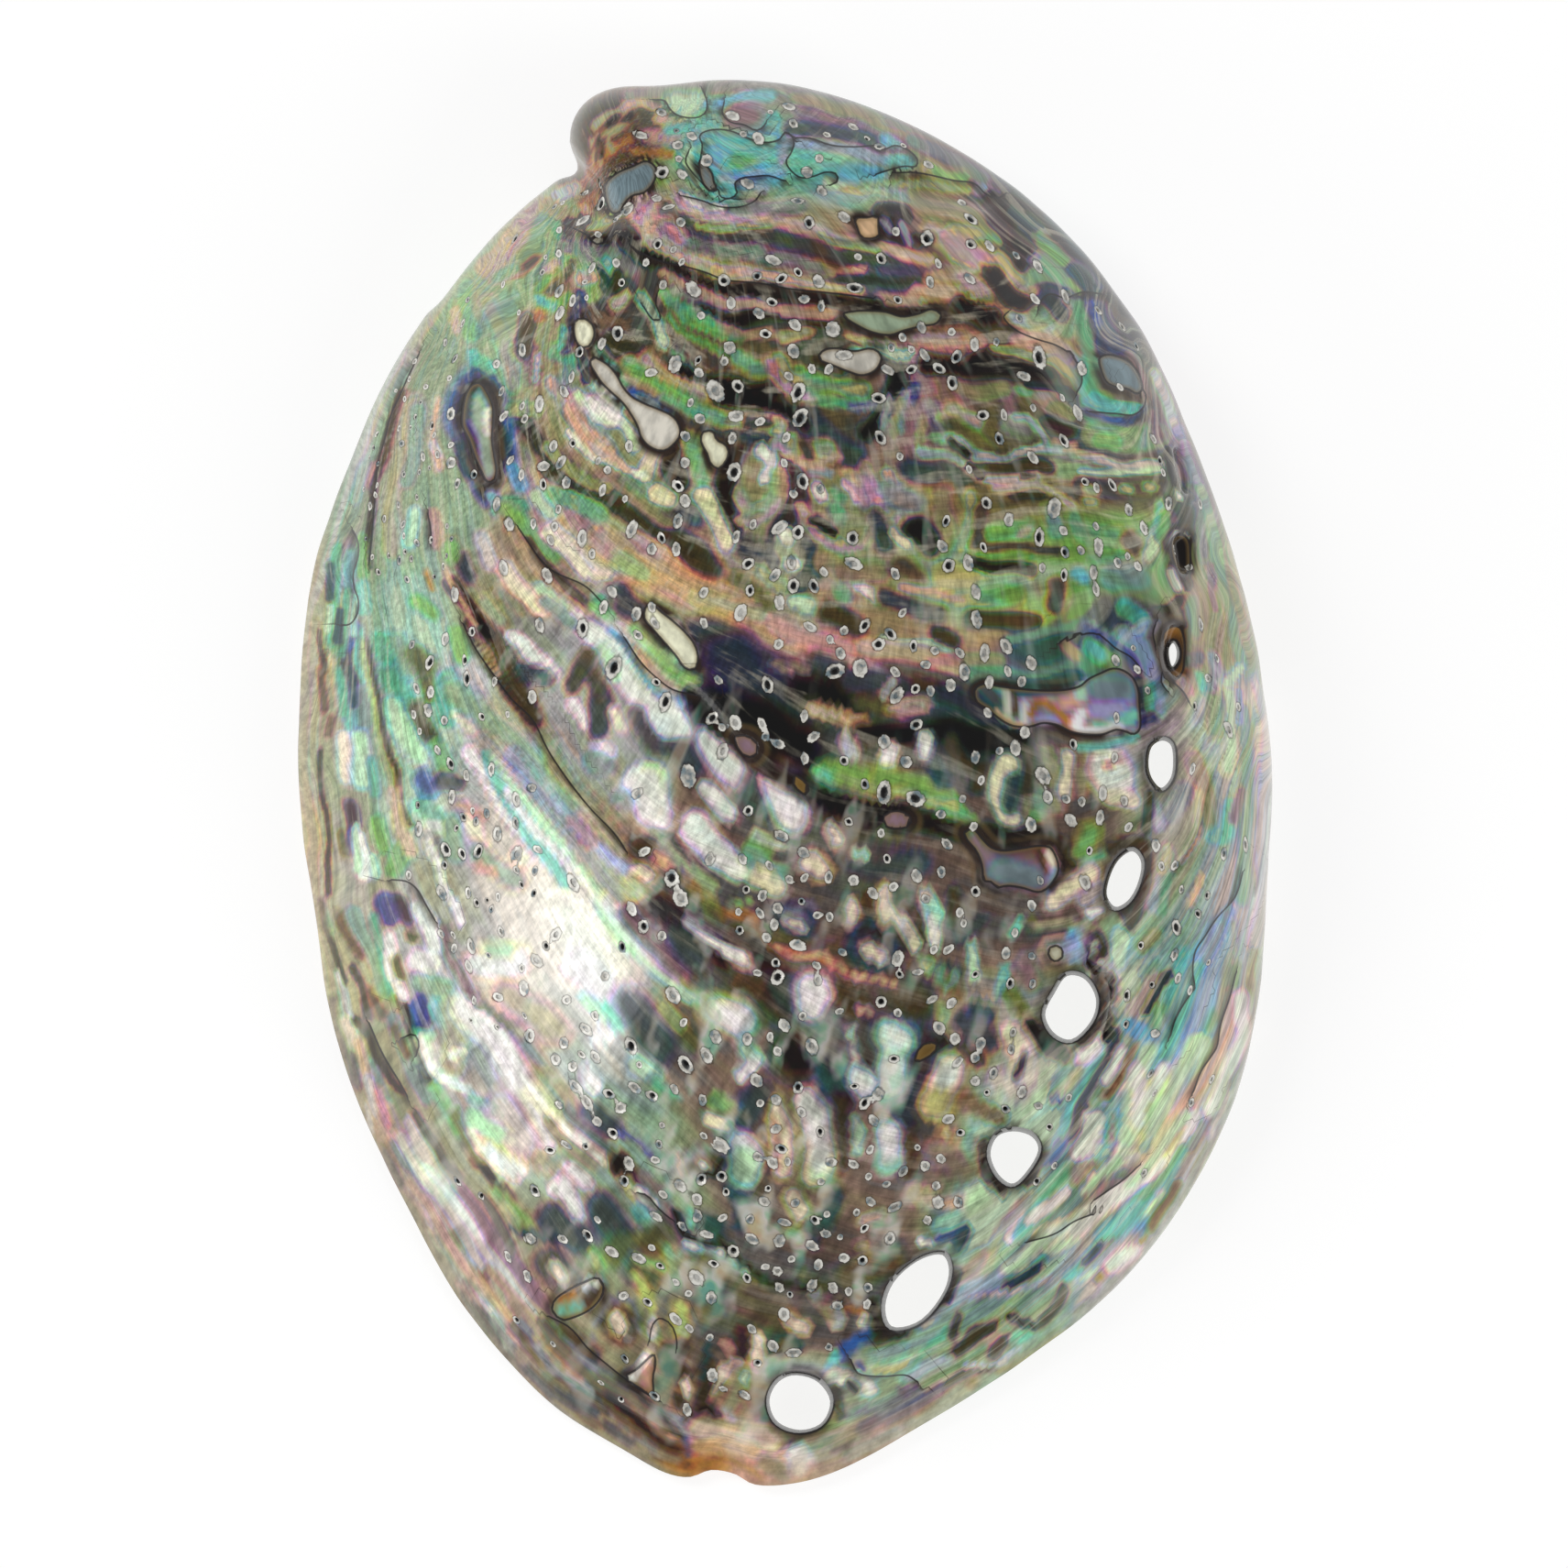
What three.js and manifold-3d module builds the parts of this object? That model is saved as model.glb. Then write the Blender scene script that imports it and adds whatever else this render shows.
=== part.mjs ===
import * as THREE from "three";
import { mergeVertices } from "three/addons/utils/BufferGeometryUtils.js";
import Module from "manifold-3d";

// A polished abalone shell that lies on its mouth, the outside up.
// Millimetres, +Z up. +Y points to the spire, +X to the row of holes.

// Driving dimensions
const LENGTH = 150;
const HEIGHT = 42;
const ROOF_WALL = 2.6;
const LIP_WALL = 2;
const SPIRE = { pixel: [672, 146], radius: 5, height: 2.2 };
const PIT = { radius: 0.7, depth: 0.8 };

// Places on the shell are columns and rows of a picture that looks straight down on it.
const SPIRE_ROW = 88;
const LIP_ROW = 1621;
const MM_PER_PIXEL = LENGTH / (LIP_ROW - SPIRE_ROW);
const MIDDLE_PIXEL = [856, 854.5];
const CROWN_PIXEL = [880, 700];

// The widest outline, from the right-hand side over the spire and round the lip.
const OUTLINE = [
  [1387, 850], [1379, 760], [1361, 665], [1333, 570], [1297, 478], [1250, 372], [1180, 273],
  [1091, 194], [987, 134], [870, 95], [780, 88], [712, 99], [668, 112], [644, 129], [635, 150],
  [634, 168], [626, 187], [604, 200], [565, 231], [520, 277], [470, 342], [419, 421], [377, 516],
  [345, 609], [330, 705], [325, 800], [329, 895], [343, 992], [358, 1096], [390, 1203], [442, 1310],
  [508, 1426], [604, 1532], [680, 1580], [728, 1606], [752, 1610], [775, 1602], [800, 1606],
  [822, 1618], [870, 1616], [935, 1593], [1003, 1554], [1118, 1481], [1218, 1402], [1293, 1304],
  [1346, 1200], [1371, 1090], [1380, 986],
];

// The cross-section at some directions from the crown, in degrees from +X towards +Y: the height of
// the widest point, how far the wall tucks in below it, the width of the flat rim that the shell
// lies on, and two powers that say how flat the crown and how round the shoulder is.
const SECTIONS = [
  { angle: 0, belly: 6, tuck: 3.2, rim: 5, crown: 2.1, shoulder: 1.4 },
  { angle: 45, belly: 8, tuck: 4, rim: 4.5, crown: 2.1, shoulder: 1.4 },
  { angle: 90, belly: 10, tuck: 5, rim: 4.5, crown: 2.1, shoulder: 1.4 },
  { angle: 116, belly: 10, tuck: 5, rim: 4, crown: 2.1, shoulder: 1.5 },
  { angle: 142, belly: 5, tuck: 2, rim: 2.6, crown: 2, shoulder: 1.25 },
  { angle: 180, belly: 1.2, tuck: 0.5, rim: 1.6, crown: 2, shoulder: 1.05 },
  { angle: 268, belly: 1.2, tuck: 0.5, rim: 1.6, crown: 2, shoulder: 1.05 },
  { angle: 320, belly: 3.5, tuck: 2, rim: 5.5, crown: 2, shoulder: 1.25 },
];

// Folds that growth left across the shell, and the grooves of the suture and of the row of holes:
// how high they stand (below zero, how deep they lie) and how far they spread to each side.
const FOLDS = [
  {
    height: 0.7,
    spread: 1.3,
    pixels: [[497, 618], [509, 681], [539, 734], [599, 820], [629, 863], [684, 925]],
  },
  {
    height: 0.5,
    spread: 1.2,
    pixels: [[526, 820], [572, 860], [622, 926], [672, 999], [715, 1045], [758, 1082]],
  },
  {
    height: 0.8,
    spread: 1.4,
    pixels: [[526, 1098], [556, 1138], [579, 1178], [615, 1224], [672, 1271]],
  },
  {
    height: 0.5,
    spread: 1.2,
    pixels: [[694, 1300], [726, 1321], [754, 1361], [794, 1371], [822, 1393], [900, 1411]],
  },
  {
    height: 0.9,
    spread: 1.6,
    pixels: [
      [450, 1130], [483, 1221], [508, 1264], [554, 1318], [604, 1436], [654, 1482], [715, 1521],
      [850, 1566],
    ],
  },
  {
    height: 0.5,
    spread: 1.3,
    pixels: [[638, 259], [676, 259], [745, 292], [791, 305], [870, 322], [950, 330]],
  },
  {
    height: -0.4,
    spread: 1.4,
    pixels: [
      [565, 575], [629, 661], [688, 705], [761, 764], [801, 811], [900, 872], [960, 888],
      [1040, 903],
    ],
  },
  {
    height: 0.5,
    spread: 1.4,
    pixels: [[473, 350], [428, 443], [406, 549], [405, 612], [410, 700], [430, 870]],
  },
  {
    height: -0.9,
    spread: 1.5,
    pixels: [
      [632, 187], [648, 207], [672, 230], [745, 213], [790, 224], [830, 212], [950, 203],
      [1070, 215],
    ],
  },
  {
    height: 0.7,
    spread: 3,
    pixels: [
      [1215, 380], [1262, 500], [1283, 605], [1277, 714], [1264, 830], [1222, 957], [1165, 1097],
      [1104, 1257], [998, 1406], [871, 1528],
    ],
  },
  {
    height: -0.6,
    spread: 2.4,
    pixels: [
      [1318, 640], [1316, 740], [1306, 850], [1272, 985], [1222, 1130], [1150, 1300], [1050, 1448],
      [930, 1562],
    ],
  },
];

// The open holes of the row, oldest first.
const HOLES = [
  [
    [1277, 701], [1281, 709], [1280, 720], [1276, 726], [1273, 718], [1273, 706],
  ],
  [
    [1265, 807], [1274, 811], [1277, 830], [1274, 848], [1264, 858], [1254, 848], [1250, 832],
    [1254, 813],
  ],
  [
    [1233, 927], [1242, 938], [1238, 963], [1227, 981], [1214, 987], [1205, 975], [1208, 955],
    [1218, 936],
  ],
  [
    [1162, 1062], [1180, 1065], [1193, 1086], [1189, 1109], [1166, 1131], [1148, 1124],
    [1138, 1104], [1148, 1081],
  ],
  [
    [1087, 1236], [1105, 1231], [1124, 1237], [1131, 1250], [1119, 1274], [1103, 1288],
    [1088, 1278], [1079, 1255],
  ],
  [
    [1027, 1366], [1034, 1380], [1029, 1405], [1001, 1439], [972, 1444], [965, 1424], [974, 1396],
    [1003, 1371],
  ],
  [
    [863, 1498], [890, 1504], [905, 1526], [896, 1550], [872, 1558], [847, 1548], [839, 1526],
    [847, 1507],
  ],
];

// The larger pits, left by worms and opened by the polishing.
const PITS = [
  [592, 298], [590, 442], [625, 413], [493, 505], [613, 506], [601, 590], [675, 366], [633, 386],
  [737, 400], [781, 429], [801, 517], [796, 382], [757, 319], [790, 311], [835, 367], [870, 430],
  [872, 458], [875, 527], [690, 578], [740, 532], [803, 587], [723, 192], [681, 228], [716, 215],
  [931, 318], [908, 362], [983, 371], [935, 283], [1022, 290], [1042, 391], [1132, 391],
  [1070, 455], [1088, 480], [1147, 555], [1131, 587], [1033, 618], [929, 588], [1216, 614],
  [920, 240], [1010, 262], [1058, 268], [1130, 292], [488, 697], [468, 774], [527, 781], [636, 685],
  [670, 728], [726, 765], [695, 670], [818, 645], [784, 742], [837, 747], [831, 789], [877, 827],
  [751, 845], [816, 883], [540, 838], [565, 930], [627, 961], [733, 956], [743, 977], [807, 1012],
  [848, 1063], [867, 914], [735, 1082], [753, 1095], [689, 1138], [579, 1127], [748, 1158],
  [781, 1128], [855, 1115], [1063, 676], [1018, 710], [977, 758], [937, 729], [1035, 747],
  [1077, 744], [998, 790], [963, 808], [963, 863], [1025, 887], [1135, 845], [1177, 873],
  [1222, 872], [1105, 1015], [1123, 1040], [960, 1090], [1036, 1091], [885, 1138], [1315, 975],
  [1333, 930], [669, 1233], [785, 1245], [825, 1175], [712, 1192], [760, 1390], [800, 1360],
  [957, 1190], [966, 1288], [1062, 1176], [1033, 1217], [1025, 1260], [900, 1342], [920, 1368],
  [908, 1400], [845, 1378],
];

// How finely curves are sampled, and how near two points are the same one.
const OUTLINE_SAMPLES = 1600;
const FOLD_SAMPLES = 60;
const SAME_POINT = 1e-4;

const wasm = await Module();
wasm.setup();

// A geometry that encloses a volume, as a solid that can be cut.
function solidOf(geometry) {
  const bare = geometry.clone();
  bare.deleteAttribute("normal");
  bare.deleteAttribute("uv");
  const merged = mergeVertices(bare, SAME_POINT);
  const vertProperties = merged.attributes.position.array;
  const triVerts = new Uint32Array(merged.index.array);
  return new wasm.Manifold(new wasm.Mesh({ numProp: 3, vertProperties, triVerts }));
}

function geometryOf(solid) {
  const mesh = solid.getMesh();
  const geometry = new THREE.BufferGeometry();
  geometry.setAttribute("position", new THREE.BufferAttribute(mesh.vertProperties, 3));
  geometry.setIndex(new THREE.BufferAttribute(mesh.triVerts, 1));
  geometry.computeVertexNormals();
  return geometry;
}

function placeOf([column, row]) {
  const x = (column - MIDDLE_PIXEL[0]) * MM_PER_PIXEL;
  const y = (MIDDLE_PIXEL[1] - row) * MM_PER_PIXEL;
  return new THREE.Vector3(x, y, 0);
}

const crown = placeOf(CROWN_PIXEL);

// How far the outline lies from the crown in each direction, looked up from points along it.
const outlineCurve = new THREE.CatmullRomCurve3(OUTLINE.map(placeOf), true, "centripetal");
const outlineReach = outlineCurve.getPoints(OUTLINE_SAMPLES).map((point) => {
  const arm = point.clone().sub(crown);
  return { angle: Math.atan2(arm.y, arm.x), reach: arm.length() };
});
outlineReach.sort((a, b) => a.angle - b.angle);

function outlineReachAt(angle) {
  const wrapped = Math.atan2(Math.sin(angle), Math.cos(angle));
  const next = outlineReach.findIndex((entry) => entry.angle >= wrapped);
  const after = outlineReach[Math.max(next, 0)];
  const before = outlineReach.at(Math.max(next, 0) - 1);
  const gap = after.angle - before.angle;
  const part = gap > 0 ? (wrapped - before.angle) / gap : 0;
  return THREE.MathUtils.lerp(before.reach, after.reach, part);
}

// Towards the crown the dome follows the outline less and less, so that the notch beside the spire
// leaves no furrow: there it follows the outline evened out over some directions to each side.
const EVEN_DEGREES = [-24, -16, -8, 0, 8, 16, 24];
const OUTLINE_HOLD = 5;

function reachAt(angle, share) {
  const turns = EVEN_DEGREES.map((degrees) => THREE.MathUtils.degToRad(degrees));
  const evened = turns.map((turn) => outlineReachAt(angle + turn));
  const even = evened.reduce((sum, reach) => sum + reach) / evened.length;
  return THREE.MathUtils.lerp(even, outlineReachAt(angle), share ** OUTLINE_HOLD);
}

// The cross-section in any direction, blended from the two listed on either side of it.
function sectionAt(angle) {
  const degrees = THREE.MathUtils.euclideanModulo(THREE.MathUtils.radToDeg(angle), 360);
  const last = SECTIONS.length - 1;
  const index = SECTIONS.findLastIndex((section) => section.angle <= degrees);
  const before = SECTIONS[index];
  const after = SECTIONS[index === last ? 0 : index + 1];
  const span = (index === last ? 360 : after.angle) - before.angle;
  const part = THREE.MathUtils.smoothstep((degrees - before.angle) / span, 0, 1);
  const blend = (name) => THREE.MathUtils.lerp(before[name], after[name], part);
  return Object.fromEntries(Object.keys(before).map((name) => [name, blend(name)]));
}

function pointAt(angle, reach, height) {
  return new THREE.Vector3(crown.x + reach * Math.cos(angle), crown.y + reach * Math.sin(angle), height);
}

// The outside without its folds: share runs from 0 at the crown to 1 at the widest point.
function smoothOutside(angle, share) {
  const section = sectionAt(angle);
  const drop = (1 - share ** section.crown) ** (1 / section.shoulder);
  return pointAt(angle, reachAt(angle, share) * share, section.belly + (HEIGHT - section.belly) * drop);
}

const NUDGE = 0.002;

function normalAt(angle, share) {
  if (share < NUDGE) return new THREE.Vector3(0, 0, 1);
  const low = Math.max(share - NUDGE, 0);
  const high = Math.min(share + NUDGE, 1);
  const outward = smoothOutside(angle, high).sub(smoothOutside(angle, low));
  const around = smoothOutside(angle + NUDGE, share).sub(smoothOutside(angle - NUDGE, share));
  return outward.cross(around).normalize();
}

const foldLines = FOLDS.map((fold) => ({
  ...fold,
  points: new THREE.CatmullRomCurve3(fold.pixels.map(placeOf)).getPoints(FOLD_SAMPLES),
}));
const spirePlace = placeOf(SPIRE.pixel);

// How far the folds, the grooves and the spire lift the outside at a place seen from above.
function reliefAt(point) {
  const flat = new THREE.Vector3(point.x, point.y, 0);
  const bump = (distance, spread) => Math.exp(-((distance / spread) ** 2));
  const spire = SPIRE.height * bump(flat.distanceTo(spirePlace), SPIRE.radius);
  return foldLines.reduce((sum, fold) => {
    const nearest = Math.min(...fold.points.map((place) => flat.distanceTo(place)));
    return sum + fold.height * bump(nearest, fold.spread);
  }, spire);
}

function outsidePoint(angle, share) {
  const point = smoothOutside(angle, share);
  return point.addScaledVector(normalAt(angle, share), reliefAt(point));
}

function insidePoint(angle, share) {
  const wall = THREE.MathUtils.lerp(ROOF_WALL, LIP_WALL, share);
  return smoothOutside(angle, share).addScaledVector(normalAt(angle, share), -wall);
}

// Below the widest point the wall curves in and down to the flat rim.
function tuckPoint(angle, turn) {
  const section = sectionAt(angle);
  const inward = section.tuck * (1 - Math.cos(turn));
  return pointAt(angle, reachAt(angle, 1) - inward, section.belly * (1 - Math.sin(turn)));
}

function rimPoint(angle) {
  const section = sectionAt(angle);
  return pointAt(angle, reachAt(angle, 1) - section.tuck - section.rim, 0);
}

// The inside of the rim: part 0 at the rim's edge, 1 where it meets the wall, hollow in between.
function shelfPoint(angle, part) {
  const edge = rimPoint(angle);
  const wall = insidePoint(angle, 1);
  const hollow = new THREE.Vector3(wall.x, wall.y, edge.z);
  const curve = new THREE.QuadraticBezierCurve3(edge, hollow.lerp(edge, 0.5), wall);
  return curve.getPoint(part);
}

// The closed surface is a stack of rings, from the crown over the outside to the rim and back up
// the inside. A ring near the crown has fewer points, so that the triangles stay about as large.
const OUTSIDE_RINGS = 22;
const INSIDE_RINGS = 11;
const POINTS_PER_RING_STEP = 6;
const RIM_COUNT = OUTSIDE_RINGS * POINTS_PER_RING_STEP;
const INSIDE_COUNT = INSIDE_RINGS * POINTS_PER_RING_STEP;
const CROWDING = 1.25;
const SHELF_RING_PART = 0.4;

function ringShare(step, steps) {
  return 1 - (1 - step / steps) ** CROWDING;
}

function makeRings() {
  const rings = [];
  const addRing = (count, place) => {
    const angles = Array.from({ length: count }, (_, index) => (2 * Math.PI * index) / count);
    rings.push(angles.map(place));
  };
  for (let step = 0; step <= OUTSIDE_RINGS; step++) {
    const share = ringShare(step, OUTSIDE_RINGS);
    addRing(Math.max(step * POINTS_PER_RING_STEP, 1), (angle) => outsidePoint(angle, share));
  }
  addRing(RIM_COUNT, (angle) => tuckPoint(angle, Math.PI / 4));
  addRing(RIM_COUNT, (angle) => tuckPoint(angle, Math.PI / 2));
  addRing(RIM_COUNT, rimPoint);
  addRing(INSIDE_COUNT, (angle) => shelfPoint(angle, SHELF_RING_PART));
  for (let step = INSIDE_RINGS; step >= 0; step--) {
    const share = ringShare(step, INSIDE_RINGS);
    addRing(Math.max(step * POINTS_PER_RING_STEP, 1), (angle) => insidePoint(angle, share));
  }
  return rings;
}

// Triangles between two rings of any two counts, going round both at the same pace.
function joinRings(from, to, faces) {
  const fromSteps = from.count > 1 ? from.count : 0;
  const toSteps = to.count > 1 ? to.count : 0;
  let i = 0;
  let j = 0;
  while (i < fromSteps || j < toSteps) {
    const a = from.start + (i % from.count);
    const b = to.start + (j % to.count);
    const stepFrom = j >= toSteps || (i < fromSteps && (i + 1) / fromSteps <= (j + 1) / toSteps);
    if (stepFrom) {
      i++;
      faces.push(a, b, from.start + (i % from.count));
    } else {
      j++;
      faces.push(a, b, to.start + (j % to.count));
    }
  }
}

function makeBody() {
  const rings = makeRings();
  const faces = [];
  let start = 0;
  let previous = null;
  for (const ring of rings) {
    const current = { start, count: ring.length };
    if (previous) joinRings(previous, current, faces);
    previous = current;
    start += ring.length;
  }
  return new THREE.BufferGeometry().setFromPoints(rings.flat()).setIndex(faces);
}

// Where a place seen from above lies on the outside. The reach depends a little on the share, so
// the share is worked out again a few times.
const SHARE_ROUNDS = 4;

function surfaceAt(pixel) {
  const arm = placeOf(pixel).sub(crown);
  const angle = Math.atan2(arm.y, arm.x);
  let share = 1;
  for (let round = 0; round < SHARE_ROUNDS; round++) share = arm.length() / reachAt(angle, share);
  return { point: outsidePoint(angle, share), normal: normalAt(angle, share) };
}

const HOLE_SIDES = 16;
const HOLE_CLEARANCE = 6;

// A hole goes straight down through the wall, and no further than just below it.
function makeHole(pixels) {
  const places = pixels.map(placeOf);
  const edge = new THREE.CatmullRomCurve3(places, true).getSpacedPoints(HOLE_SIDES).slice(0, -1);
  const shape = new THREE.Shape(edge.map((point) => new THREE.Vector2(point.x, point.y)));
  const heights = pixels.map((pixel) => surfaceAt(pixel).point.z);
  const bottom = Math.min(...heights) - 2 * HOLE_CLEARANCE;
  const depth = Math.max(...heights) + HOLE_CLEARANCE - bottom;
  return new THREE.ExtrudeGeometry(shape, { depth, bevelEnabled: false }).translate(0, 0, bottom);
}

const PIT_SIDES = 6;

function makePit(pixel) {
  const { point, normal } = surfaceAt(pixel);
  const upright = new THREE.Vector3(0, 1, 0);
  const turn = new THREE.Quaternion().setFromUnitVectors(upright, normal);
  return new THREE.CylinderGeometry(PIT.radius, PIT.radius / 2, 2 * PIT.depth, PIT_SIDES)
    .applyQuaternion(turn)
    .translate(point.x, point.y, point.z);
}

function makeShell() {
  const cutters = [...HOLES.map(makeHole), ...PITS.map(makePit)].map(solidOf);
  const cut = solidOf(makeBody()).subtract(wasm.Manifold.union(cutters));
  const geometry = geometryOf(cut);
  geometry.computeBoundingBox();
  const middle = geometry.boundingBox.getCenter(new THREE.Vector3());
  return geometry.translate(-middle.x, -middle.y, -geometry.boundingBox.min.z);
}

const nacre = new THREE.MeshStandardMaterial({ color: 0x8f9a7c, roughness: 0.22, metalness: 0.15 });

const shell = new THREE.Mesh(makeShell(), nacre);
shell.name = "shell";

const group = new THREE.Group();
group.add(shell);

export default group;
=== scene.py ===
"""A polished abalone shell: its curved wall, folds, holes and pits as one mesh, and its nacre."""

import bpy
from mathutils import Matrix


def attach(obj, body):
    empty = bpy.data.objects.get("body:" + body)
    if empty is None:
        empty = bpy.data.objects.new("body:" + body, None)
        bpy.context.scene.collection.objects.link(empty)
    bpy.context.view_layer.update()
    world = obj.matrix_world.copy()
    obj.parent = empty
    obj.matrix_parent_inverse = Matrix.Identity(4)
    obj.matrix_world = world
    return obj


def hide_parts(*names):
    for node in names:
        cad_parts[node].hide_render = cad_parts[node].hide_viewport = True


bl_info = {
    "name": "Abalone Shell",
    "version": (1, 0, 0),
    "blender": (4, 5, 0),
    "location": "View3D > Sidebar > Abalone",
    "description": "Builds a polished abalone shell with its folds, holes, pits and iridescent nacre",
    "category": "Add Mesh",
}

import math

import bpy
import numpy as np
from bpy.props import FloatProperty, FloatVectorProperty, IntProperty, PointerProperty
from mathutils import Vector, kdtree

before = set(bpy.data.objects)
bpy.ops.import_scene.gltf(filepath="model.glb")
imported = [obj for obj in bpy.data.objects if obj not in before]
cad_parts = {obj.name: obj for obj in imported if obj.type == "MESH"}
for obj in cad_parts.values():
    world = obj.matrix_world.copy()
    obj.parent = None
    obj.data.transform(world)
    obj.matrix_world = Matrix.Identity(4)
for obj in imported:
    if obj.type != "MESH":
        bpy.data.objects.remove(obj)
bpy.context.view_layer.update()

# Shapes are worked out in millimetres and turned to metres when a mesh is finished.
METRES = 0.001

# Places on the shell are columns and rows of a picture that looks straight down on it.
SPIRE_ROW = 88
LIP_ROW = 1621
LENGTH = 150
MM_PER_PIXEL = LENGTH / (LIP_ROW - SPIRE_ROW)
MIDDLE_PIXEL = (856, 854.5)
CROWN_PIXEL = (880, 700)
PHOTO_SIDE = 1711
HEIGHT = 42

# The widest outline, from the right-hand side over the spire and round the lip.
OUTLINE = (
    (1387, 850), (1379, 760), (1361, 665), (1333, 570), (1297, 478), (1250, 372), (1180, 273), (1091, 194),
    (987, 134), (870, 95), (780, 88), (712, 99), (668, 112), (644, 129), (635, 150), (634, 168), (626, 187),
    (604, 200), (565, 231), (520, 277), (470, 342), (419, 421), (377, 516), (345, 609), (330, 705),
    (325, 800), (329, 895), (343, 992), (358, 1096), (390, 1203), (442, 1310), (508, 1426), (604, 1532),
    (680, 1580), (728, 1606), (752, 1610), (775, 1602), (800, 1606), (822, 1618), (870, 1616), (935, 1593),
    (1003, 1554), (1118, 1481), (1218, 1402), (1293, 1304), (1346, 1200), (1371, 1090), (1380, 986),
)

# The cross-section at some directions from the crown, in degrees: the height of the widest point,
# the tuck below it, the width of the flat rim, and the powers of the crown and of the shoulder.
SECTIONS = (
    (0, 6, 3.2, 5, 2.1, 1.4),
    (45, 8, 4, 4.5, 2.1, 1.4),
    (90, 10, 5, 4.5, 2.1, 1.4),
    (116, 10, 5, 4, 2.1, 1.5),
    (142, 5, 2, 2.6, 2, 1.25),
    (180, 1.2, 0.5, 1.6, 2, 1.05),
    (268, 1.2, 0.5, 1.6, 2, 1.05),
    (320, 3.5, 2, 5.5, 2, 1.25),
)
BELLY, TUCK, RIM, CROWN_POWER, SHOULDER_POWER = range(1, 6)

SPIRE_PIXEL = (672, 146)
SPIRE_RADIUS = 5
SPIRE_HEIGHT = 2.2

# Folds that growth left across the shell, and the grooves of the suture and of the row of holes:
# the height (below zero, a depth), the spread to each side, and the places along it.
FOLDS = (
    (0.7, 1.3, (497, 618), (509, 681), (539, 734), (599, 820), (629, 863), (684, 925)),
    (0.5, 1.2, (526, 820), (572, 860), (622, 926), (672, 999), (715, 1045), (758, 1082)),
    (0.8, 1.4, (526, 1098), (556, 1138), (579, 1178), (615, 1224), (672, 1271)),
    (0.5, 1.2, (694, 1300), (726, 1321), (754, 1361), (794, 1371), (822, 1393), (900, 1411)),
    (0.9, 1.6, (450, 1130), (483, 1221), (508, 1264), (554, 1318), (604, 1436), (654, 1482), (715, 1521),
     (850, 1566)),
    (0.5, 1.3, (638, 259), (676, 259), (745, 292), (791, 305), (870, 322), (950, 330)),
    (-0.4, 1.4, (565, 575), (629, 661), (688, 705), (761, 764), (801, 811), (900, 872), (960, 888),
     (1040, 903)),
    (0.5, 1.4, (473, 350), (428, 443), (406, 549), (405, 612), (410, 700), (430, 870)),
    (-0.9, 1.5, (632, 187), (648, 207), (672, 230), (745, 213), (790, 224), (830, 212), (950, 203),
     (1070, 215)),
    (0.7, 3, (1215, 380), (1262, 500), (1283, 605), (1277, 714), (1264, 830), (1222, 957), (1165, 1097),
     (1104, 1257), (998, 1406), (871, 1528)),
    (-0.6, 2.4, (1318, 640), (1316, 740), (1306, 850), (1272, 985), (1222, 1130), (1150, 1300),
     (1050, 1448), (930, 1562)),
)

# Closed holes, worm tracks and other dents that are too small for the solid, in the same way.
DENTS = (
    (-1.3, 0.75, (1284, 592), (1286, 604), (1289, 617)),
    (-0.9, 0.6, (1281, 495), (1284, 512), (1290, 532)),
    (-1.0, 0.8, (1279, 688), (1277, 712), (1282, 730)),
    (-0.8, 0.4, (1188, 1033), (1185, 1048), (1194, 1062), (1208, 1064), (1215, 1080), (1213, 1105),
     (1207, 1134)),
    (-0.6, 0.45, (1275, 1080), (1271, 1098), (1272, 1114)),
    (-0.5, 0.6, (1150, 1038), (1153, 1038)),
    (-0.5, 0.8, (603, 1380), (606, 1386)),
    (-0.5, 0.9, (672, 1443), (678, 1452)),
    (-0.5, 0.8, (745, 1490), (742, 1515)),
    (0.35, 0.7, (630, 1408), (648, 1398)),
    (0.4, 0.7, (700, 1500), (712, 1478)),
    (0.35, 0.8, (720, 1455), (722, 1475)),
    (0.4, 0.9, (800, 1490), (796, 1515), (800, 1540)),
    (-0.35, 0.5, (985, 400), (975, 425), (968, 460)),
    (-0.35, 0.4, (1000, 410), (992, 440), (985, 470)),
)

# The open holes of the row, oldest first.
HOLES = (
    ((1277, 701), (1281, 709), (1280, 720), (1276, 726), (1273, 718), (1273, 706)),
    ((1265, 807), (1274, 811), (1277, 830), (1274, 848), (1264, 858), (1254, 848), (1250, 832),
     (1254, 813)),
    ((1233, 927), (1242, 938), (1238, 963), (1227, 981), (1214, 987), (1205, 975), (1208, 955),
     (1218, 936)),
    ((1162, 1062), (1180, 1065), (1193, 1086), (1189, 1109), (1166, 1131), (1148, 1124), (1138, 1104),
     (1148, 1081)),
    ((1087, 1236), (1105, 1231), (1124, 1237), (1131, 1250), (1119, 1274), (1103, 1288), (1088, 1278),
     (1079, 1255)),
    ((1027, 1366), (1034, 1380), (1029, 1405), (1001, 1439), (972, 1444), (965, 1424), (974, 1396),
     (1003, 1371)),
    ((863, 1498), (890, 1504), (905, 1526), (896, 1550), (872, 1558), (847, 1548), (839, 1526),
     (847, 1507)),
)

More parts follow.
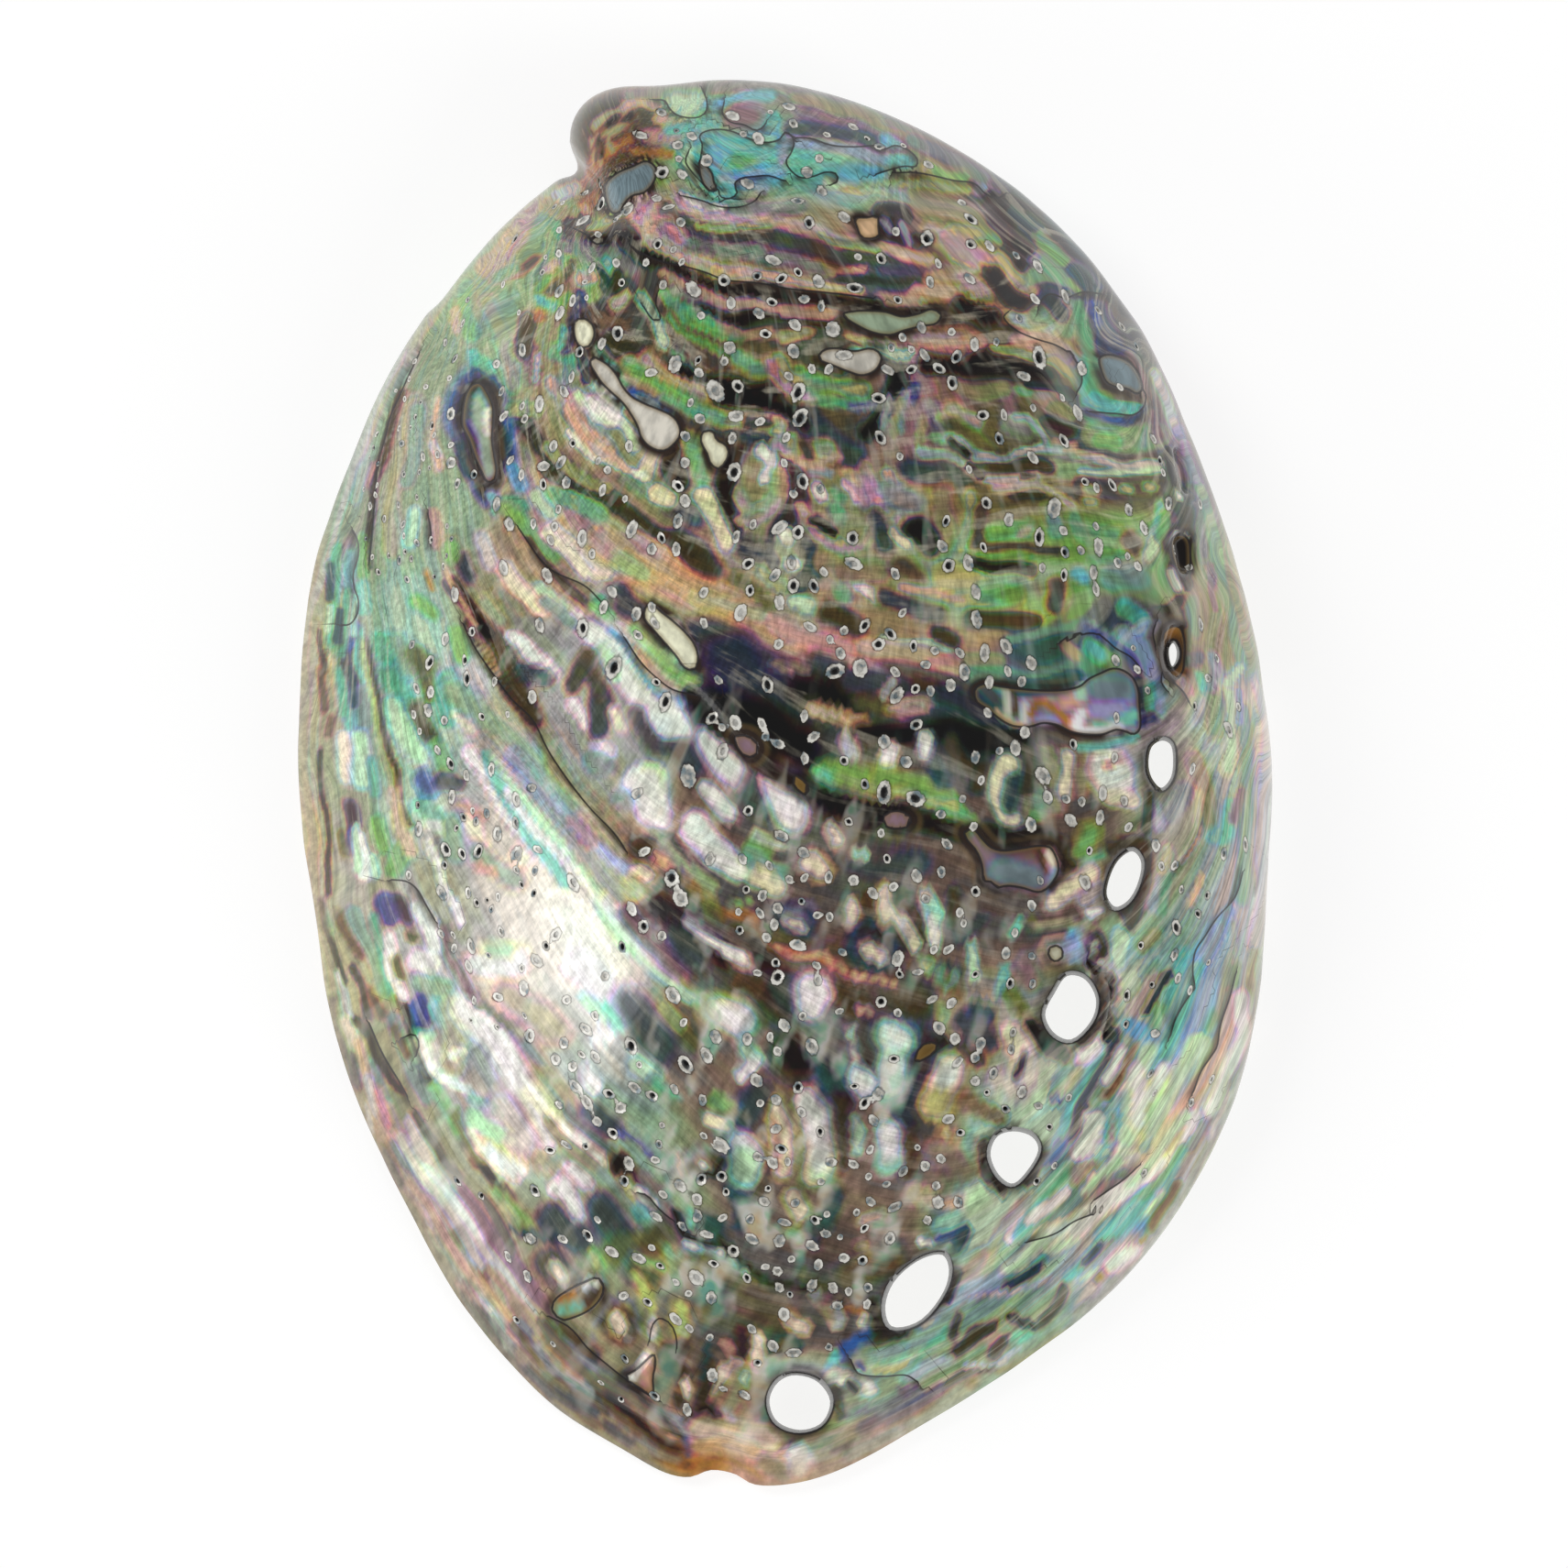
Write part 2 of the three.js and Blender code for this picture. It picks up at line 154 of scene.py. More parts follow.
# Lines along which the shell grew, each with how far the growth had come by then.
GROWTH_LINES = (
    (-12, (780, 105), (900, 110)),
    (-6, (760, 160), (900, 150)),
    (0, (655, 215), (700, 222), (790, 224), (870, 205), (950, 203)),
    (10.5, (638, 259), (676, 259), (745, 292), (791, 305), (870, 322), (950, 330), (1060, 335), (1110, 325),
     (1110, 280), (1060, 235), (1000, 210)),
    (19, (640, 330), (700, 380), (780, 420), (870, 425), (950, 410), (1050, 400), (1130, 400), (1180, 380),
     (1180, 330), (1140, 270), (1080, 225)),
    (28, (640, 222), (635, 250), (628, 300), (628, 350), (640, 400), (690, 450), (740, 478), (790, 490),
     (850, 500), (950, 505), (1000, 498), (1100, 500), (1204, 498), (1250, 450), (1245, 390), (1200, 310),
     (1140, 250)),
    (43, (632, 210), (622, 250), (610, 310), (600, 380), (600, 440), (620, 500), (650, 545), (700, 590),
     (760, 625), (800, 640), (870, 655), (950, 660), (1000, 668), (1100, 670), (1200, 655), (1260, 620),
     (1290, 560), (1290, 500), (1265, 420), (1220, 340)),
    (62.6, (620, 215), (590, 270), (565, 340), (548, 420), (545, 480), (555, 540), (565, 575), (629, 661),
     (688, 705), (721, 744), (761, 764), (801, 811), (855, 850), (900, 872), (960, 888), (1040, 905),
     (1100, 930), (1160, 940), (1230, 900), (1290, 830), (1330, 740), (1340, 650), (1325, 560),
     (1290, 470)),
    (80, (615, 205), (570, 250), (520, 320), (490, 400), (480, 480), (490, 560), (497, 618), (539, 734),
     (599, 820), (629, 863), (684, 925), (760, 975), (880, 1033), (980, 1060), (1060, 1080), (1130, 1080),
     (1200, 1040), (1260, 980), (1310, 900), (1345, 800), (1353, 700), (1340, 600)),
    (95, (605, 210), (550, 260), (500, 330), (470, 400), (455, 480), (455, 560), (465, 640), (480, 700),
     (500, 760), (526, 820), (572, 860), (622, 926), (672, 999), (715, 1045), (758, 1082), (830, 1150),
     (900, 1210), (1000, 1240), (1070, 1240), (1130, 1200), (1210, 1120), (1280, 1020), (1330, 920),
     (1360, 810), (1366, 720)),
    (117, (600, 207), (550, 252), (500, 315), (455, 390), (425, 470), (410, 560), (408, 650), (415, 740),
     (425, 820), (440, 900), (460, 960), (490, 1030), (526, 1098), (579, 1178), (615, 1224), (672, 1271),
     (694, 1300), (754, 1361), (822, 1393), (900, 1411), (960, 1425), (1000, 1420), (1080, 1380),
     (1170, 1290), (1250, 1180), (1310, 1060), (1355, 940), (1375, 820)),
    (132, (602, 203), (555, 245), (500, 305), (450, 385), (415, 465), (390, 560), (378, 650), (372, 750),
     (378, 850), (395, 950), (420, 1040), (450, 1130), (483, 1221), (508, 1264), (554, 1318), (604, 1436),
     (654, 1482), (715, 1521), (754, 1543), (850, 1563), (930, 1548), (1020, 1500), (1120, 1430),
     (1220, 1330), (1300, 1210), (1350, 1090), (1375, 960), (1382, 850)),
    (137, (604, 200), (520, 277), (419, 421), (345, 609), (325, 800), (343, 992), (390, 1203), (508, 1426),
     (680, 1580)),
)
GROWTH_START_PIXEL = (655, 165)
GROWTH_TURN = 1.5
ACROSS_SCALE = 70

# Colours of the nacre and of what shows through it.
PALETTE = {
    "umber": "2e2018", "soot": "242022", "slate": "585b5e", "navy": "3a4458", "violet": "4a408a",
    "blue": "3c68a2", "sky": "7fb0c4", "teal": "60a690", "aqua": "7ac0a8", "mint": "aad6b4",
    "leaf": "84ac64", "moss": "707846", "lime": "b6be76", "olive": "70674c", "tobacco": "7e663a",
    "amber": "ac7c3c", "peach": "cfb08e", "salmon": "c99d84", "pink": "d49c9a", "rose": "c38c96",
    "mauve": "8b757f", "lavender": "9d9abe", "silver": "c2beb4", "pearl": "e6e4dc", "cream": "dcd4bc",
    "taupe": "9a8f7c", "ash": "8c8c8a", "sage": "97a690", "sand": "b2a58a", "fern": "90b27c",
    "plum": "513848", "bark": "594732", "steel": "7a8a90", "petrol": "3f5f60", "loam": "70665a",
    "reed": "8a9482", "haze": "8d8b98",
}

# Broad colours: the colour, how far it spreads in pixels, and the columns and rows of places along it.
WASHES = (
    ("sand", 30, 345, 620, 333, 760, 335, 900, 350, 1020, 370, 1100),
    ("reed", 25, 375, 600, 368, 680, 368, 780),
    ("reed", 25, 384, 610, 378, 700, 378, 770),
    ("taupe", 22, 352, 620, 350, 700, 350, 790),
    ("reed", 45, 470, 400, 420, 560, 400, 700, 395, 820),
    ("mint", 30, 440, 640, 440, 760, 450, 850),
    ("sage", 40, 520, 330, 480, 500, 480, 600),
    # The silver and pearl washes here lie where the nacre is pale and a broad highlight falls: partly its
    # own colour, partly a painted highlight.
    ("silver", 60, 560, 900, 620, 1010, 650, 1100),
    ("silver", 50, 520, 1000, 560, 1100, 600, 1180),
    ("pearl", 25, 610, 980, 640, 1050),
    ("taupe", 40, 560, 640, 620, 740, 700, 860),
    ("olive", 60, 720, 300, 900, 310, 1060, 330),
    ("moss", 50, 760, 400, 900, 420),
    ("taupe", 50, 650, 450, 720, 520),
    ("mauve", 30, 1150, 230, 1230, 330, 1280, 440),
    ("petrol", 36, 1090, 215, 1130, 255, 1180, 300),
    ("petrol", 24, 1098, 232, 1130, 262, 1160, 300),
    ("loam", 50, 1190, 496, 1260, 490),
    ("mint", 40, 1250, 1070, 1225, 1150),
    ("rose", 30, 820, 240, 900, 245),
    ("moss", 50, 1100, 480, 1230, 480),
    ("lime", 30, 1030, 630, 1110, 640),
    ("leaf", 30, 1170, 600, 1240, 590),
    ("salmon", 25, 600, 540, 690, 605, 780, 650, 880, 690, 980, 710, 1050, 715),
    ("navy", 45, 790, 730, 880, 740, 960, 760, 1040, 770),
    ("soot", 22, 800, 800, 860, 830, 900, 865, 960, 885),
    ("petrol", 22, 1120, 725, 1180, 705, 1230, 690),
    ("haze", 25, 1200, 750, 1250, 800),
    ("loam", 80, 760, 900, 860, 950, 900, 1100, 880, 1250, 850, 1400),
    ("loam", 50, 990, 740, 1000, 870, 1120, 860, 1110, 1000),
    ("loam", 40, 740, 990, 740, 1120),
    ("loam", 40, 1000, 130, 1120, 250),
    ("sage", 50, 600, 1150, 740, 1350),
    ("amber", 22, 760, 1586),
    ("salmon", 25, 820, 1585),
    ("sand", 28, 880, 1590, 960, 1572),
    ("taupe", 30, 400, 1150, 470, 1330, 560, 1460, 680, 1560),
    ("reed", 50, 1300, 900),
    ("sage", 50, 1290, 1050, 1220, 1220, 1100, 1400, 980, 1520),
    ("silver", 22, 850, 1480, 880, 1490),
    ("taupe", 24, 482, 965, 500, 1015),
    ("taupe", 40, 744, 248, 868, 248),
    ("sage", 30, 620, 248),
    ("silver", 25, 496, 744),
    ("silver", 25, 1116, 744),
    ("pearl", 22, 620, 744),
    ("sage", 25, 1116, 868),
    ("silver", 30, 1345, 800, 1340, 1000, 1290, 1200, 1180, 1380),
    ("silver", 40, 620, 720, 660, 800, 690, 850),
    # This pearl wash is partly the nacre's pale colour and partly a painted highlight.
    ("pearl", 40, 640, 1020, 680, 1080),
    ("taupe", 60, 860, 1150, 900, 1290),
    ("mint", 36, 1150, 1160, 1116, 1240, 1080, 1330),
    ("sand", 40, 1080, 1110, 1130, 1120),
    ("aqua", 40, 790, 180, 930, 180),
    ("bark", 22, 650, 150, 690, 140, 650, 195),
    ("ash", 30, 780, 110, 900, 125, 1000, 160),
    ("mauve", 40, 1000, 250, 980, 430),
)

# How much of the seeded grain each area shows: cells of bright nacre, stripes along the growth, and
# soft changes of hue; then how far it spreads in pixels, and the places along it.
GRAIN_AREAS = (
    (0.2, 1.0, 0.8, 90, 700, 300, 900, 330, 1100, 360),
    (0.3, 0.9, 0.8, 80, 700, 450, 900, 520, 1150, 560),
    (0.1, 0.4, 0.6, 60, 720, 140, 900, 150),
    (0.45, 0.3, 0.5, 110, 700, 820, 900, 1000, 1100, 960),
    (0.0, 0.7, 0.4, 50, 790, 720, 880, 750, 960, 780, 1050, 800),
    (1.0, 0.3, 0.5, 130, 740, 1200, 900, 1300),
    (0.6, 0.4, 0.4, 60, 560, 1250, 680, 1460),
    (0.2, 0.8, 0.4, 60, 420, 560, 420, 800, 480, 1000),
    (0.1, 0.4, 0.1, 60, 560, 950, 650, 1100),
    (0.3, 1.0, 0.7, 60, 1320, 700, 1310, 950, 1220, 1220, 1050, 1450),
)

# Lines and patches over the broad colours: the colour, half the width in pixels, and one or more
# lines, each the columns and rows of places along it.
STROKES = (
    # The spire and the oldest turn
    ("ash", 8, (690, 104, 760, 93, 840, 94, 920, 110, 1000, 143)),
    ("tobacco", 12, (650, 140, 690, 130, 680, 160, 650, 180), (640, 190, 655, 165)),
    ("amber", 6, (645, 190, 650, 175, 668, 165, 690, 150), (695, 165, 735, 168), (660, 205, 640, 225)),
    ("sand", 4, (648, 152, 668, 142, 688, 130), (652, 132, 666, 122, 684, 118), (650, 168, 655, 176),
     (668, 155, 670, 162)),
    ("umber", 3, (655, 151, 658, 149), (653, 170, 657, 168), (688, 126, 694, 124), (676, 124, 668, 130)),
    ("rose", 9, (712, 146, 735, 150)), ("mint", 13, (742, 108, 752, 116, 762, 108)),
    ("peach", 4, (684, 114, 705, 112, 722, 114), (728, 129, 748, 134, 772, 133), (722, 127, 728, 122)),
    ("aqua", 7, (735, 140, 790, 132), (842, 143, 845, 135)), ("sky", 6, (775, 113, 800, 108, 838, 108)),
    ("mauve", 12, (802, 125, 822, 132), (880, 118, 930, 128)), ("taupe", 8, (870, 108, 930, 122, 980, 140)),
    ("slate", 8, (865, 145, 900, 143, 975, 160)),
    ("aqua", 17, (782, 160, 800, 165, 840, 168), (785, 185, 790, 205)), ("leaf", 7, (805, 174, 820, 177)),
    ("sky", 9, (845, 190, 820, 188), (925, 185, 960, 190), (785, 168, 783, 180)),
    ("lavender", 6, (855, 172, 860, 160, 880, 160, 975, 172), (792, 192, 830, 200)),
    ("mint", 5, (757, 163, 756, 180, 764, 196), (905, 200, 950, 206, 1000, 205)),
    ("steel", 5, (770, 188, 776, 200)), ("sage", 9, (672, 197, 702, 190)),
    ("salmon", 4, (697, 182, 710, 182)), ("leaf", 5, (715, 195, 728, 206)),
    # Stripes below the suture
    ("steel", 8, (745, 215, 790, 226, 840, 228, 870, 222)), ("pearl", 4, (742, 212, 790, 228)),
    ("pink", 13, (690, 232, 712, 226, 740, 248, 720, 258)),
    ("peach", 5, (728, 222, 800, 240, 850, 243), (692, 238, 706, 262)),
    ("olive", 9, (728, 232, 760, 250, 850, 265, 900, 277, 960, 285)),
    ("mint", 3, (742, 264, 790, 269, 828, 278)),
    ("steel", 6, (752, 272, 790, 276, 830, 286, 870, 292, 905, 300)),
    ("rose", 5, (800, 243, 850, 247, 900, 258, 950, 268)),
    ("peach", 4, (704, 268, 740, 279, 790, 291, 862, 312)),
    ("umber", 7, (681, 264, 700, 279, 726, 291, 800, 310, 832, 314)),
    ("olive", 8, (850, 318, 900, 328, 1000, 335)), ("pink", 3, (850, 288, 900, 294, 930, 300, 950, 292)),
    ("steel", 5, (735, 319, 835, 336)), ("umber", 7, (762, 337, 800, 350, 850, 344, 905, 350)),
    ("rose", 4, (770, 347, 802, 358), (862, 345, 920, 338)),
    ("peach", 6, (722, 328, 752, 347, 792, 362), (860, 372, 880, 362)),
    ("leaf", 5, (726, 352, 762, 372, 800, 386), (745, 345, 782, 360, 812, 370)),
    ("olive", 6, (722, 362, 760, 384, 790, 398)),
    # Below the neck
    ("silver", 9, (612, 212, 630, 205)), ("steel", 13, (645, 275, 680, 292)),
    ("fern", 12, (606, 300, 620, 285, 640, 330)),
    ("umber", 5, (640, 258, 660, 266, 676, 252), (640, 236, 632, 246)), ("violet", 6, (627, 330, 617, 388)),
    ("peach", 8, (668, 342, 680, 332), (630, 312, 640, 306)), ("bark", 13, (668, 380, 690, 392)),
    ("mint", 6, (700, 332, 722, 378)),
    # Right of the oldest turn
    ("ash", 3, (960, 128, 1010, 150, 1060, 176, 1100, 205)), ("steel", 7, (985, 150, 1075, 196)),
    ("soot", 7, (1098, 215, 1140, 236, 1212, 312)), ("sky", 5, (960, 148, 970, 155)),
    ("aqua", 9, (972, 172, 988, 176)), ("fern", 6, (1010, 182, 1030, 190, 1052, 194)),
    ("salmon", 3, (1006, 186, 1010, 183)), ("lavender", 6, (1070, 206, 1088, 213)),
    ("taupe", 16, (1000, 212, 1060, 235, 1082, 252)), ("sage", 8, (925, 215, 950, 221, 985, 215)),
    ("lime", 3, (922, 206, 970, 212), (930, 203, 1000, 200, 1060, 205), (922, 323, 960, 328, 978, 336),
     (1004, 331, 1040, 325, 1062, 318)), ("rose", 10, (1018, 250, 1042, 276)),
    ("soot", 6, (962, 229, 985, 227, 990, 236), (1002, 262, 1016, 261)),
    ("plum", 6, (962, 252, 985, 262, 1000, 266), (978, 238, 976, 250)),
    ("lavender", 3, (984, 244, 993, 266), (968, 243, 972, 252)),
    ("pink", 4, (922, 265, 960, 270, 988, 280), (925, 298, 945, 296)), ("slate", 7, (920, 305, 1002, 313)),
    ("mauve", 8, (968, 298, 1010, 296, 1062, 305)),
    ("rose", 7, (1018, 309, 1050, 311, 1078, 322), (962, 327, 990, 330, 1002, 320)),
    ("umber", 6, (930, 334, 980, 344, 1012, 342)),
    ("bark", 13, (1038, 343, 1062, 352), (1085, 372, 1100, 365)), ("lime", 2, (1048, 334, 1076, 330)),
    ("salmon", 9, (1054, 275, 1076, 283), (1094, 286, 1122, 321), (1078, 345, 1086, 350)),
    ("lime", 3, (1040, 290, 1066, 298, 1086, 294)),
    ("umber", 6, (1078, 296, 1100, 334, 1126, 339), (1112, 262, 1121, 275, 1114, 292)),
    ("fern", 5, (1058, 258, 1092, 262)),
    ("violet", 4, (1084, 240, 1111, 268), (1131, 333, 1144, 323, 1160, 326)),
    ("umber", 5, (1088, 226, 1150, 276, 1180, 310)), ("fern", 4, (1128, 262, 1156, 292)),
    ("lavender", 6, (1122, 272, 1130, 280)),
    ("sage", 10, (1120, 308, 1138, 300, 1156, 304), (1172, 290, 1190, 312)),
    ("silver", 9, (1102, 351, 1122, 358, 1142, 374), (1150, 380, 1165, 395)),
    ("mint", 5, (1136, 344, 1142, 358)), ("blue", 8, (1190, 336, 1196, 362, 1204, 384)),
    ("violet", 6, (1198, 372, 1206, 388)), ("aqua", 5, (1166, 332, 1177, 356, 1188, 392)),
    ("cream", 3, (1158, 334, 1172, 362, 1183, 398)), ("bark", 10, (1206, 322, 1228, 346, 1252, 384)),
    ("rose", 10, (1002, 372, 1040, 378, 1062, 384), (1104, 376, 1136, 376, 1152, 388)),
    ("mint", 7, (928, 386, 960, 390, 990, 388)), ("peach", 3, (922, 366, 950, 374, 975, 376)),
    ("umber", 5, (1030, 396, 1080, 391, 1122, 399)),
    # Upper middle
    ("slate", 13, (742, 455, 872, 492), (884, 462, 902, 482, 932, 500), (812, 596, 842, 610),
     (884, 592, 892, 618, 872, 640), (736, 552, 754, 562), (672, 652, 690, 668, 722, 678)),
    ("soot", 12, (788, 430, 820, 436, 850, 426)),
    ("umber", 12, (734, 492, 738, 522), (800, 500, 790, 540, 798, 572)),
    ("plum", 10, (862, 515, 868, 560, 850, 588)),
    ("teal", 5, (652, 384, 686, 422), (735, 386, 758, 402, 772, 420), (880, 436, 912, 446, 950, 445)),
    ("blue", 4, (690, 428, 712, 440, 732, 448), (930, 448, 955, 444)),
    ("fern", 10, (690, 402, 750, 440, 792, 460), (800, 390, 826, 408), (622, 540, 646, 550)),
    ("salmon", 6, (706, 394, 765, 430)),
    ("pink", 6, (838, 400, 845, 420, 862, 433, 886, 441), (835, 450, 850, 466, 848, 482)),
    ("lime", 8, (850, 395, 870, 420, 942, 430), (800, 461, 846, 476)),
    ("leaf", 3, (872, 405, 890, 418, 926, 422)), ("olive", 5, (815, 466, 835, 470)),
    ("lime", 11, (862, 490, 886, 497, 906, 493)), ("olive", 7, (876, 490, 886, 500)),
    ("pink", 4, (845, 494, 865, 506, 890, 513, 916, 500)), ("pink", 7, (945, 512, 958, 542)),
    ("taupe", 20, (826, 520, 826, 548)),
    ("pearl", 6, (828, 498, 841, 512, 838, 526), (924, 532, 932, 546), (888, 538, 892, 546)),
    ("lime", 4, (846, 520, 849, 540, 838, 553, 820, 562), (890, 592, 916, 598)),
    ("pink", 4, (853, 518, 857, 545, 846, 562, 825, 573, 805, 569),
     (873, 555, 884, 586, 905, 603, 930, 603, 945, 580)),
    ("salmon", 7, (808, 540, 815, 556), (926, 520, 940, 552)), ("lavender", 5, (885, 522, 906, 521)),
    ("umber", 5, (884, 574, 904, 586)), ("teal", 8, (908, 543, 912, 547), (903, 560, 909, 566)),
    ("cream", 11, (766, 540, 790, 590)), ("fern", 8, (754, 482, 766, 520)),
    ("cream", 9, (716, 494, 704, 518), (716, 542, 730, 546), (605, 576, 660, 626)),
    ("sage", 8, (620, 390, 625, 410, 615, 432)),
    ("mint", 6, (640, 410, 656, 430, 676, 446), (664, 440, 684, 468, 692, 486), (640, 440, 656, 456)),
    ("pearl", 8, (654, 446, 670, 459)), ("peach", 7, (620, 440, 650, 470, 666, 492)),
    ("pearl", 3, (628, 470, 650, 490, 672, 506, 702, 520)),
    ("bark", 8, (897, 400, 916, 412), (600, 512, 640, 530, 692, 571, 722, 586, 752, 602)),
    ("bark", 13, (738, 592, 764, 610, 774, 620)), ("steel", 5, (682, 522, 700, 540)),
    ("salmon", 22, (660, 592, 700, 620, 742, 640, 800, 656, 872, 697)), ("lime", 10, (678, 618, 700, 632)),
    ("sand", 9, (762, 652, 830, 669)), ("moss", 8, (796, 626, 820, 640, 842, 656)),
    ("lime", 6, (830, 620, 856, 640)), ("mint", 7, (868, 655, 880, 665)),
    ("mint", 12, (600, 642, 620, 662, 642, 692)), ("taupe", 7, (600, 610, 638, 640, 662, 662)),
    ("mauve", 3, (600, 625, 640, 665, 662, 692)), ("teal", 5, (655, 655, 660, 670)),
    ("pearl", 7, (856, 584, 860, 588), (860, 614, 866, 618), (935, 644, 950, 650)),
    ("sand", 7, (855, 598, 858, 604)), ("taupe", 13, (900, 618, 930, 630, 952, 622)),
    ("teal", 7, (918, 652, 922, 660)), ("bark", 11, (902, 674, 932, 690)),
    # Upper right
    ("mauve", 8, (1000, 400, 1010, 430), (1098, 430, 1100, 470)),
    ("soot", 7, (955, 400, 975, 408, 985, 425), (982, 405, 964, 455, 945, 474)),
    ("violet", 4, (998, 425, 996, 440), (960, 400, 966, 404)),
    ("lavender", 3, (972, 438, 962, 468), (990, 432, 982, 470)),
    ("taupe", 4, (984, 440, 974, 476), (1005, 455, 1000, 490)), ("steel", 9, (1012, 448, 1030, 466)),
    ("teal", 4, (1016, 480, 1024, 484)), ("umber", 9, (1010, 401, 1110, 402, 1142, 406)),
    ("lime", 4, (1080, 386, 1148, 396, 1165, 410, 1168, 424)),
    ("taupe", 10, (1040, 424, 1070, 430, 1092, 424), (1020, 380, 1040, 385)),
    ("fern", 5, (1110, 424, 1142, 433), (1020, 458, 1042, 465)),
    ("rose", 7, (1136, 432, 1142, 440), (1155, 484, 1165, 482)), ("taupe", 8, (1148, 444, 1160, 450)),
    ("navy", 3, (1120, 418, 1145, 422, 1161, 431, 1171, 446)), ("peach", 10, (1036, 450, 1060, 460)),
    ("moss", 10, (1036, 466, 1060, 480, 1076, 494)), ("steel", 10, (1102, 462, 1120, 472)),
    ("plum", 8, (1144, 462, 1162, 470)),
    ("sage", 15, (1190, 470, 1230, 474, 1266, 470), (1150, 512, 1176, 516)),
    ("fern", 8, (1198, 478, 1212, 478)),
    ("bark", 7, (1080, 509, 1112, 512, 1142, 512), (1100, 540, 1126, 545)),
    ("mint", 3, (1178, 513, 1230, 512, 1266, 508)), ("olive", 10, (1180, 530, 1230, 535, 1272, 530)),
    ("lime", 5, (1188, 534, 1194, 534), (1222, 534, 1228, 536), (1248, 530, 1254, 532),
     (1188, 548, 1194, 548)), ("peach", 4, (1085, 534, 1130, 536, 1152, 543, 1172, 556)),
    ("sage", 11, (1138, 562, 1146, 580)), ("lime", 6, (1056, 540, 1056, 568, 1050, 592)),
    ("olive", 7, (1066, 558, 1066, 592)), ("leaf", 9, (1084, 580, 1110, 580), (1075, 606, 1112, 610)),
    ("salmon", 5, (1106, 586, 1112, 584)), ("olive", 4, (1072, 594, 1112, 598, 1150, 604)),
    ("umber", 6, (1060, 610, 1090, 618, 1122, 623)), ("taupe", 12, (1026, 540, 1030, 590)),
    ("sand", 13, (972, 536, 1000, 546)), ("peach", 6, (970, 518, 984, 522)),
    ("pink", 7, (938, 522, 960, 560)), ("salmon", 8, (982, 562, 990, 570)),
    ("slate", 10, (954, 566, 960, 590), (988, 514, 1012, 520)), ("soot", 13, (998, 574, 1010, 590)),
    ("cream", 6, (974, 578, 984, 588)), ("olive", 13, (978, 616, 1002, 630)),
    ("lime", 20, (1030, 626, 1070, 641, 1110, 652, 1122, 664)), ("leaf", 12, (1078, 640, 1102, 650)),
    ("peach", 5, (978, 640, 1020, 642, 1052, 651)), ("bark", 9, (1060, 670, 1122, 681)),
    ("leaf", 11, (1172, 566, 1182, 590, 1202, 602, 1212, 584), (1172, 640, 1176, 658, 1165, 676)),
    ("olive", 9, (1228, 590, 1240, 602), (1148, 640, 1144, 662)),
    ("mint", 8, (1250, 602, 1264, 580, 1268, 554)), ("sage", 15, (1208, 630, 1242, 626)),
    ("slate", 10, (960, 650, 990, 661, 1022, 666), (1200, 660, 1210, 680)),
    ("sky", 9, (1224, 660, 1248, 678), (1173, 630, 1178, 634)),
    ("teal", 6, (1100, 700, 1140, 690, 1184, 684)), ("lavender", 5, (1188, 686, 1202, 695, 1218, 700)),
    ("silver", 3, (1106, 455, 1121, 456, 1142, 484, 1131, 492, 1111, 496, 1096, 503, 1060, 503)),
    ("silver", 4, (1028, 480, 1041, 482, 1056, 495, 1080, 502),
     (1000, 495, 1030, 500, 1050, 510, 1066, 521, 1082, 525, 1130, 525),
     (1112, 496, 1150, 492, 1182, 495, 1212, 502, 1278, 500)),
    ("umber", 2, (1032, 483, 1054, 498), (1054, 511, 1070, 522), (1112, 524, 1126, 525)),
    ("pink", 2, (1160, 489, 1200, 496)), ("aqua", 9, (1180, 394, 1181, 446, 1202, 441)),
    ("leaf", 6, (1196, 430, 1206, 432)), ("aqua", 6, (1215, 440, 1238, 440)),
    ("bark", 8, (1234, 385, 1252, 402)), ("silver", 5, (1256, 400, 1276, 440, 1286, 470)),
    # Left edge
    ("taupe", 6, (335, 680, 330, 760, 333, 860, 345, 960, 358, 1010)),
    ("sand", 5, (346, 680, 342, 800, 346, 880, 358, 980)),
    ("bark", 2, (352, 820, 353, 900, 362, 980), (352, 690, 354, 730)),
    ("tobacco", 3, (350, 730, 351, 770), (360, 780, 358, 800)),
    ("peach", 4, (365, 680, 366, 720, 369, 765)), ("aqua", 11, (376, 690, 386, 790), (392, 690, 398, 740)),
    ("steel", 10, (393, 755, 398, 785)), ("plum", 8, (381, 712, 383, 740), (382, 880, 386, 896)),
    ("blue", 5, (392, 682, 385, 704)), ("teal", 13, (430, 735, 442, 760), (424, 705, 430, 715)),
    ("sage", 9, (440, 700, 450, 730)), ("bark", 4, (408, 705, 411, 750, 437, 872, 447, 900)),
    ("lime", 3, (402, 700, 408, 770, 432, 870)), ("mint", 12, (430, 772, 454, 822)),
    ("cream", 7, (374, 800, 380, 850)), ("mint", 11, (392, 802, 396, 850)),
    ("teal", 5, (405, 825, 410, 862)), ("bark", 10, (458, 772, 470, 800)),
    ("moss", 9, (466, 735, 476, 756), (455, 715, 465, 730)), ("fern", 11, (476, 815, 482, 832)),
    ("leaf", 10, (494, 690, 500, 716)), ("teal", 9, (490, 740, 492, 782)),
    ("cream", 9, (508, 775, 516, 790)), ("blue", 10, (458, 846, 468, 858)),
    ("aqua", 8, (458, 875, 474, 890)), ("pearl", 7, (468, 900, 482, 908)),
    ("slate", 9, (480, 848, 496, 854)), ("leaf", 9, (414, 895, 422, 922), (440, 930, 430, 950)),
    ("peach", 6, (432, 862, 440, 900, 449, 930)), ("violet", 5, (384, 905, 379, 928)),
    ("moss", 5, (370, 908, 376, 930)), ("pearl", 6, (394, 912, 398, 955)),
    ("mint", 4, (389, 900, 390, 950), (406, 935, 410, 955)), ("sage", 12, (500, 750, 592, 835, 622, 872)),
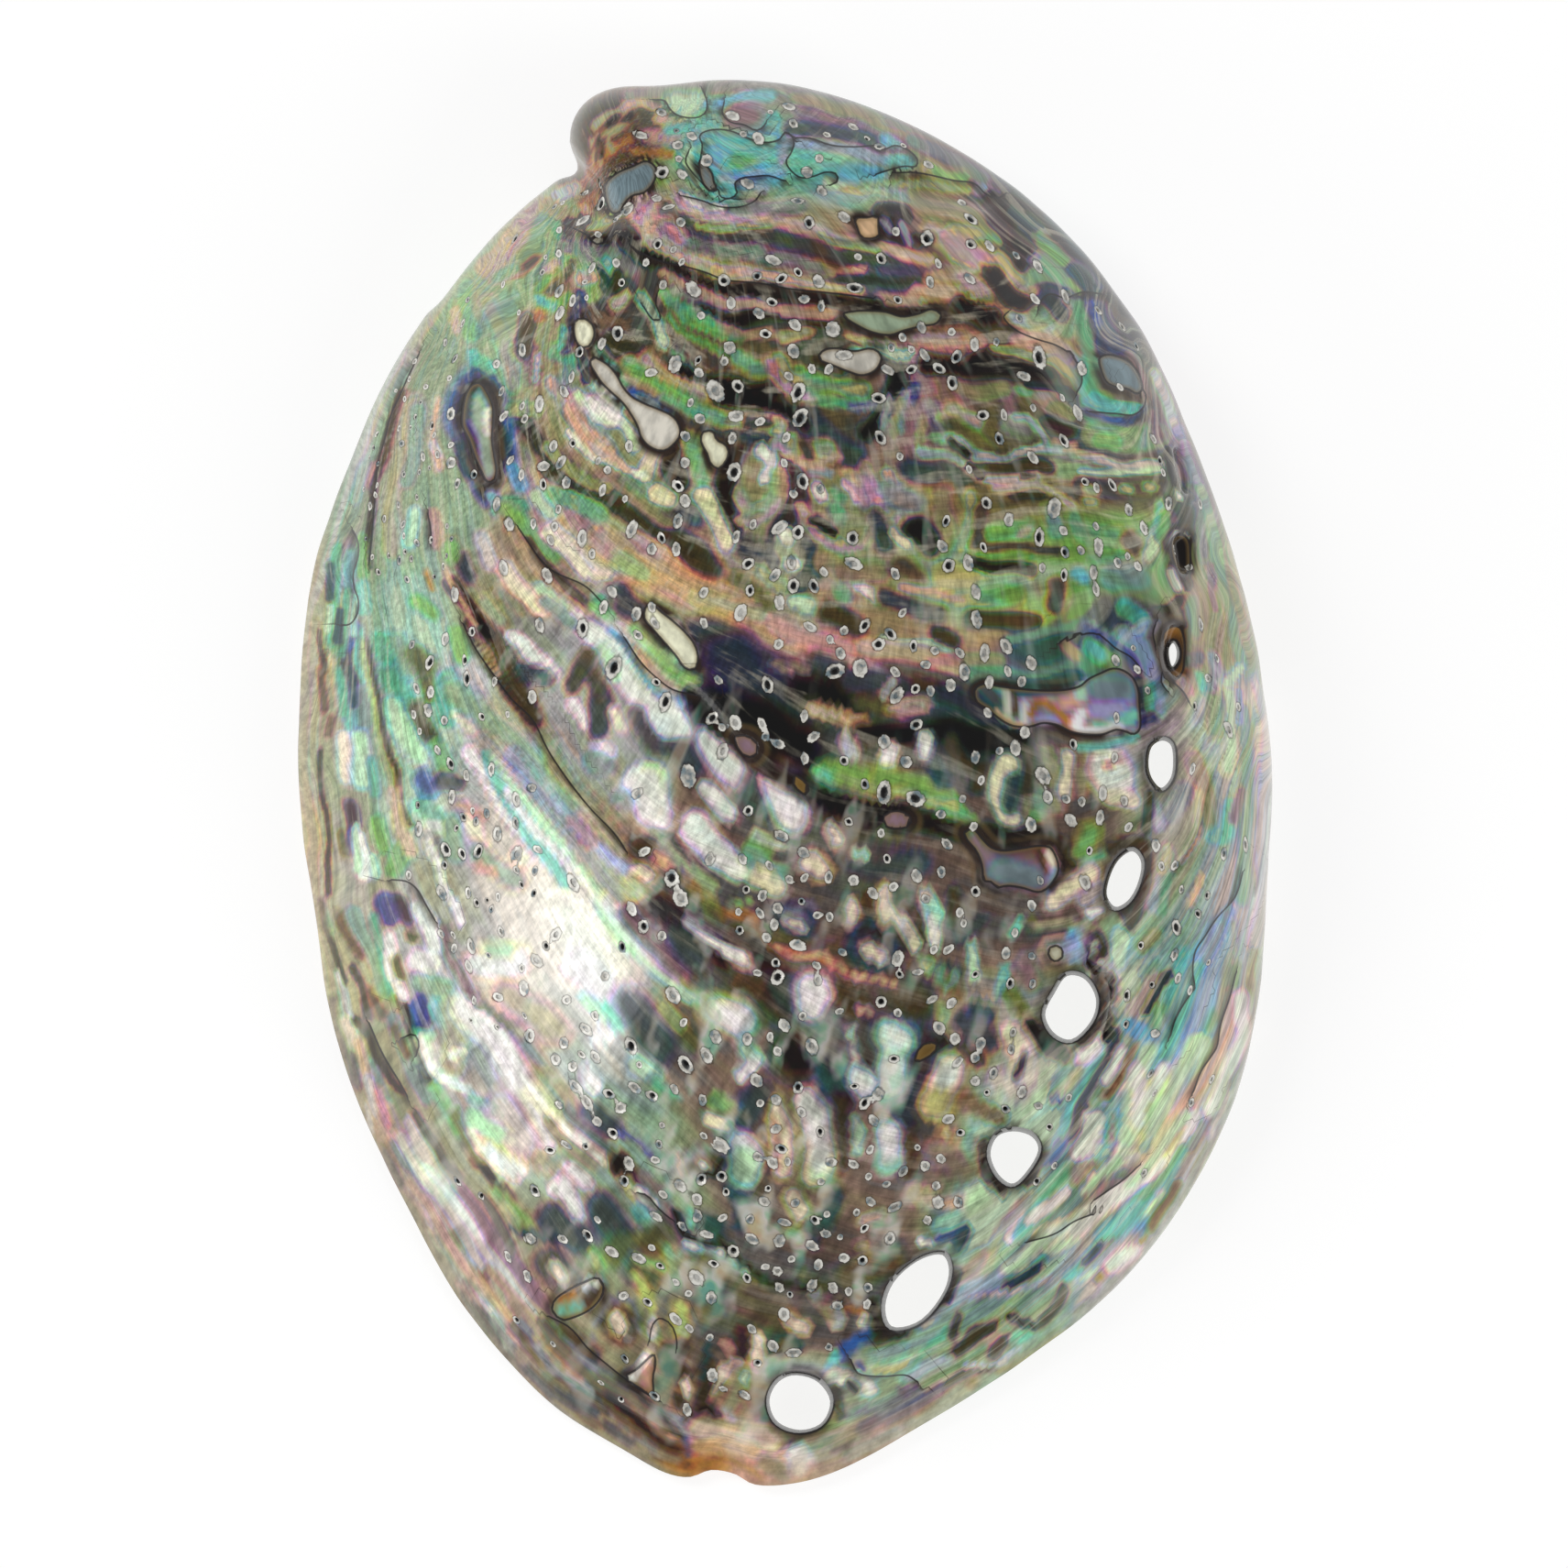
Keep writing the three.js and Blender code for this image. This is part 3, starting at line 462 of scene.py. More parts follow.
    ("pearl", 7, (508, 818, 524, 835, 545, 870, 566, 900)),
    ("aqua", 8, (530, 822, 545, 850, 592, 925, 618, 962)), ("lavender", 9, (560, 822, 655, 925, 690, 950)),
    ("mauve", 9, (622, 888, 640, 912)), ("pearl", 4, (556, 860, 590, 908, 664, 985)),
    ("mint", 3, (538, 825, 606, 912, 680, 1004)),
    ("bark", 4, (508, 680, 520, 705, 562, 764, 586, 790, 602, 820, 622, 848)),
    ("salmon", 6, (516, 688, 548, 736)), ("bark", 10, (522, 682, 545, 710, 582, 782)),
    ("taupe", 9, (592, 800, 618, 840, 672, 908)), ("pearl", 5, (556, 696, 602, 740)),
    ("slate", 9, (572, 735, 592, 746)), ("cream", 9, (512, 892, 520, 918), (566, 928, 572, 936)),
    ("sage", 12, (520, 930, 560, 960), (492, 900, 494, 925)),
    ("salmon", 5, (500, 878, 524, 886), (520, 942, 534, 950)), ("violet", 9, (414, 985, 424, 1002)),
    ("plum", 7, (432, 984, 442, 1000)), ("pearl", 3, (463, 922, 475, 945, 484, 970, 500, 1002)),
    # Left of the middle
    ("pearl", 13, (632, 680, 655, 700, 690, 742, 745, 800)), ("mint", 7, (655, 712, 672, 738)),
    ("sky", 4, (668, 695, 700, 728, 726, 748, 748, 768)), ("peach", 8, (684, 692, 722, 738, 742, 752)),
    ("leaf", 9, (692, 690, 742, 734), (752, 744, 760, 750)), ("slate", 7, (724, 700, 742, 718)),
    ("pearl", 12, (734, 688, 752, 720)), ("navy", 30, (800, 720, 830, 760, 880, 770)),
    ("soot", 18, (780, 770, 830, 785, 870, 810), (880, 760, 930, 765)),
    ("rose", 8, (850, 678, 876, 695, 922, 714)), ("taupe", 6, (850, 725, 862, 732), (870, 728, 880, 732)),
    ("peach", 9, (890, 776, 942, 790)), ("leaf", 18, (900, 845, 930, 850, 962, 860)),
    ("aqua", 8, (888, 846, 898, 850)), ("lime", 5, (905, 862, 930, 868, 958, 878)),
    ("silver", 5, (918, 806, 922, 824)), ("umber", 12, (880, 868, 920, 875, 958, 890)),
    ("plum", 6, (868, 878, 890, 882)), ("pearl", 16, (780, 812, 786, 830, 798, 846)),
    ("slate", 12, (812, 840, 818, 866), (700, 778, 715, 812)), ("cream", 14, (840, 850, 866, 888)),
    ("pearl", 13, (690, 850, 726, 896)), ("pearl", 14, (764, 902, 806, 944)),
    ("pearl", 7, (768, 862, 796, 884), (625, 770, 636, 788), (655, 806, 662, 818)),
    ("slate", 14, (735, 810, 752, 835), (658, 765, 655, 790)),
    ("olive", 10, (640, 735, 655, 752), (622, 750, 640, 720)),
    ("steel", 9, (650, 822, 660, 832), (676, 866, 688, 874)),
    ("fern", 8, (704, 838, 716, 848), (820, 920, 832, 926)),
    ("cream", 8, (904, 900, 910, 912), (700, 950, 712, 958), (672, 775, 680, 790)),
    ("lime", 11, (694, 968, 710, 988)), ("bark", 12, (702, 925, 730, 930), (735, 985, 700, 1000)),
    ("salmon", 7, (722, 935, 732, 942)), ("moss", 9, (750, 955, 780, 985, 802, 1002)),
    ("amber", 4, (756, 958, 780, 976)), ("sage", 6, (715, 905, 780, 962), (822, 936, 850, 946)),
    ("cream", 13, (830, 955, 848, 968), (880, 935, 892, 944)), ("fern", 6, (805, 984, 818, 988)),
    ("steel", 10, (862, 998, 880, 990)), ("silver", 4, (824, 902, 852, 916)),
    # Right of the middle
    ("mint", 4, (962, 700, 985, 703, 1010, 702, 1040, 705)),
    ("peach", 10, (940, 712, 1000, 716, 1050, 728)), ("sand", 11, (1060, 716, 1085, 722)),
    ("bark", 8, (1022, 690, 1040, 694), (1000, 746, 1022, 754)),
    ("rose", 5, (928, 728, 962, 736), (1014, 724, 1042, 714)),
    ("slate", 11, (926, 745, 962, 742, 985, 750)), ("silver", 4, (964, 756, 976, 742)),
    ("moss", 8, (940, 764, 962, 770)), ("peach", 5, (972, 770, 1000, 762, 1018, 765)),
    ("rose", 3, (984, 776, 1010, 771, 1022, 765)), ("navy", 12, (1028, 762, 1072, 786, 1098, 793)),
    ("salmon", 6, (926, 784, 946, 790)), ("soot", 12, (940, 802, 1010, 798, 1060, 804, 1110, 806)),
    ("teal", 14, (1066, 738, 1100, 742, 1150, 738, 1180, 722)),
    ("petrol", 8, (1100, 748, 1140, 746, 1170, 738)), ("leaf", 7, (1190, 712, 1212, 722)),
    ("salmon", 5, (1158, 706, 1172, 716)), ("aqua", 8, (1184, 704, 1196, 712)),
    ("blue", 6, (1180, 688, 1206, 698, 1226, 712, 1238, 726)),
    ("lavender", 8, (1220, 688, 1246, 716, 1256, 736)), ("navy", 5, (1240, 742, 1243, 772)),
    ("teal", 6, (1252, 748, 1254, 768)), ("lavender", 5, (1264, 752, 1266, 775)),
    ("violet", 6, (1246, 786, 1256, 782)), ("slate", 7, (1070, 752, 1082, 766)),
    ("bark", 6, (1104, 756, 1106, 772)), ("silver", 4, (1098, 754, 1097, 778), (1118, 764, 1119, 788)),
    ("peach", 3, (1085, 778, 1100, 786, 1114, 788)), ("steel", 9, (1138, 768, 1155, 776)),
    ("lavender", 5, (1136, 780, 1152, 785)),
    ("amber", 3, (1126, 774, 1134, 762, 1150, 768, 1164, 784, 1172, 797)),
    ("salmon", 5, (1158, 762, 1170, 758)), ("mint", 7, (1174, 752, 1190, 744)),
    ("steel", 14, (1196, 746, 1224, 752)), ("lavender", 9, (1192, 768, 1216, 772)),
    ("aqua", 6, (1196, 788, 1234, 780)), ("pearl", 5, (1176, 772, 1172, 790, 1196, 794, 1216, 790)),
    ("silver", 7, (924, 812, 926, 824)), ("pearl", 8, (1008, 804, 1004, 822), (966, 816, 960, 838)),
    ("bark", 9, (1036, 812, 1058, 830), (1070, 830, 1066, 850)),
    ("leaf", 13, (956, 852, 990, 856, 1028, 862, 1040, 884)), ("lime", 5, (962, 866, 1000, 870, 1040, 872)),
    ("fern", 9, (1030, 888, 1052, 892)), ("petrol", 12, (1020, 836, 1024, 842)),
    ("cream", 11, (1092, 828, 1086, 856, 1092, 886, 1098, 898)), ("petrol", 9, (1099, 848, 1096, 880)),
    ("bark", 7, (1118, 815, 1112, 860)), ("taupe", 9, (1140, 815, 1142, 850), (1128, 872, 1146, 876)),
    ("cream", 8, (1164, 820, 1156, 862)), ("taupe", 7, (1180, 832, 1176, 860)),
    ("pearl", 22, (1206, 826, 1214, 850)), ("salmon", 4, (1208, 828, 1218, 822)),
    ("aqua", 5, (1176, 808, 1234, 802)), ("cream", 9, (1210, 868, 1232, 872)),
    ("leaf", 8, (1128, 888, 1120, 904)),
    ("umber", 10, (1072, 906, 1100, 914, 1136, 914, 1158, 930, 1160, 950, 1148, 972)),
    ("leaf", 13, (1172, 930, 1182, 906)), ("teal", 6, (1176, 944, 1202, 930)),
    ("cream", 12, (1142, 978, 1186, 954)), ("mauve", 6, (1058, 910, 1076, 932)),
    ("steel", 14, (1088, 944, 1120, 950)), ("bark", 4, (1130, 928, 1134, 940)),
    ("cream", 5, (1140, 928, 1144, 942)), ("sky", 5, (1146, 950, 1138, 964)),
    ("slate", 14, (930, 936, 960, 948, 1000, 940)), ("moss", 7, (960, 910, 980, 914)),
    ("cream", 7, (930, 984, 928, 1002), (966, 972, 968, 1000), (1014, 972, 1020, 992)),
    ("bark", 6, (946, 976, 948, 1000), (988, 978, 990, 1002), (1040, 968, 1042, 1000)),
    ("mint", 5, (1020, 982, 1024, 990), (930, 926, 944, 930)),
    # Beyond the upper holes
    ("silver", 9, (1374, 740, 1381, 800, 1379, 960, 1372, 1030)),
    ("sage", 9, (1352, 780, 1360, 920, 1350, 980)), ("mint", 7, (1334, 750, 1340, 800, 1334, 842)),
    ("lavender", 3, (1348, 760, 1350, 792)), ("sage", 10, (1318, 760, 1324, 800)),
    ("aqua", 9, (1342, 878, 1336, 908, 1324, 906)), ("mauve", 5, (1352, 864, 1348, 892)),
    ("lavender", 8, (1336, 1000, 1322, 1060)), ("taupe", 9, (1298, 830, 1318, 892)),
    ("peach", 4, (1300, 868, 1306, 890, 1309, 905, 1298, 926, 1288, 936)),
    ("steel", 10, (1286, 866, 1274, 882)), ("lavender", 7, (1254, 880, 1262, 896)),
    # The bark stroke of this line is painted shade beside a hole.
    ("bark", 5, (1250, 868, 1246, 902)), ("sage", 9, (1270, 930, 1262, 982)),
    ("lavender", 5, (1266, 956, 1260, 988)), ("teal", 5, (1276, 952, 1270, 992)),
    ("peach", 3, (1270, 922, 1268, 946), (1308, 956, 1300, 985)),
    # The bark stroke of this line is painted shade beside a hole.
    ("bark", 7, (1248, 936, 1243, 985, 1232, 1010)), ("mint", 10, (1224, 1018, 1217, 1052)),
    ("taupe", 9, (1262, 1016, 1250, 1030)), ("aqua", 7, (1294, 1040, 1284, 1060)),
    ("sky", 7, (1314, 1036, 1308, 1060)), ("sand", 4, (1346, 1010, 1340, 1055)),
    ("silver", 8, (1180, 980, 1195, 966)),
    # Lower left
    ("taupe", 5, (346, 990, 352, 1030, 361, 1072)),
    ("bark", 3, (354, 990, 359, 1030, 371, 1066), (380, 1050, 394, 1080, 402, 1112)),
    ("tobacco", 4, (372, 1000, 378, 1020, 389, 1036), (402, 1078, 417, 1112)),
    ("slate", 7, (362, 1084, 388, 1182)), ("silver", 2, (362, 1052, 371, 1078, 386, 1112, 400, 1160)),
    ("sage", 7, (388, 1000, 415, 1080)), ("cream", 6, (381, 1112, 389, 1146)),
    ("bark", 3, (390, 1112, 420, 1166, 440, 1188)),
    ("steel", 6, (402, 1160, 420, 1190, 432, 1222, 441, 1256, 450, 1278),
     (428, 1112, 446, 1150, 466, 1198)), ("pearl", 3, (401, 1206, 407, 1238)),
    ("moss", 4, (419, 1246, 430, 1268)), ("sand", 6, (424, 1205, 436, 1240)),
    ("silver", 8, (452, 1222, 482, 1284, 500, 1310)), ("tobacco", 4, (432, 1126, 448, 1156)),
    ("bark", 3, (455, 1214, 502, 1278)), ("teal", 5, (405, 1000, 412, 1040, 424, 1082)),
    ("leaf", 4, (428, 1090, 446, 1112), (468, 1178, 486, 1202, 504, 1232)),
    ("umber", 5, (436, 1088, 450, 1114, 462, 1144, 470, 1176), (524, 1262, 556, 1300)),
    ("pearl", 7, (421, 1022, 423, 1048, 441, 1088)),
    ("moss", 5, (498, 1214, 526, 1262), (430, 1042, 438, 1062), (446, 1018, 452, 1022)),
    ("pearl", 9, (454, 990, 472, 1012, 480, 1034)), ("pearl", 11, (456, 1046, 476, 1050)),
    ("sage", 11, (458, 1072, 494, 1082)), ("blue", 7, (456, 1098, 461, 1120)),
    ("violet", 8, (465, 1092, 469, 1116)), ("sky", 8, (482, 1100, 491, 1110)),
    ("aqua", 4, (460, 1128, 474, 1130)), ("sand", 14, (500, 1100, 506, 1130, 496, 1162)),
    ("pearl", 5, (465, 1136, 473, 1166, 484, 1178, 512, 1190)), ("aqua", 6, (516, 1196, 534, 1200)),
    # Pearl and silver strokes here, on the left side between rows 1040 and 1240, lie in a broad pale patch:
    # partly the nacre's own colour and partly a painted highlight.
    ("pearl", 15, (515, 1100, 545, 1135, 590, 1206, 602, 1236)), ("silver", 20, (556, 1205, 572, 1240)),
    ("mint", 12, (522, 1216, 545, 1232)), ("pearl", 10, (535, 1252, 562, 1270)),
    ("cream", 4, (518, 1230, 526, 1250)), ("taupe", 6, (530, 1098, 560, 1120, 585, 1150, 628, 1202)),
    ("steel", 3, (574, 1138, 592, 1156)), ("cream", 3, (578, 1183, 600, 1210, 613, 1228)),
    ("taupe", 4, (598, 1214, 611, 1236, 631, 1256, 652, 1272)),
    ("steel", 6, (618, 1200, 645, 1230, 670, 1264)), ("pearl", 3, (614, 1224, 635, 1240, 667, 1270)),
    ("taupe", 11, (590, 1262, 616, 1272)), ("pearl", 7, (628, 1276, 642, 1288), (606, 1292, 620, 1298)),
    ("pearl", 14, (530, 1048, 572, 1040), (630, 1050, 660, 1075)),
    ("mint", 7, (538, 1030, 562, 1028), (640, 1088, 660, 1104)), ("aqua", 6, (664, 1098, 674, 1120)),
    ("mauve", 5, (484, 1008, 500, 1050, 522, 1088)), ("sand", 18, (560, 1080, 602, 1124)),
    ("pearl", 8, (636, 1166, 644, 1176), (650, 1130, 662, 1128)), ("slate", 15, (644, 1206, 668, 1226)),
    # Middle and below
    ("mint", 7, (650, 984, 676, 1015, 702, 1038, 728, 1064, 754, 1086)),
    ("pearl", 6, (664, 984, 742, 1062)), ("mauve", 12, (692, 1000, 744, 1052)),
    ("umber", 14, (724, 990, 762, 1012, 792, 1034), (810, 1004, 842, 1048)),
    ("moss", 8, (776, 985, 832, 1010)),
    ("amber", 5, (790, 988, 828, 1004, 842, 1024, 868, 1036, 896, 1044, 916, 1058, 940, 1062)),
    ("pink", 3, (902, 1050, 930, 1061, 962, 1066)), ("pearl", 5, (754, 999, 813, 1046, 820, 1055)),
    ("bark", 26, (820, 1078, 930, 1090), (870, 1130, 860, 1160)),
    ("tobacco", 8, (838, 1010, 852, 1024, 880, 1026)), ("petrol", 9, (934, 1012, 948, 1004)),
    ("cream", 12, (885, 1076, 894, 1088)), ("pearl", 11, (782, 1106, 802, 1114)),
    ("moss", 12, (800, 1090, 830, 1100), (740, 1110, 756, 1140)), ("lime", 8, (724, 1096, 742, 1120)),
    ("slate", 20, (694, 1096, 716, 1136)), ("mint", 9, (812, 1138, 822, 1152), (694, 1156, 716, 1166)),
    ("pearl", 8, (806, 1172, 820, 1156)), ("teal", 6, (716, 1174, 736, 1190)),
    ("teal", 7, (888, 1160, 893, 1188), (884, 1142, 896, 1146)), ("mint", 4, (930, 1120, 934, 1140)),
    ("pearl", 11, (876, 1204, 887, 1236, 885, 1275)), ("cream", 9, (842, 1206, 850, 1240, 849, 1268)),
    ("peach", 4, (839, 1222, 842, 1260)), ("bark", 8, (826, 1262, 826, 1290)),
    ("mint", 8, (926, 1214, 930, 1250)), ("petrol", 10, (810, 1198, 815, 1220), (790, 1232, 802, 1240)),
    ("teal", 9, (812, 1246, 812, 1292)), ("cream", 7, (770, 1212, 792, 1226)),
    ("fern", 7, (776, 1190, 798, 1206)), ("blue", 5, (680, 1234, 714, 1262)),
    ("steel", 6, (700, 1240, 722, 1262, 738, 1290)), ("peach", 4, (742, 1258, 746, 1278)),
    ("umber", 9, (676, 1268, 692, 1292)),
    # Between the lower holes and the middle
    ("bark", 5, (974, 1008, 986, 1024), (1006, 996, 1004, 1020)),
    ("cream", 6, (970, 986, 988, 1004, 996, 1026)), ("pearl", 7, (1016, 1000, 1020, 1022)),
    ("mint", 6, (1018, 982, 1022, 992)), ("slate", 9, (1050, 1012, 1072, 1002)),
    ("tobacco", 8, (1018, 1072, 1046, 1080), (988, 1050, 1000, 1070)),
    ("lime", 6, (1006, 1044, 1012, 1050), (1018, 1092, 1025, 1106)),
    ("petrol", 4, (1024, 1052, 1034, 1048, 1046, 1058)), ("moss", 6, (1030, 1066, 1040, 1070)),
    ("mint", 5, (1059, 1028, 1063, 1062)), ("aqua", 6, (1096, 1058, 1090, 1082), (1106, 998, 1101, 1016)),
    ("moss", 7, (1098, 1084, 1116, 1100), (1118, 998, 1124, 1014)), ("slate", 13, (1050, 1108, 1080, 1130)),
    ("petrol", 8, (1064, 1094, 1078, 1104)), ("pink", 4, (936, 1096, 946, 1099)),
    ("mint", 11, (970, 1122, 976, 1150, 974, 1182)), ("mint", 6, (928, 1160, 942, 1180)),
    ("cream", 6, (936, 1150, 946, 1144)), ("umber", 9, (998, 1156, 1008, 1132, 1026, 1134)),
    ("cream", 12, (1031, 1158, 1030, 1182, 1018, 1206)),
    ("bark", 10, (1046, 1138, 1064, 1150), (990, 1248, 986, 1276)),
    ("tobacco", 10, (1054, 1200, 1084, 1214)), ("silver", 11, (1086, 1172, 1102, 1184)),
    ("cream", 11, (1100, 1126, 1112, 1144)), ("mauve", 12, (1118, 1052, 1126, 1078)),
    ("sky", 9, (1168, 1018, 1164, 1044)), ("cream", 5, (1147, 1036, 1152, 1038)),
    ("taupe", 4, (1126, 1010, 1150, 1004, 1190, 1012)), ("pearl", 5, (1186, 996, 1194, 992)),
    ("bark", 8, (1194, 1026, 1206, 1080)),
    ("silver", 5, (1184, 1032, 1190, 1052, 1202, 1060, 1216, 1072, 1218, 1096, 1207, 1138)),
    ("soot", 2, (1185, 1034, 1191, 1056, 1203, 1062, 1216, 1076, 1217, 1096, 1207, 1136)),
    ("bark", 6, (1130, 1124, 1150, 1148, 1168, 1156)), ("silver", 6, (1124, 1150, 1118, 1172)),
    ("plum", 2, (1106, 1170, 1116, 1150)), ("sage", 9, (1150, 1182, 1172, 1160)),
    ("blue", 5, (1146, 1195, 1156, 1200)), ("cream", 3, (1063, 1244, 1061, 1266)),
    ("mint", 7, (968, 1232, 973, 1268), (930, 1226, 932, 1236)),
    ("peach", 5, (962, 1210, 972, 1212), (1026, 1234, 1036, 1240)), ("taupe", 14, (1018, 1258, 1046, 1278)),
    # Right edge
    ("taupe", 4, (1371, 1040, 1361, 1120, 1350, 1170, 1330, 1230, 1310, 1270, 1285, 1310)),
    ("silver", 3, (1356, 1104, 1350, 1150, 1338, 1200, 1324, 1240)),
    ("sage", 6, (1352, 1058, 1346, 1100, 1340, 1120)), ("sand", 4, (1342, 1042, 1336, 1078, 1328, 1110)),
    ("peach", 7, (1338, 1126, 1332, 1158, 1300, 1210)), ("sky", 8, (1302, 1082, 1296, 1114, 1284, 1146)),
    ("leaf", 7, (1318, 1106, 1306, 1136, 1300, 1170)), ("aqua", 7, (1291, 1044, 1279, 1100)),
    ("navy", 6, (1276, 1060, 1249, 1102)), ("peach", 5, (1259, 1064, 1237, 1107)),
    ("sage", 5, (1262, 1046, 1248, 1060)), ("sky", 9, (1234, 1122, 1252, 1134)),
    ("fern", 6, (1268, 1100, 1262, 1122)), ("pearl", 6, (1242, 1158, 1229, 1184, 1215, 1206)),
    ("tobacco", 5, (1240, 1148, 1211, 1198)),
    ("slate", 8, (1214, 1128, 1210, 1158, 1180, 1206, 1164, 1236)), ("bark", 5, (1185, 1212, 1172, 1232)),
    ("aqua", 4, (1206, 1138, 1196, 1164, 1165, 1215, 1150, 1246)), ("sand", 5, (1192, 1138, 1168, 1188)),
    ("blue", 6, (1152, 1246, 1146, 1266)), ("pearl", 8, (1184, 1250, 1200, 1224), (1196, 1142, 1186, 1156)),
    ("pearl", 10, (1234, 1228, 1246, 1206)), ("aqua", 6, (1206, 1240, 1215, 1214, 1232, 1194)),
    ("mauve", 4, (1211, 1242, 1219, 1218)), ("mint", 6, (1280, 1170, 1270, 1186)),
    ("pearl", 5, (1306, 1214, 1291, 1240, 1266, 1266)), ("fern", 5, (1288, 1248, 1266, 1275, 1244, 1296)),
    ("aqua", 3, (1302, 1238, 1286, 1264, 1268, 1288)), ("sand", 4, (1316, 1224, 1301, 1250)),
    ("pearl", 11, (1222, 1250, 1234, 1266)), ("mint", 8, (1200, 1250, 1184, 1258)),
    ("teal", 8, (1166, 1278, 1146, 1296, 1130, 1322)), ("taupe", 12, (1178, 1276, 1186, 1296)),
    ("cream", 4, (1184, 1282, 1187, 1294)), ("pearl", 7, (1216, 1290, 1196, 1312, 1170, 1332, 1140, 1348)),
    ("teal", 8, (1244, 1298, 1206, 1344)), ("mint", 4, (1268, 1298, 1250, 1322)),
    ("sky", 5, (1236, 1336, 1244, 1332)), ("tobacco", 6, (1282, 1290, 1266, 1315, 1250, 1336)),
    ("bark", 5, (1152, 1308, 1138, 1326)),
    # The lip
    ("pearl", 11, (470, 1282, 520, 1346)), ("silver", 7, (520, 1350, 545, 1376, 562, 1398, 590, 1430)),
    ("peach", 7, (440, 1286, 455, 1310, 466, 1336, 480, 1356)),
    ("cream", 2, (443, 1288, 454, 1306, 462, 1334)), ("sand", 10, (482, 1345, 512, 1384, 542, 1418)),
    ("moss", 4, (488, 1342, 502, 1356), (514, 1380, 532, 1400)),
    ("salmon", 4, (498, 1368, 520, 1395, 546, 1422, 566, 1448)),
    ("slate", 7, (510, 1416, 526, 1440, 542, 1458, 556, 1478)),
    ("pearl", 2, (524, 1419, 541, 1436, 552, 1452, 554, 1466)), ("pink", 6, (558, 1450, 570, 1456)),
    ("steel", 4, (572, 1442, 580, 1452)), ("mauve", 7, (496, 1290, 545, 1352, 584, 1412, 604, 1434)),
    ("bark", 4, (528, 1302, 545, 1330, 562, 1362)), ("leaf", 8, (542, 1294, 590, 1336)),
    ("petrol", 5, (560, 1330, 586, 1342, 604, 1346)), ("lime", 4, (552, 1306, 566, 1326)),
    ("slate", 16, (600, 1322, 632, 1346), (655, 1312, 672, 1342)), ("lime", 7, (684, 1288, 692, 1306)),
    ("aqua", 8, (698, 1322, 706, 1336)), ("mauve", 6, (700, 1284, 722, 1302, 736, 1330, 750, 1350)),
    # A painted highlight on the mauve band.
    ("pearl", 3, (697, 1300, 713, 1316)),
    ("moss", 20, (676, 1362, 724, 1352), (704, 1384, 712, 1390), (770, 1388, 800, 1396)),
    ("bark", 16, (600, 1376, 612, 1392)), ("bark", 19, (668, 1436, 680, 1448)),
    ("cream", 9, (604, 1380, 608, 1386), (672, 1436, 676, 1448)),
    ("steel", 3, (646, 1450, 660, 1420, 682, 1414, 698, 1430, 696, 1452)),
    ("lime", 5, (644, 1362, 651, 1382), (698, 1392, 706, 1404, 716, 1424)),
    ("fern", 6, (698, 1374, 726, 1386), (728, 1362, 736, 1372)), ("bark", 7, (636, 1420, 650, 1404)),
    ("aqua", 5, (608, 1428, 628, 1420)), ("pearl", 4, (636, 1400, 652, 1395)),
    # The second line of the bark stroke here is painted shade below the raised wedge.
    ("bark", 12, (616, 1450, 642, 1472), (735, 1470, 730, 1490)), ("silver", 6, (718, 1444, 713, 1458)),
    ("taupe", 6, (728, 1448, 730, 1462)), ("lime", 7, (744, 1430, 741, 1454)),
    ("salmon", 6, (706, 1492, 706, 1510)), ("pearl", 4, (686, 1501, 706, 1484)),
    ("tobacco", 5, (598, 1456, 630, 1482, 662, 1512, 692, 1536)),
    ("steel", 5, (600, 1448, 710, 1532, 744, 1546, 756, 1564),
     (756, 1364, 776, 1368, 797, 1376, 812, 1390)),
    ("amber", 3, (608, 1412, 622, 1406), (620, 1484, 650, 1506, 676, 1532)),
    ("umber", 3, (700, 1530, 722, 1550, 744, 1560), (716, 1588, 750, 1598)),
    ("navy", 6, (592, 1494, 612, 1520, 644, 1542), (666, 1556, 690, 1574)),
    ("steel", 7, (600, 1530, 640, 1562, 680, 1588, 720, 1606, 748, 1612)),
    ("cream", 2, (716, 1552, 734, 1566)), ("tobacco", 7, (722, 1562, 742, 1588)),
    ("blue", 5, (752, 1582, 753, 1568)),
    ("pearl", 2, (754, 1361, 776, 1363, 798, 1371, 816, 1388, 826, 1396)),
    ("umber", 3,
     (740, 1325, 752, 1346, 770, 1358, 790, 1358, 812, 1378, 832, 1396, 850, 1404, 880, 1404, 922, 1415)),
    ("petrol", 9, (768, 1334, 784, 1340)),
    ("petrol", 8, (806, 1292, 814, 1312, 812, 1336), (912, 1296, 900, 1330)),
    ("cream", 9, (866, 1300, 877, 1322)), ("fern", 7, (866, 1340, 876, 1346), (822, 1330, 826, 1340)),
    ("slate", 7, (884, 1328, 888, 1350)), ("peach", 6, (940, 1326, 962, 1322), (938, 1352, 952, 1360)),
    ("peach", 10, (996, 1300, 1032, 1312)), ("tobacco", 22, (930, 1386, 970, 1374), (820, 1416, 850, 1428)),
    ("moss", 8, (880, 1388, 900, 1394)),
    ("silver", 1, (884, 1404, 900, 1436), (892, 1403, 908, 1440), (900, 1405, 916, 1442),
     (908, 1408, 921, 1438)), ("cream", 4, (944, 1428, 958, 1428), (944, 1438, 956, 1440)),
    ("cream", 7, (862, 1436, 876, 1444)),
    ("petrol", 8, (782, 1402, 788, 1430), (834, 1464, 846, 1454, 868, 1462)),
    ("tobacco", 9, (768, 1434, 776, 1428), (846, 1470, 852, 1466)), ("cream", 7, (822, 1456, 820, 1482)),
    ("pink", 4, (784, 1466, 792, 1474), (813, 1484, 820, 1494)), ("plum", 7, (806, 1454, 803, 1478)),
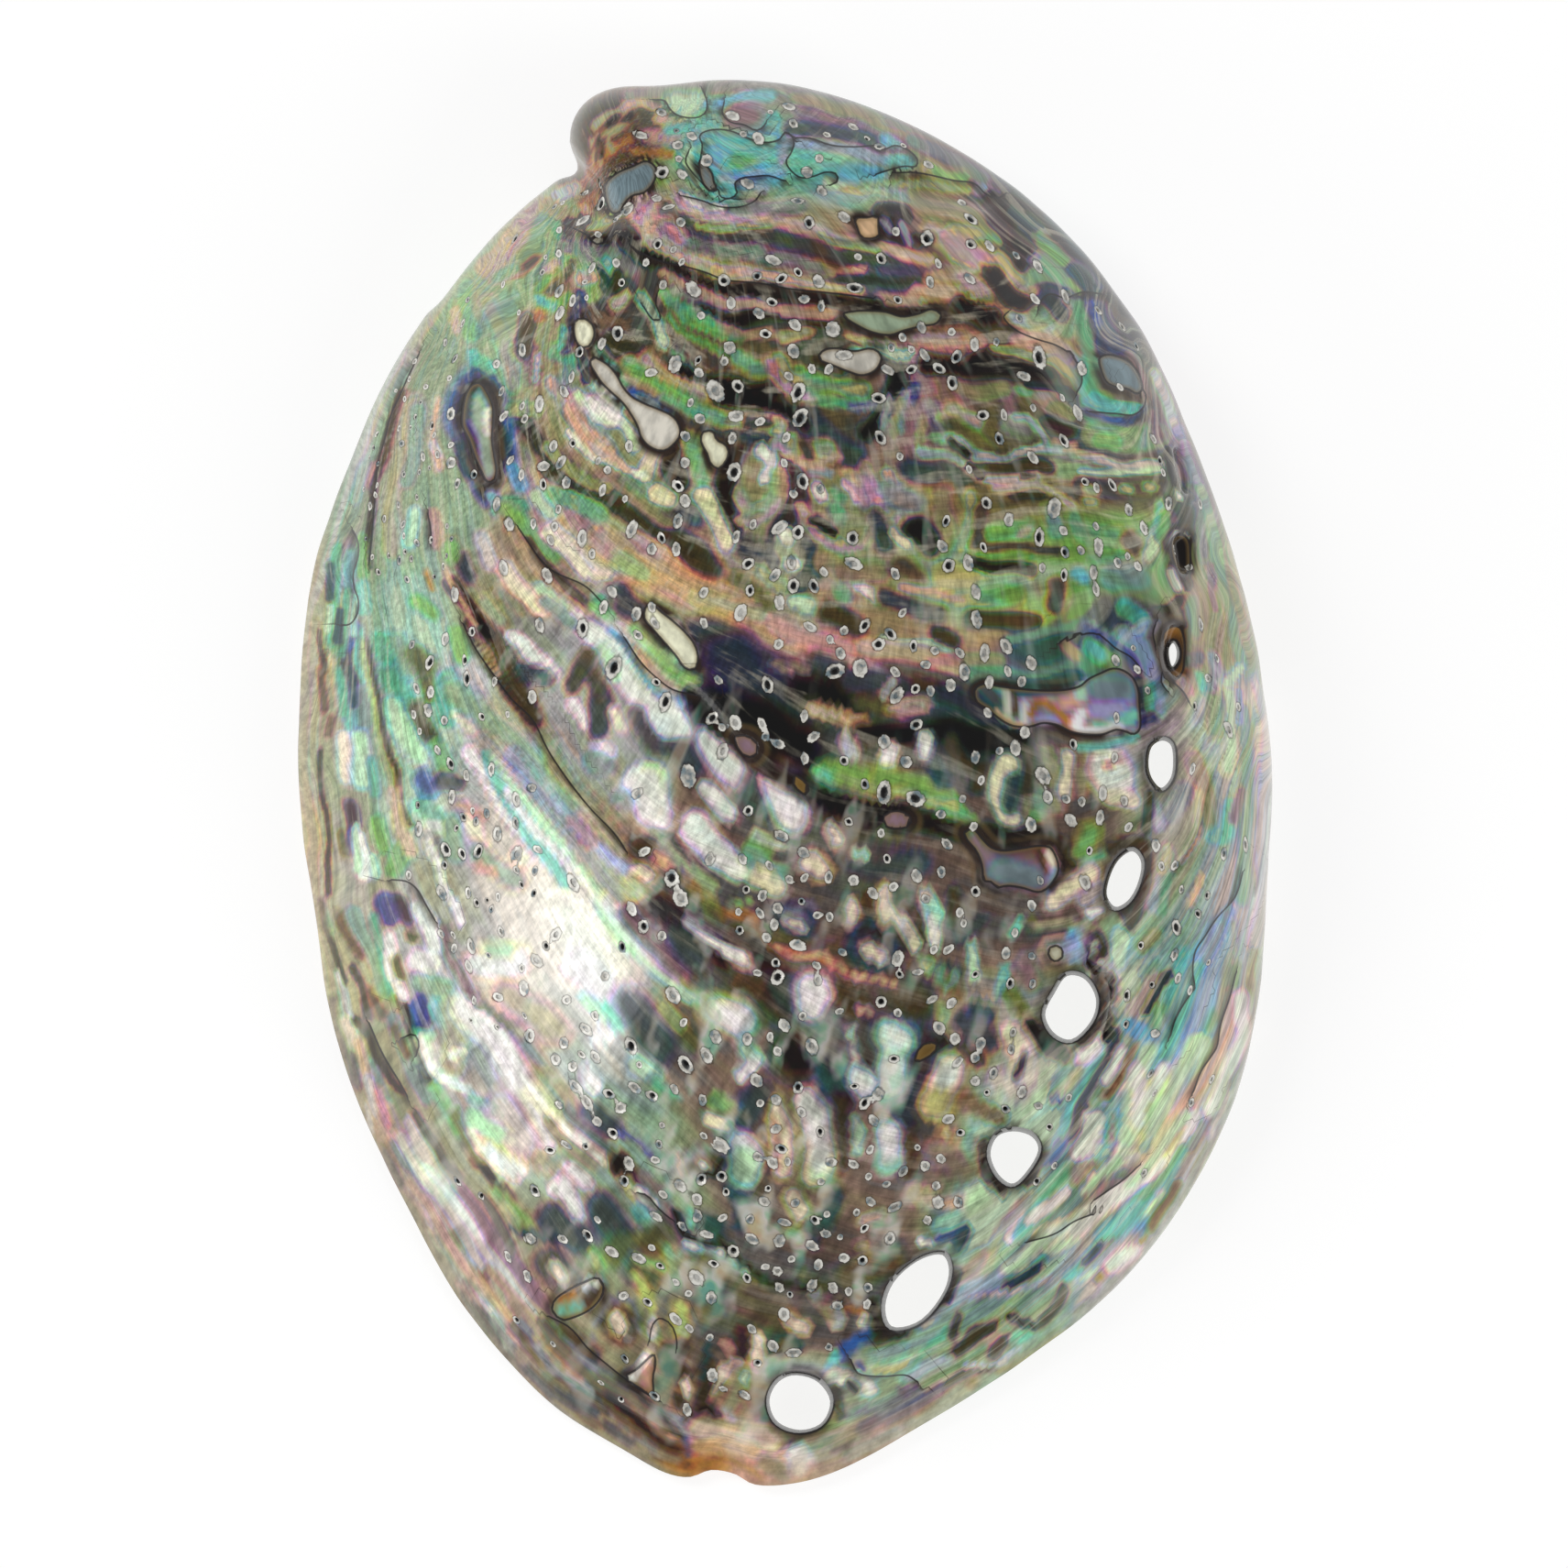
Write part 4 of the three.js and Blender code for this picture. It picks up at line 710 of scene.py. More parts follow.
    ("cream", 5, (798, 1484, 788, 1500), (784, 1492, 778, 1516), (792, 1534, 798, 1548)),
    ("taupe", 8, (802, 1496, 800, 1532)), ("mint", 3, (808, 1496, 812, 1510)),
    ("tobacco", 5, (820, 1516, 826, 1548)), ("bark", 7, (768, 1488, 770, 1524), (746, 1500, 742, 1524)),
    ("cream", 4, (746, 1508, 750, 1516)), ("petrol", 3, (766, 1468, 765, 1500)),
    ("umber", 3, (752, 1546, 766, 1535, 780, 1533, 790, 1543, 800, 1555, 842, 1556)),
    ("peach", 14, (770, 1574, 800, 1580, 830, 1578, 856, 1592)),
    ("amber", 5, (762, 1590, 792, 1600), (850, 1612, 882, 1608)), ("cream", 7, (882, 1588, 890, 1602)),
    ("bark", 4, (580, 1490, 598, 1508), (640, 1546, 656, 1558), (850, 1578, 864, 1568),
     (908, 1576, 924, 1572)), ("taupe", 6, (900, 1592, 930, 1582, 1002, 1554)),
    ("amber", 4, (922, 1418, 952, 1424), (1000, 1546, 1022, 1536), (1050, 1522, 1068, 1508)),
    ("steel", 9, (932, 1544, 1002, 1520)), ("mauve", 4, (984, 1518, 998, 1508)),
    ("pearl", 8, (618, 1288, 628, 1316), (906, 1500, 926, 1500, 948, 1512)),
    ("blue", 8, (918, 1472, 948, 1454)), ("aqua", 3, (759, 1326, 760, 1338), (904, 1482, 911, 1470)),
    ("sage", 9, (964, 1476, 985, 1474)), ("lime", 4, (948, 1492, 976, 1494, 996, 1486)),
    ("violet", 3, (938, 1484, 944, 1492)), ("teal", 3, (998, 1500, 1014, 1478, 1036, 1454)),
    # The first bark stroke of this line is a painted shadow.
    ("bark", 8, (962, 1460, 988, 1454)), ("bark", 4, (1050, 1438, 1042, 1460)),
    ("silver", 7, (1008, 1442, 1070, 1400)), ("aqua", 8, (1026, 1334, 1036, 1330)),
    ("violet", 5, (1024, 1350, 1038, 1348)), ("navy", 6, (1046, 1344, 1042, 1362)),
    ("pearl", 4, (1006, 1350, 1014, 1354)),
    # Lower right
    ("pearl", 8, (1116, 1320, 1100, 1346)), ("sand", 5, (1126, 1308, 1092, 1344, 1074, 1370)),
    ("pearl", 9, (1180, 1337, 1160, 1346, 1140, 1352)),
    ("mint", 6, (1172, 1354, 1150, 1364, 1128, 1371, 1094, 1386)),
    ("teal", 4, (1136, 1370, 1120, 1384, 1098, 1393)), ("navy", 4, (1130, 1380, 1094, 1401)),
    ("lavender", 8, (1042, 1418, 1068, 1406, 1086, 1395)),
    ("silver", 2, (1058, 1416, 1090, 1408, 1115, 1400, 1142, 1394)),
    ("taupe", 7, (1036, 1396, 1058, 1386, 1066, 1372)), ("aqua", 6, (1198, 1358, 1164, 1392)),
    ("navy", 3, (1206, 1353, 1190, 1369, 1178, 1379)), ("mint", 4, (1176, 1397, 1194, 1388)),
    ("amber", 4, (1242, 1348, 1226, 1369, 1200, 1397)), ("pearl", 5, (1238, 1368, 1225, 1382)),
    ("taupe", 6, (1218, 1398, 1196, 1419, 1174, 1432)), ("sage", 8, (1140, 1446, 1160, 1430)),
    ("bark", 5, (1158, 1406, 1146, 1425, 1134, 1437), (1086, 1443, 1071, 1455, 1043, 1482)),
    ("lime", 3, (1101, 1422, 1092, 1441)), ("umber", 3, (1102, 1432, 1124, 1442)),
    ("rose", 4, (1082, 1464, 1090, 1458)), ("bark", 5, (1098, 1458, 1086, 1474)),
    # The pearl stroke of this line is a painted highlight.
    ("aqua", 5, (1112, 1454, 1120, 1448)), ("pearl", 3, (1114, 1468, 1090, 1485, 1060, 1496)),
    ("taupe", 4, (1154, 1448, 1110, 1476)),
    ("amber", 3, (1164, 1448, 1140, 1462, 1115, 1480, 1094, 1491), (922, 1592, 950, 1581, 992, 1562)),
    ("bark", 2, (1010, 1526, 1040, 1509, 1086, 1490)),
    # Upper left edge
    ("silver", 4, (440, 385, 420, 420, 400, 465, 385, 510, 370, 552, 340, 652, 333, 700)),
    ("sage", 6, (452, 388, 431, 430, 400, 502, 388, 542)), ("rose", 3, (406, 504, 402, 528)),
    ("bark", 3, (438, 430, 427, 455, 420, 480, 413, 505, 410, 540, 404, 612)),
    ("sand", 12, (448, 444, 432, 500, 426, 550, 432, 600)), ("sage", 9, (452, 450, 446, 526)),
    ("mint", 7, (456, 562, 450, 592)), ("peach", 5, (476, 436, 472, 480, 478, 512)),
    ("silver", 3, (472, 490, 478, 500)),
    ("blue", 13, (522, 405, 506, 416, 497, 458, 508, 486, 520, 514, 536, 540)),
    ("blue", 10, (530, 408, 544, 432, 550, 456, 552, 482, 560, 508)),
    ("violet", 6, (520, 404, 503, 420, 498, 444), (506, 470, 514, 496, 524, 516), (536, 418, 544, 436)),
    ("petrol", 6, (548, 470, 552, 496), (500, 490, 512, 520)),
    ("umber", 5, (505, 440, 512, 421, 521, 413, 531, 418, 541, 440, 541, 470, 543, 500, 546, 520, 540, 530,
     530, 527, 520, 508, 503, 460, 505, 440)), ("sage", 8, (520, 438, 527, 480, 535, 514)),
    ("cream", 3, (533, 446, 531, 476)), ("slate", 3, (512, 430, 510, 458)),
    ("umber", 4, (528, 530, 534, 542)), ("sky", 7, (560, 512, 572, 532), (540, 540, 548, 548)),
    ("teal", 9, (548, 556, 562, 548, 574, 552)), ("mint", 8, (590, 540, 602, 556)),
    ("mauve", 8, (583, 388, 583, 412)), ("silver", 3, (588, 392, 587, 414)),
    ("teal", 8, (606, 388, 640, 406)), ("navy", 4, (638, 396, 646, 422)),
    ("peach", 8, (604, 420, 622, 442)), ("bark", 9, (572, 462, 588, 484, 642, 522, 672, 550)),
    ("sand", 8, (560, 446, 588, 448)), ("peach", 5, (624, 450, 650, 480, 684, 512)),
    ("sand", 6, (600, 488, 632, 512, 662, 532)), ("fern", 9, (604, 536, 632, 546, 652, 560)),
    ("leaf", 8, (560, 556, 576, 566, 592, 590, 612, 606)), ("bark", 5, (580, 588, 600, 614, 644, 660)),
    ("leaf", 6, (650, 662, 668, 676)), ("cream", 5, (600, 578, 624, 600, 646, 626)),
    ("salmon", 3, (564, 574, 618, 645, 644, 672)), ("cream", 10, (560, 616, 592, 664)),
    ("sage", 9, (600, 660, 622, 682)), ("silver", 9, (532, 588, 542, 612)),
    ("slate", 7, (508, 606, 520, 628)), ("taupe", 7, (552, 640, 572, 664)),
    ("sage", 9, (534, 656, 546, 676)), ("umber", 8, (500, 636, 530, 692)),
    ("salmon", 3, (494, 622, 516, 682)), ("salmon", 5, (474, 562, 482, 592)),
    ("leaf", 9, (496, 596, 498, 606), (458, 655, 474, 668)), ("amber", 3, (471, 622, 478, 642)),
    ("aqua", 6, (396, 636, 402, 664)), ("leaf", 5, (398, 588, 397, 622)),
    ("mauve", 7, (382, 588, 370, 606)), ("sky", 7, (383, 606, 380, 632)),
    ("cream", 4, (367, 630, 368, 700)),
    # Left of the spire
    ("salmon", 9, (588, 218, 532, 290)), ("taupe", 8, (602, 222, 618, 234)),
    ("sand", 5, (502, 308, 480, 336, 462, 364, 445, 396)), ("fern", 10, (514, 312, 509, 340, 516, 366)),
    ("peach", 4, (501, 340, 502, 358)), ("aqua", 6, (518, 388, 532, 398)),
    ("sand", 9, (535, 330, 556, 390, 561, 420)), ("tobacco", 5, (564, 296, 580, 280)),
    ("sage", 9, (546, 300, 560, 290)), ("leaf", 6, (602, 298, 588, 318), (606, 336, 616, 330)),
    ("moss", 4, (594, 326, 610, 310, 622, 292)), ("aqua", 5, (589, 331, 600, 340)),
    ("pink", 5, (596, 296, 600, 292)), ("peach", 5, (628, 310, 646, 312)),
    ("petrol", 5, (652, 294, 660, 314)), ("aqua", 4, (661, 288, 669, 310)),
    ("steel", 9, (612, 270, 632, 274, 642, 288), (680, 290, 694, 302)), ("teal", 6, (606, 244, 607, 258)),
    ("plum", 5, (620, 244, 618, 258)), ("lime", 5, (645, 250, 682, 240)), ("pink", 7, (680, 228, 692, 236)),
    ("steel", 6, (662, 218, 665, 228)), ("navy", 4, (636, 238, 642, 244)),
    ("pink", 4, (640, 226, 642, 232)), ("mauve", 4, (696, 306, 698, 316)),
    ("bark", 6, (673, 304, 670, 322)), ("violet", 5, (622, 350, 618, 370, 620, 388)),
    ("aqua", 4, (612, 366, 613, 384)), ("bark", 7, (578, 356, 572, 386)),
    ("amber", 3, (590, 346, 588, 354)),
    # The closed holes and the tracks beside the open ones, then painted shade round the open holes
    ("umber", 4, (1276, 486, 1277, 510, 1282, 530, 1292, 542), (1274, 545, 1279, 572)),
    # The pearl stroke of this line is a painted highlight in the closed hole's bowl.
    ("mauve", 6, (1275, 562, 1277, 572)), ("pearl", 2.5, (1283, 532, 1285, 542)),
    ("soot", 5, (1270, 592, 1276, 582, 1288, 578, 1296, 584), (1262, 690, 1268, 682, 1282, 678, 1290, 679)),
    ("soot", 4, (1277, 614, 1284, 626, 1294, 632)), ("blue", 3, (1269, 588, 1270, 596)),
    ("umber", 6, (1268, 664, 1286, 668), (1188, 1033, 1186, 1048, 1194, 1058)),
    ("tobacco", 5, (1284, 650, 1282, 668)),
    ("rose", 4, (1134, 1036, 1140, 1050, 1158, 1052, 1163, 1040, 1156, 1024, 1142, 1024, 1134, 1036)),
    ("lavender", 9, (1168, 1030, 1176, 1045)),
    ("soot", 3, (1195, 1060, 1208, 1064, 1215, 1080, 1207, 1134)),
    ("silver", 2.5, (1198, 1054, 1212, 1058, 1221, 1078, 1219, 1100), (1190, 1030, 1190, 1046)),
    # Painted shade round the open holes.
    ("umber", 9, (1128, 1120, 1142, 1138, 1160, 1150), (1198, 1080, 1196, 1108, 1184, 1132)),
    ("bark", 8, (1242, 945, 1240, 968, 1226, 988), (1208, 925, 1230, 915, 1246, 922)),
    ("umber", 8, (1070, 1250, 1072, 1278, 1092, 1298), (1132, 1262, 1122, 1284)),
    ("umber", 7, (955, 1420, 962, 1446, 985, 1454), (1040, 1392, 1034, 1414)),
    ("bark", 6, (830, 1520, 836, 1548, 860, 1568), (908, 1512, 912, 1540)),
    # The discs and dark spots of the middle
    ("bark", 22, (975, 1076, 996, 1090)),
    ("slate", 16, (822, 1198, 812, 1214), (746, 1016, 760, 1040), (905, 1108, 908, 1132),
     (856, 1072, 868, 1084)), ("soot", 18, (905, 1152, 913, 1190)),
    ("petrol", 9, (893, 1152, 898, 1184), (914, 1166, 918, 1178)),
    ("bark", 13, (909, 1198, 905, 1230, 906, 1262)),
    ("navy", 15, (996, 1128, 990, 1150), (1000, 1162, 988, 1218)),
    ("plum", 12, (1002, 1128, 1012, 1134), (1000, 1156, 1008, 1158)),
    ("umber", 15, (951, 1130, 951, 1178), (858, 1140, 868, 1152)),
    ("tobacco", 11, (904, 1034, 914, 1044, 932, 1054, 966, 1058)),
    ("salmon", 2.5, (848, 1032, 866, 1040, 894, 1040, 908, 1052, 924, 1060, 948, 1061, 970, 1068)),
    ("mint", 18, (884, 1206, 890, 1268), (966, 1126, 980, 1130), (972, 1156, 976, 1182)),
    ("pearl", 11, (884, 1212, 888, 1262), (875, 1194, 880, 1200), (971, 1128, 976, 1130),
     (973, 1162, 975, 1176)),
    ("pearl", 20, (884, 1076, 886, 1088), (846, 852, 858, 880), (782, 814, 792, 836), (704, 852, 716, 884)),
    ("pearl", 16, (764, 898, 786, 926), (728, 772, 738, 790)), ("mint", 22, (782, 1102, 806, 1108)),
    ("pearl", 14, (790, 1103, 804, 1107), (808, 1244, 814, 1250)),
    ("mint", 16, (812, 1256, 812, 1276), (934, 1170, 944, 1180), (966, 1230, 964, 1268)),
    ("lime", 16, (1036, 1154, 1024, 1204)),
    ("pearl", 11, (1035, 1160, 1030, 1176), (936, 1172, 942, 1178), (967, 1236, 965, 1258)),
    ("petrol", 6, (852, 998, 858, 1010, 868, 1016, 880, 1014, 884, 1005, 878, 996, 864, 991, 854, 993)),
    ("steel", 7, (860, 997, 872, 996), (876, 1006, 866, 1010)), ("cream", 5, (864, 1007, 874, 1011)),
    ("petrol", 8, (928, 1020, 926, 1036, 938, 1046, 956, 1048, 966, 1036, 964, 1020, 950, 1011, 934, 1013)),
    ("soot", 5, (938, 1015, 950, 1014, 962, 1022)), ("slate", 9, (936, 1028, 946, 1022, 956, 1028)),
    ("cream", 9, (944, 1032, 954, 1038)), ("steel", 5, (756, 1262, 764, 1253, 778, 1252, 788, 1260)),
    ("umber", 5, (757, 1268, 766, 1276, 782, 1276, 789, 1266)), ("tobacco", 9, (766, 1265, 778, 1265)),
    ("pearl", 2.5, (768, 1264, 775, 1269)),
    ("sage", 3, (1024, 1052, 1022, 1066, 1030, 1073, 1040, 1068, 1042, 1056)),
    # Blue and pink beside the upper right edge
    ("pink", 13, (1044, 276, 1066, 286)),
    ("peach", 8, (1036, 262, 1058, 268), (1086, 286, 1100, 304, 1114, 318)),
    ("rose", 9, (1018, 322, 1036, 330), (1052, 312, 1062, 322), (1010, 372, 1032, 378)),
    ("lime", 5, (1094, 280, 1118, 310), (1042, 252, 1070, 256)),
    ("umber", 9, (1088, 300, 1098, 322, 1112, 334), (1040, 340, 1064, 352, 1078, 350)),
    ("plum", 7, (1080, 226, 1098, 246, 1108, 268), (1112, 250, 1128, 266)),
    ("teal", 11, (1146, 284, 1160, 304), (1124, 240, 1134, 250)),
    ("fern", 7, (1140, 262, 1158, 280), (1166, 306, 1174, 316)),
    ("petrol", 8, (1150, 236, 1180, 268), (1170, 290, 1190, 316), (1106, 226, 1130, 244)),
    ("umber", 6, (1112, 262, 1124, 274), (1084, 214, 1096, 222)),
    ("sage", 13, (1128, 348, 1146, 346, 1160, 362)), ("teal", 9, (1174, 336, 1186, 402, 1182, 426)),
    ("navy", 9, (1142, 330, 1154, 344), (1222, 352, 1232, 380)), ("violet", 9, (1196, 338, 1214, 378)),
    ("blue", 4, (1188, 336, 1196, 356), (1176, 446, 1200, 452, 1228, 452, 1244, 440)),
    ("aqua", 7, (1186, 434, 1206, 441, 1232, 440)),
    ("mauve", 6, (1230, 384, 1242, 404, 1248, 424), (1256, 446, 1266, 470)),
    ("soot", 4, (1206, 320, 1222, 340, 1236, 364)),
    # Pink lines between dark bands below the spire
    ("olive", 9, (752, 240, 800, 256, 960, 284)),
    ("umber", 8, (680, 264, 706, 287, 748, 296, 792, 313, 960, 334)),
    ("pink", 4.5, (730, 204, 742, 222, 818, 241, 878, 244, 926, 262, 972, 272, 1018, 285)),
    ("rose", 4.5, (724, 303, 760, 312, 786, 327, 844, 339, 902, 345), (790, 356, 818, 366, 850, 368)),
    ("peach", 3.5, (704, 272, 740, 284, 776, 296, 940, 316)),
    ("lime", 3, (760, 245, 800, 250), (900, 256, 960, 276), (806, 246, 840, 252), (760, 290, 800, 301)),
    ("pink", 9, (690, 232, 706, 250), (728, 250, 740, 262)),
    ("steel", 6, (756, 262, 790, 272, 830, 280), (850, 286, 900, 294)),
    ("leaf", 7, (724, 328, 744, 343, 776, 356), (690, 398, 720, 420, 752, 436)),
    ("teal", 5, (744, 334, 772, 347), (726, 436, 760, 452)),
    ("soot", 6, (744, 400, 776, 414, 806, 424), (812, 440, 850, 452, 880, 470)),
    # Streaks and pale patches of the lip
    ("steel", 6, (644, 1514, 714, 1576, 736, 1590)),
    ("bark", 4, (646, 1502, 716, 1560, 742, 1578), (654, 1520, 728, 1576)),
    ("tobacco", 3, (652, 1497, 732, 1556), (662, 1530, 700, 1560)),
    ("umber", 2.5, (668, 1524, 738, 1580), (690, 1516, 726, 1544, 746, 1562)),
    ("peach", 13, (768, 1552, 806, 1560, 842, 1572), (962, 1574, 1010, 1552, 1050, 1524)),
    ("salmon", 9, (762, 1574, 796, 1570, 824, 1584), (890, 1604, 930, 1594)),
    ("taupe", 11, (856, 1560, 900, 1564, 944, 1550), (836, 1596, 858, 1606), (846, 1524, 900, 1540)),
    ("pearl", 12, (870, 1584, 874, 1600)),
    ("silver", 6, (926, 1584, 976, 1562), (908, 1488, 932, 1500, 938, 1516), (990, 1506, 1040, 1486)),
    ("mauve", 5, (936, 1556, 984, 1540, 1030, 1514)), ("umber", 5, (926, 1506, 932, 1512)),
    ("amber", 3, (758, 1600, 790, 1592, 812, 1600, 832, 1612)),
    # Peach and slate along the lower left edge
    ("salmon", 7, (392, 1138, 400, 1170), (412, 1200, 422, 1244), (448, 1290, 480, 1344, 518, 1394)),
    ("silver", 6, (402, 1180, 412, 1216), (442, 1240, 478, 1306, 528, 1380)),
    ("rose", 4, (416, 1190, 424, 1226), (500, 1400, 524, 1428)),
    ("slate", 4, (384, 1150, 390, 1184), (424, 1262, 438, 1294), (516, 1426, 536, 1450)),
    ("navy", 6, (574, 1492, 602, 1520), (612, 1512, 650, 1544)),
    ("bark", 3.5, (562, 1444, 602, 1490), (592, 1440, 640, 1490), (610, 1500, 660, 1540)),
    ("tobacco", 2.5, (600, 1456, 660, 1512), (572, 1462, 620, 1514)),
    ("steel", 4, (584, 1462, 630, 1512), (540, 1440, 560, 1466)), ("pearl", 5, (496, 1153, 508, 1148)),
    # Teal streaks inside the left edge
    ("teal", 6, (364, 596, 365, 660, 368, 704), (381, 640, 378, 712), (372, 730, 374, 774)),
    ("petrol", 4, (356, 612, 357, 650), (373, 664, 374, 700), (384, 726, 386, 764)),
    ("mint", 3, (360, 660, 362, 690), (392, 650, 390, 690)),
    # Bright bands below the holes
    ("lavender", 14, (1330, 1018, 1316, 1073, 1300, 1120)),
    ("aqua", 10, (1307, 1059, 1264, 1173), (1234, 1318, 1200, 1350), (1139, 1318, 1116, 1345)),
    ("mint", 12, (1307, 1140, 1289, 1182, 1256, 1227), (1254, 1150, 1224, 1238)),
    ("pearl", 9, (1240, 1172, 1248, 1192, 1244, 1220), (1188, 1224, 1172, 1256), (1234, 1364, 1214, 1382)),
    ("peach", 9, (1344, 1091, 1326, 1150, 1298, 1195, 1271, 1236, 1236, 1272)),
    ("pearl", 8, (1356, 1090, 1350, 1136, 1322, 1206), (1262, 1258, 1172, 1344)),
    ("mint", 6, (1296, 1214, 1262, 1246, 1226, 1286), (1214, 1260, 1180, 1300), (1140, 1352, 1096, 1380)),
    ("pearl", 5, (1270, 1168, 1258, 1198), (1222, 1150, 1210, 1184), (1160, 1300, 1130, 1330)),
    # Right edge above the holes
    ("taupe", 5, (1292, 450, 1341, 580, 1366, 680, 1376, 742)),
    ("peach", 2, (1340, 590, 1352, 630, 1360, 670)), ("lavender", 5, (1286, 466, 1304, 524)),
    ("mauve", 6, (1283, 480, 1285, 508, 1290, 532)), ("steel", 6, (1298, 530, 1313, 602)),
    ("sage", 5, (1308, 530, 1322, 578, 1341, 662, 1350, 722)), ("mauve", 3, (1322, 612, 1328, 660)),
    ("bark", 7, (1291, 556, 1287, 580)), ("soot", 9, (1282, 590, 1288, 616)),
    # The pearl stroke of this line is a painted highlight at the lower end of the closed hole's bowl.
    ("silver", 2, (1271, 594, 1279, 583, 1295, 586)), ("pearl", 4, (1276, 618, 1284, 634)),
    ("leaf", 5, (1262, 588, 1268, 562)), ("bark", 6, (1258, 665, 1274, 662, 1286, 650)),
    ("umber", 5, (1257, 674, 1272, 676, 1284, 680)), ("teal", 9, (1222, 664, 1240, 672)),
    ("sky", 6, (1236, 688, 1250, 682)), ("blue", 4, (1248, 688, 1258, 678)),
    ("tobacco", 11, (1275, 692, 1278, 718, 1283, 734)), ("amber", 6, (1274, 694, 1272, 712)),
    ("umber", 3, (1279, 488, 1279, 514, 1285, 530, 1296, 541), (1262, 690, 1264, 714, 1272, 728)),
    ("sage", 9, (1300, 650, 1302, 690)), ("lavender", 7, (1322, 714, 1326, 738, 1318, 756)),
    ("steel", 8, (1288, 720, 1306, 716)), ("mint", 6, (1348, 728, 1336, 750)),
    ("aqua", 6, (1304, 736, 1310, 756)), ("rose", 4, (1284, 740, 1292, 756)),
    ("umber", 10, (760, 764, 801, 811, 900, 868, 1040, 900)),
)

# Closed patches with a dark outline: the colour inside, and the columns and rows of the outline.
ISLANDS = (
    ("steel", 660, 205, 672, 192, 690, 184, 706, 178, 716, 186, 714, 200, 704, 212, 690, 216, 682, 224,
     676, 234, 668, 234, 662, 222),
    ("steel", 763, 178, 770, 183, 777, 192, 779, 202, 783, 209, 775, 211, 768, 204, 764, 193),
    ("cream", 629, 352, 639, 350, 648, 358, 649, 370, 643, 380, 634, 380, 628, 368),
    ("peach", 932, 241, 944, 240, 956, 239, 957, 250, 957, 260, 940, 262, 934, 250),
    ("sage", 918, 346, 935, 342, 950, 342, 965, 343, 982, 348, 1000, 345, 1015, 340, 1025, 346, 1020, 355,
     1005, 358, 985, 363, 970, 368, 950, 365, 935, 358),
    ("silver", 648, 392, 656, 395, 666, 402, 674, 412, 681, 425, 690, 435, 705, 443, 722, 450, 735, 457,
     742, 468, 742, 478, 735, 487, 727, 493, 718, 493, 707, 487, 700, 478, 697, 468, 690, 455, 680, 441,
     668, 430, 658, 420, 650, 408, 645, 398),
    ("cream", 767, 474, 778, 473, 782, 482, 792, 488, 795, 497, 790, 508, 784, 513, 776, 508, 772, 497,
     768, 490, 765, 482),
    ("silver", 893, 390, 900, 384, 915, 383, 930, 386, 950, 383, 960, 391, 955, 405, 940, 412, 925, 408,
     905, 400, 895, 396),
    ("cream", 706, 662, 712, 660, 722, 668, 735, 678, 748, 690, 758, 703, 762, 718, 758, 730, 748, 728,
     738, 715, 725, 700, 712, 685, 704, 675),
    ("steel", 1197, 392, 1205, 388, 1218, 390, 1230, 396, 1240, 408, 1244, 425, 1238, 430, 1228, 425,
     1215, 423, 1205, 418, 1200, 408),
    ("umber", 1278, 586, 1287, 583, 1294, 589, 1296, 604, 1295, 620, 1288, 628, 1279, 616, 1275, 602,
     1275, 592),
    ("amber", 1267, 690, 1276, 683, 1284, 684, 1289, 698, 1289, 716, 1287, 732, 1280, 740, 1272, 730,
     1267, 712),
    ("cream", 1142, 1032, 1150, 1029, 1156, 1033, 1156, 1042, 1149, 1046, 1142, 1041),
    ("mauve", 802, 803, 814, 802, 824, 808, 827, 816, 822, 824, 812, 823, 805, 815),
    ("tobacco", 866, 845, 876, 850, 882, 860, 880, 866, 872, 862, 865, 854),
    ("mauve", 962, 890, 970, 884, 982, 884, 992, 891, 990, 899, 978, 902, 966, 900),
    ("tobacco", 997, 1155, 1000, 1142, 1010, 1134, 1020, 1135, 1019, 1143, 1010, 1150),
    ("", 506, 450, 510, 430, 517, 420, 525, 419, 533, 430, 539, 445, 539, 465, 538, 480, 541, 500, 543, 515,
     540, 525, 533, 526, 527, 515, 520, 500, 513, 480, 506, 465),
    ("", 602, 1425, 606, 1415, 620, 1405, 640, 1395, 652, 1391, 658, 1398, 657, 1410, 645, 1425, 625, 1435,
     612, 1437),
    ("", 680, 1501, 695, 1491, 706, 1480, 713, 1474, 715, 1485, 712, 1500, 712, 1521, 700, 1513, 690, 1507),
    ("", 1061, 752, 1063, 765, 1075, 773, 1090, 785, 1102, 791, 1120, 792, 1135, 788, 1150, 790, 1165, 797,
     1180, 800, 1200, 800, 1215, 795, 1225, 797, 1233, 800, 1240, 795, 1240, 770, 1238, 750, 1232, 738,
     1220, 730, 1210, 729, 1200, 733, 1185, 740, 1175, 748, 1160, 752, 1140, 753, 1120, 752, 1100, 750,
     1085, 748, 1070, 746),
    ("", 1050, 905, 1060, 903, 1068, 912, 1078, 922, 1090, 926, 1110, 924, 1130, 921, 1143, 923, 1150, 935,
     1152, 948, 1147, 958, 1138, 968, 1130, 971, 1112, 966, 1095, 964, 1085, 966, 1080, 960, 1070, 958,
     1070, 950, 1068, 938, 1062, 925, 1052, 913),
)

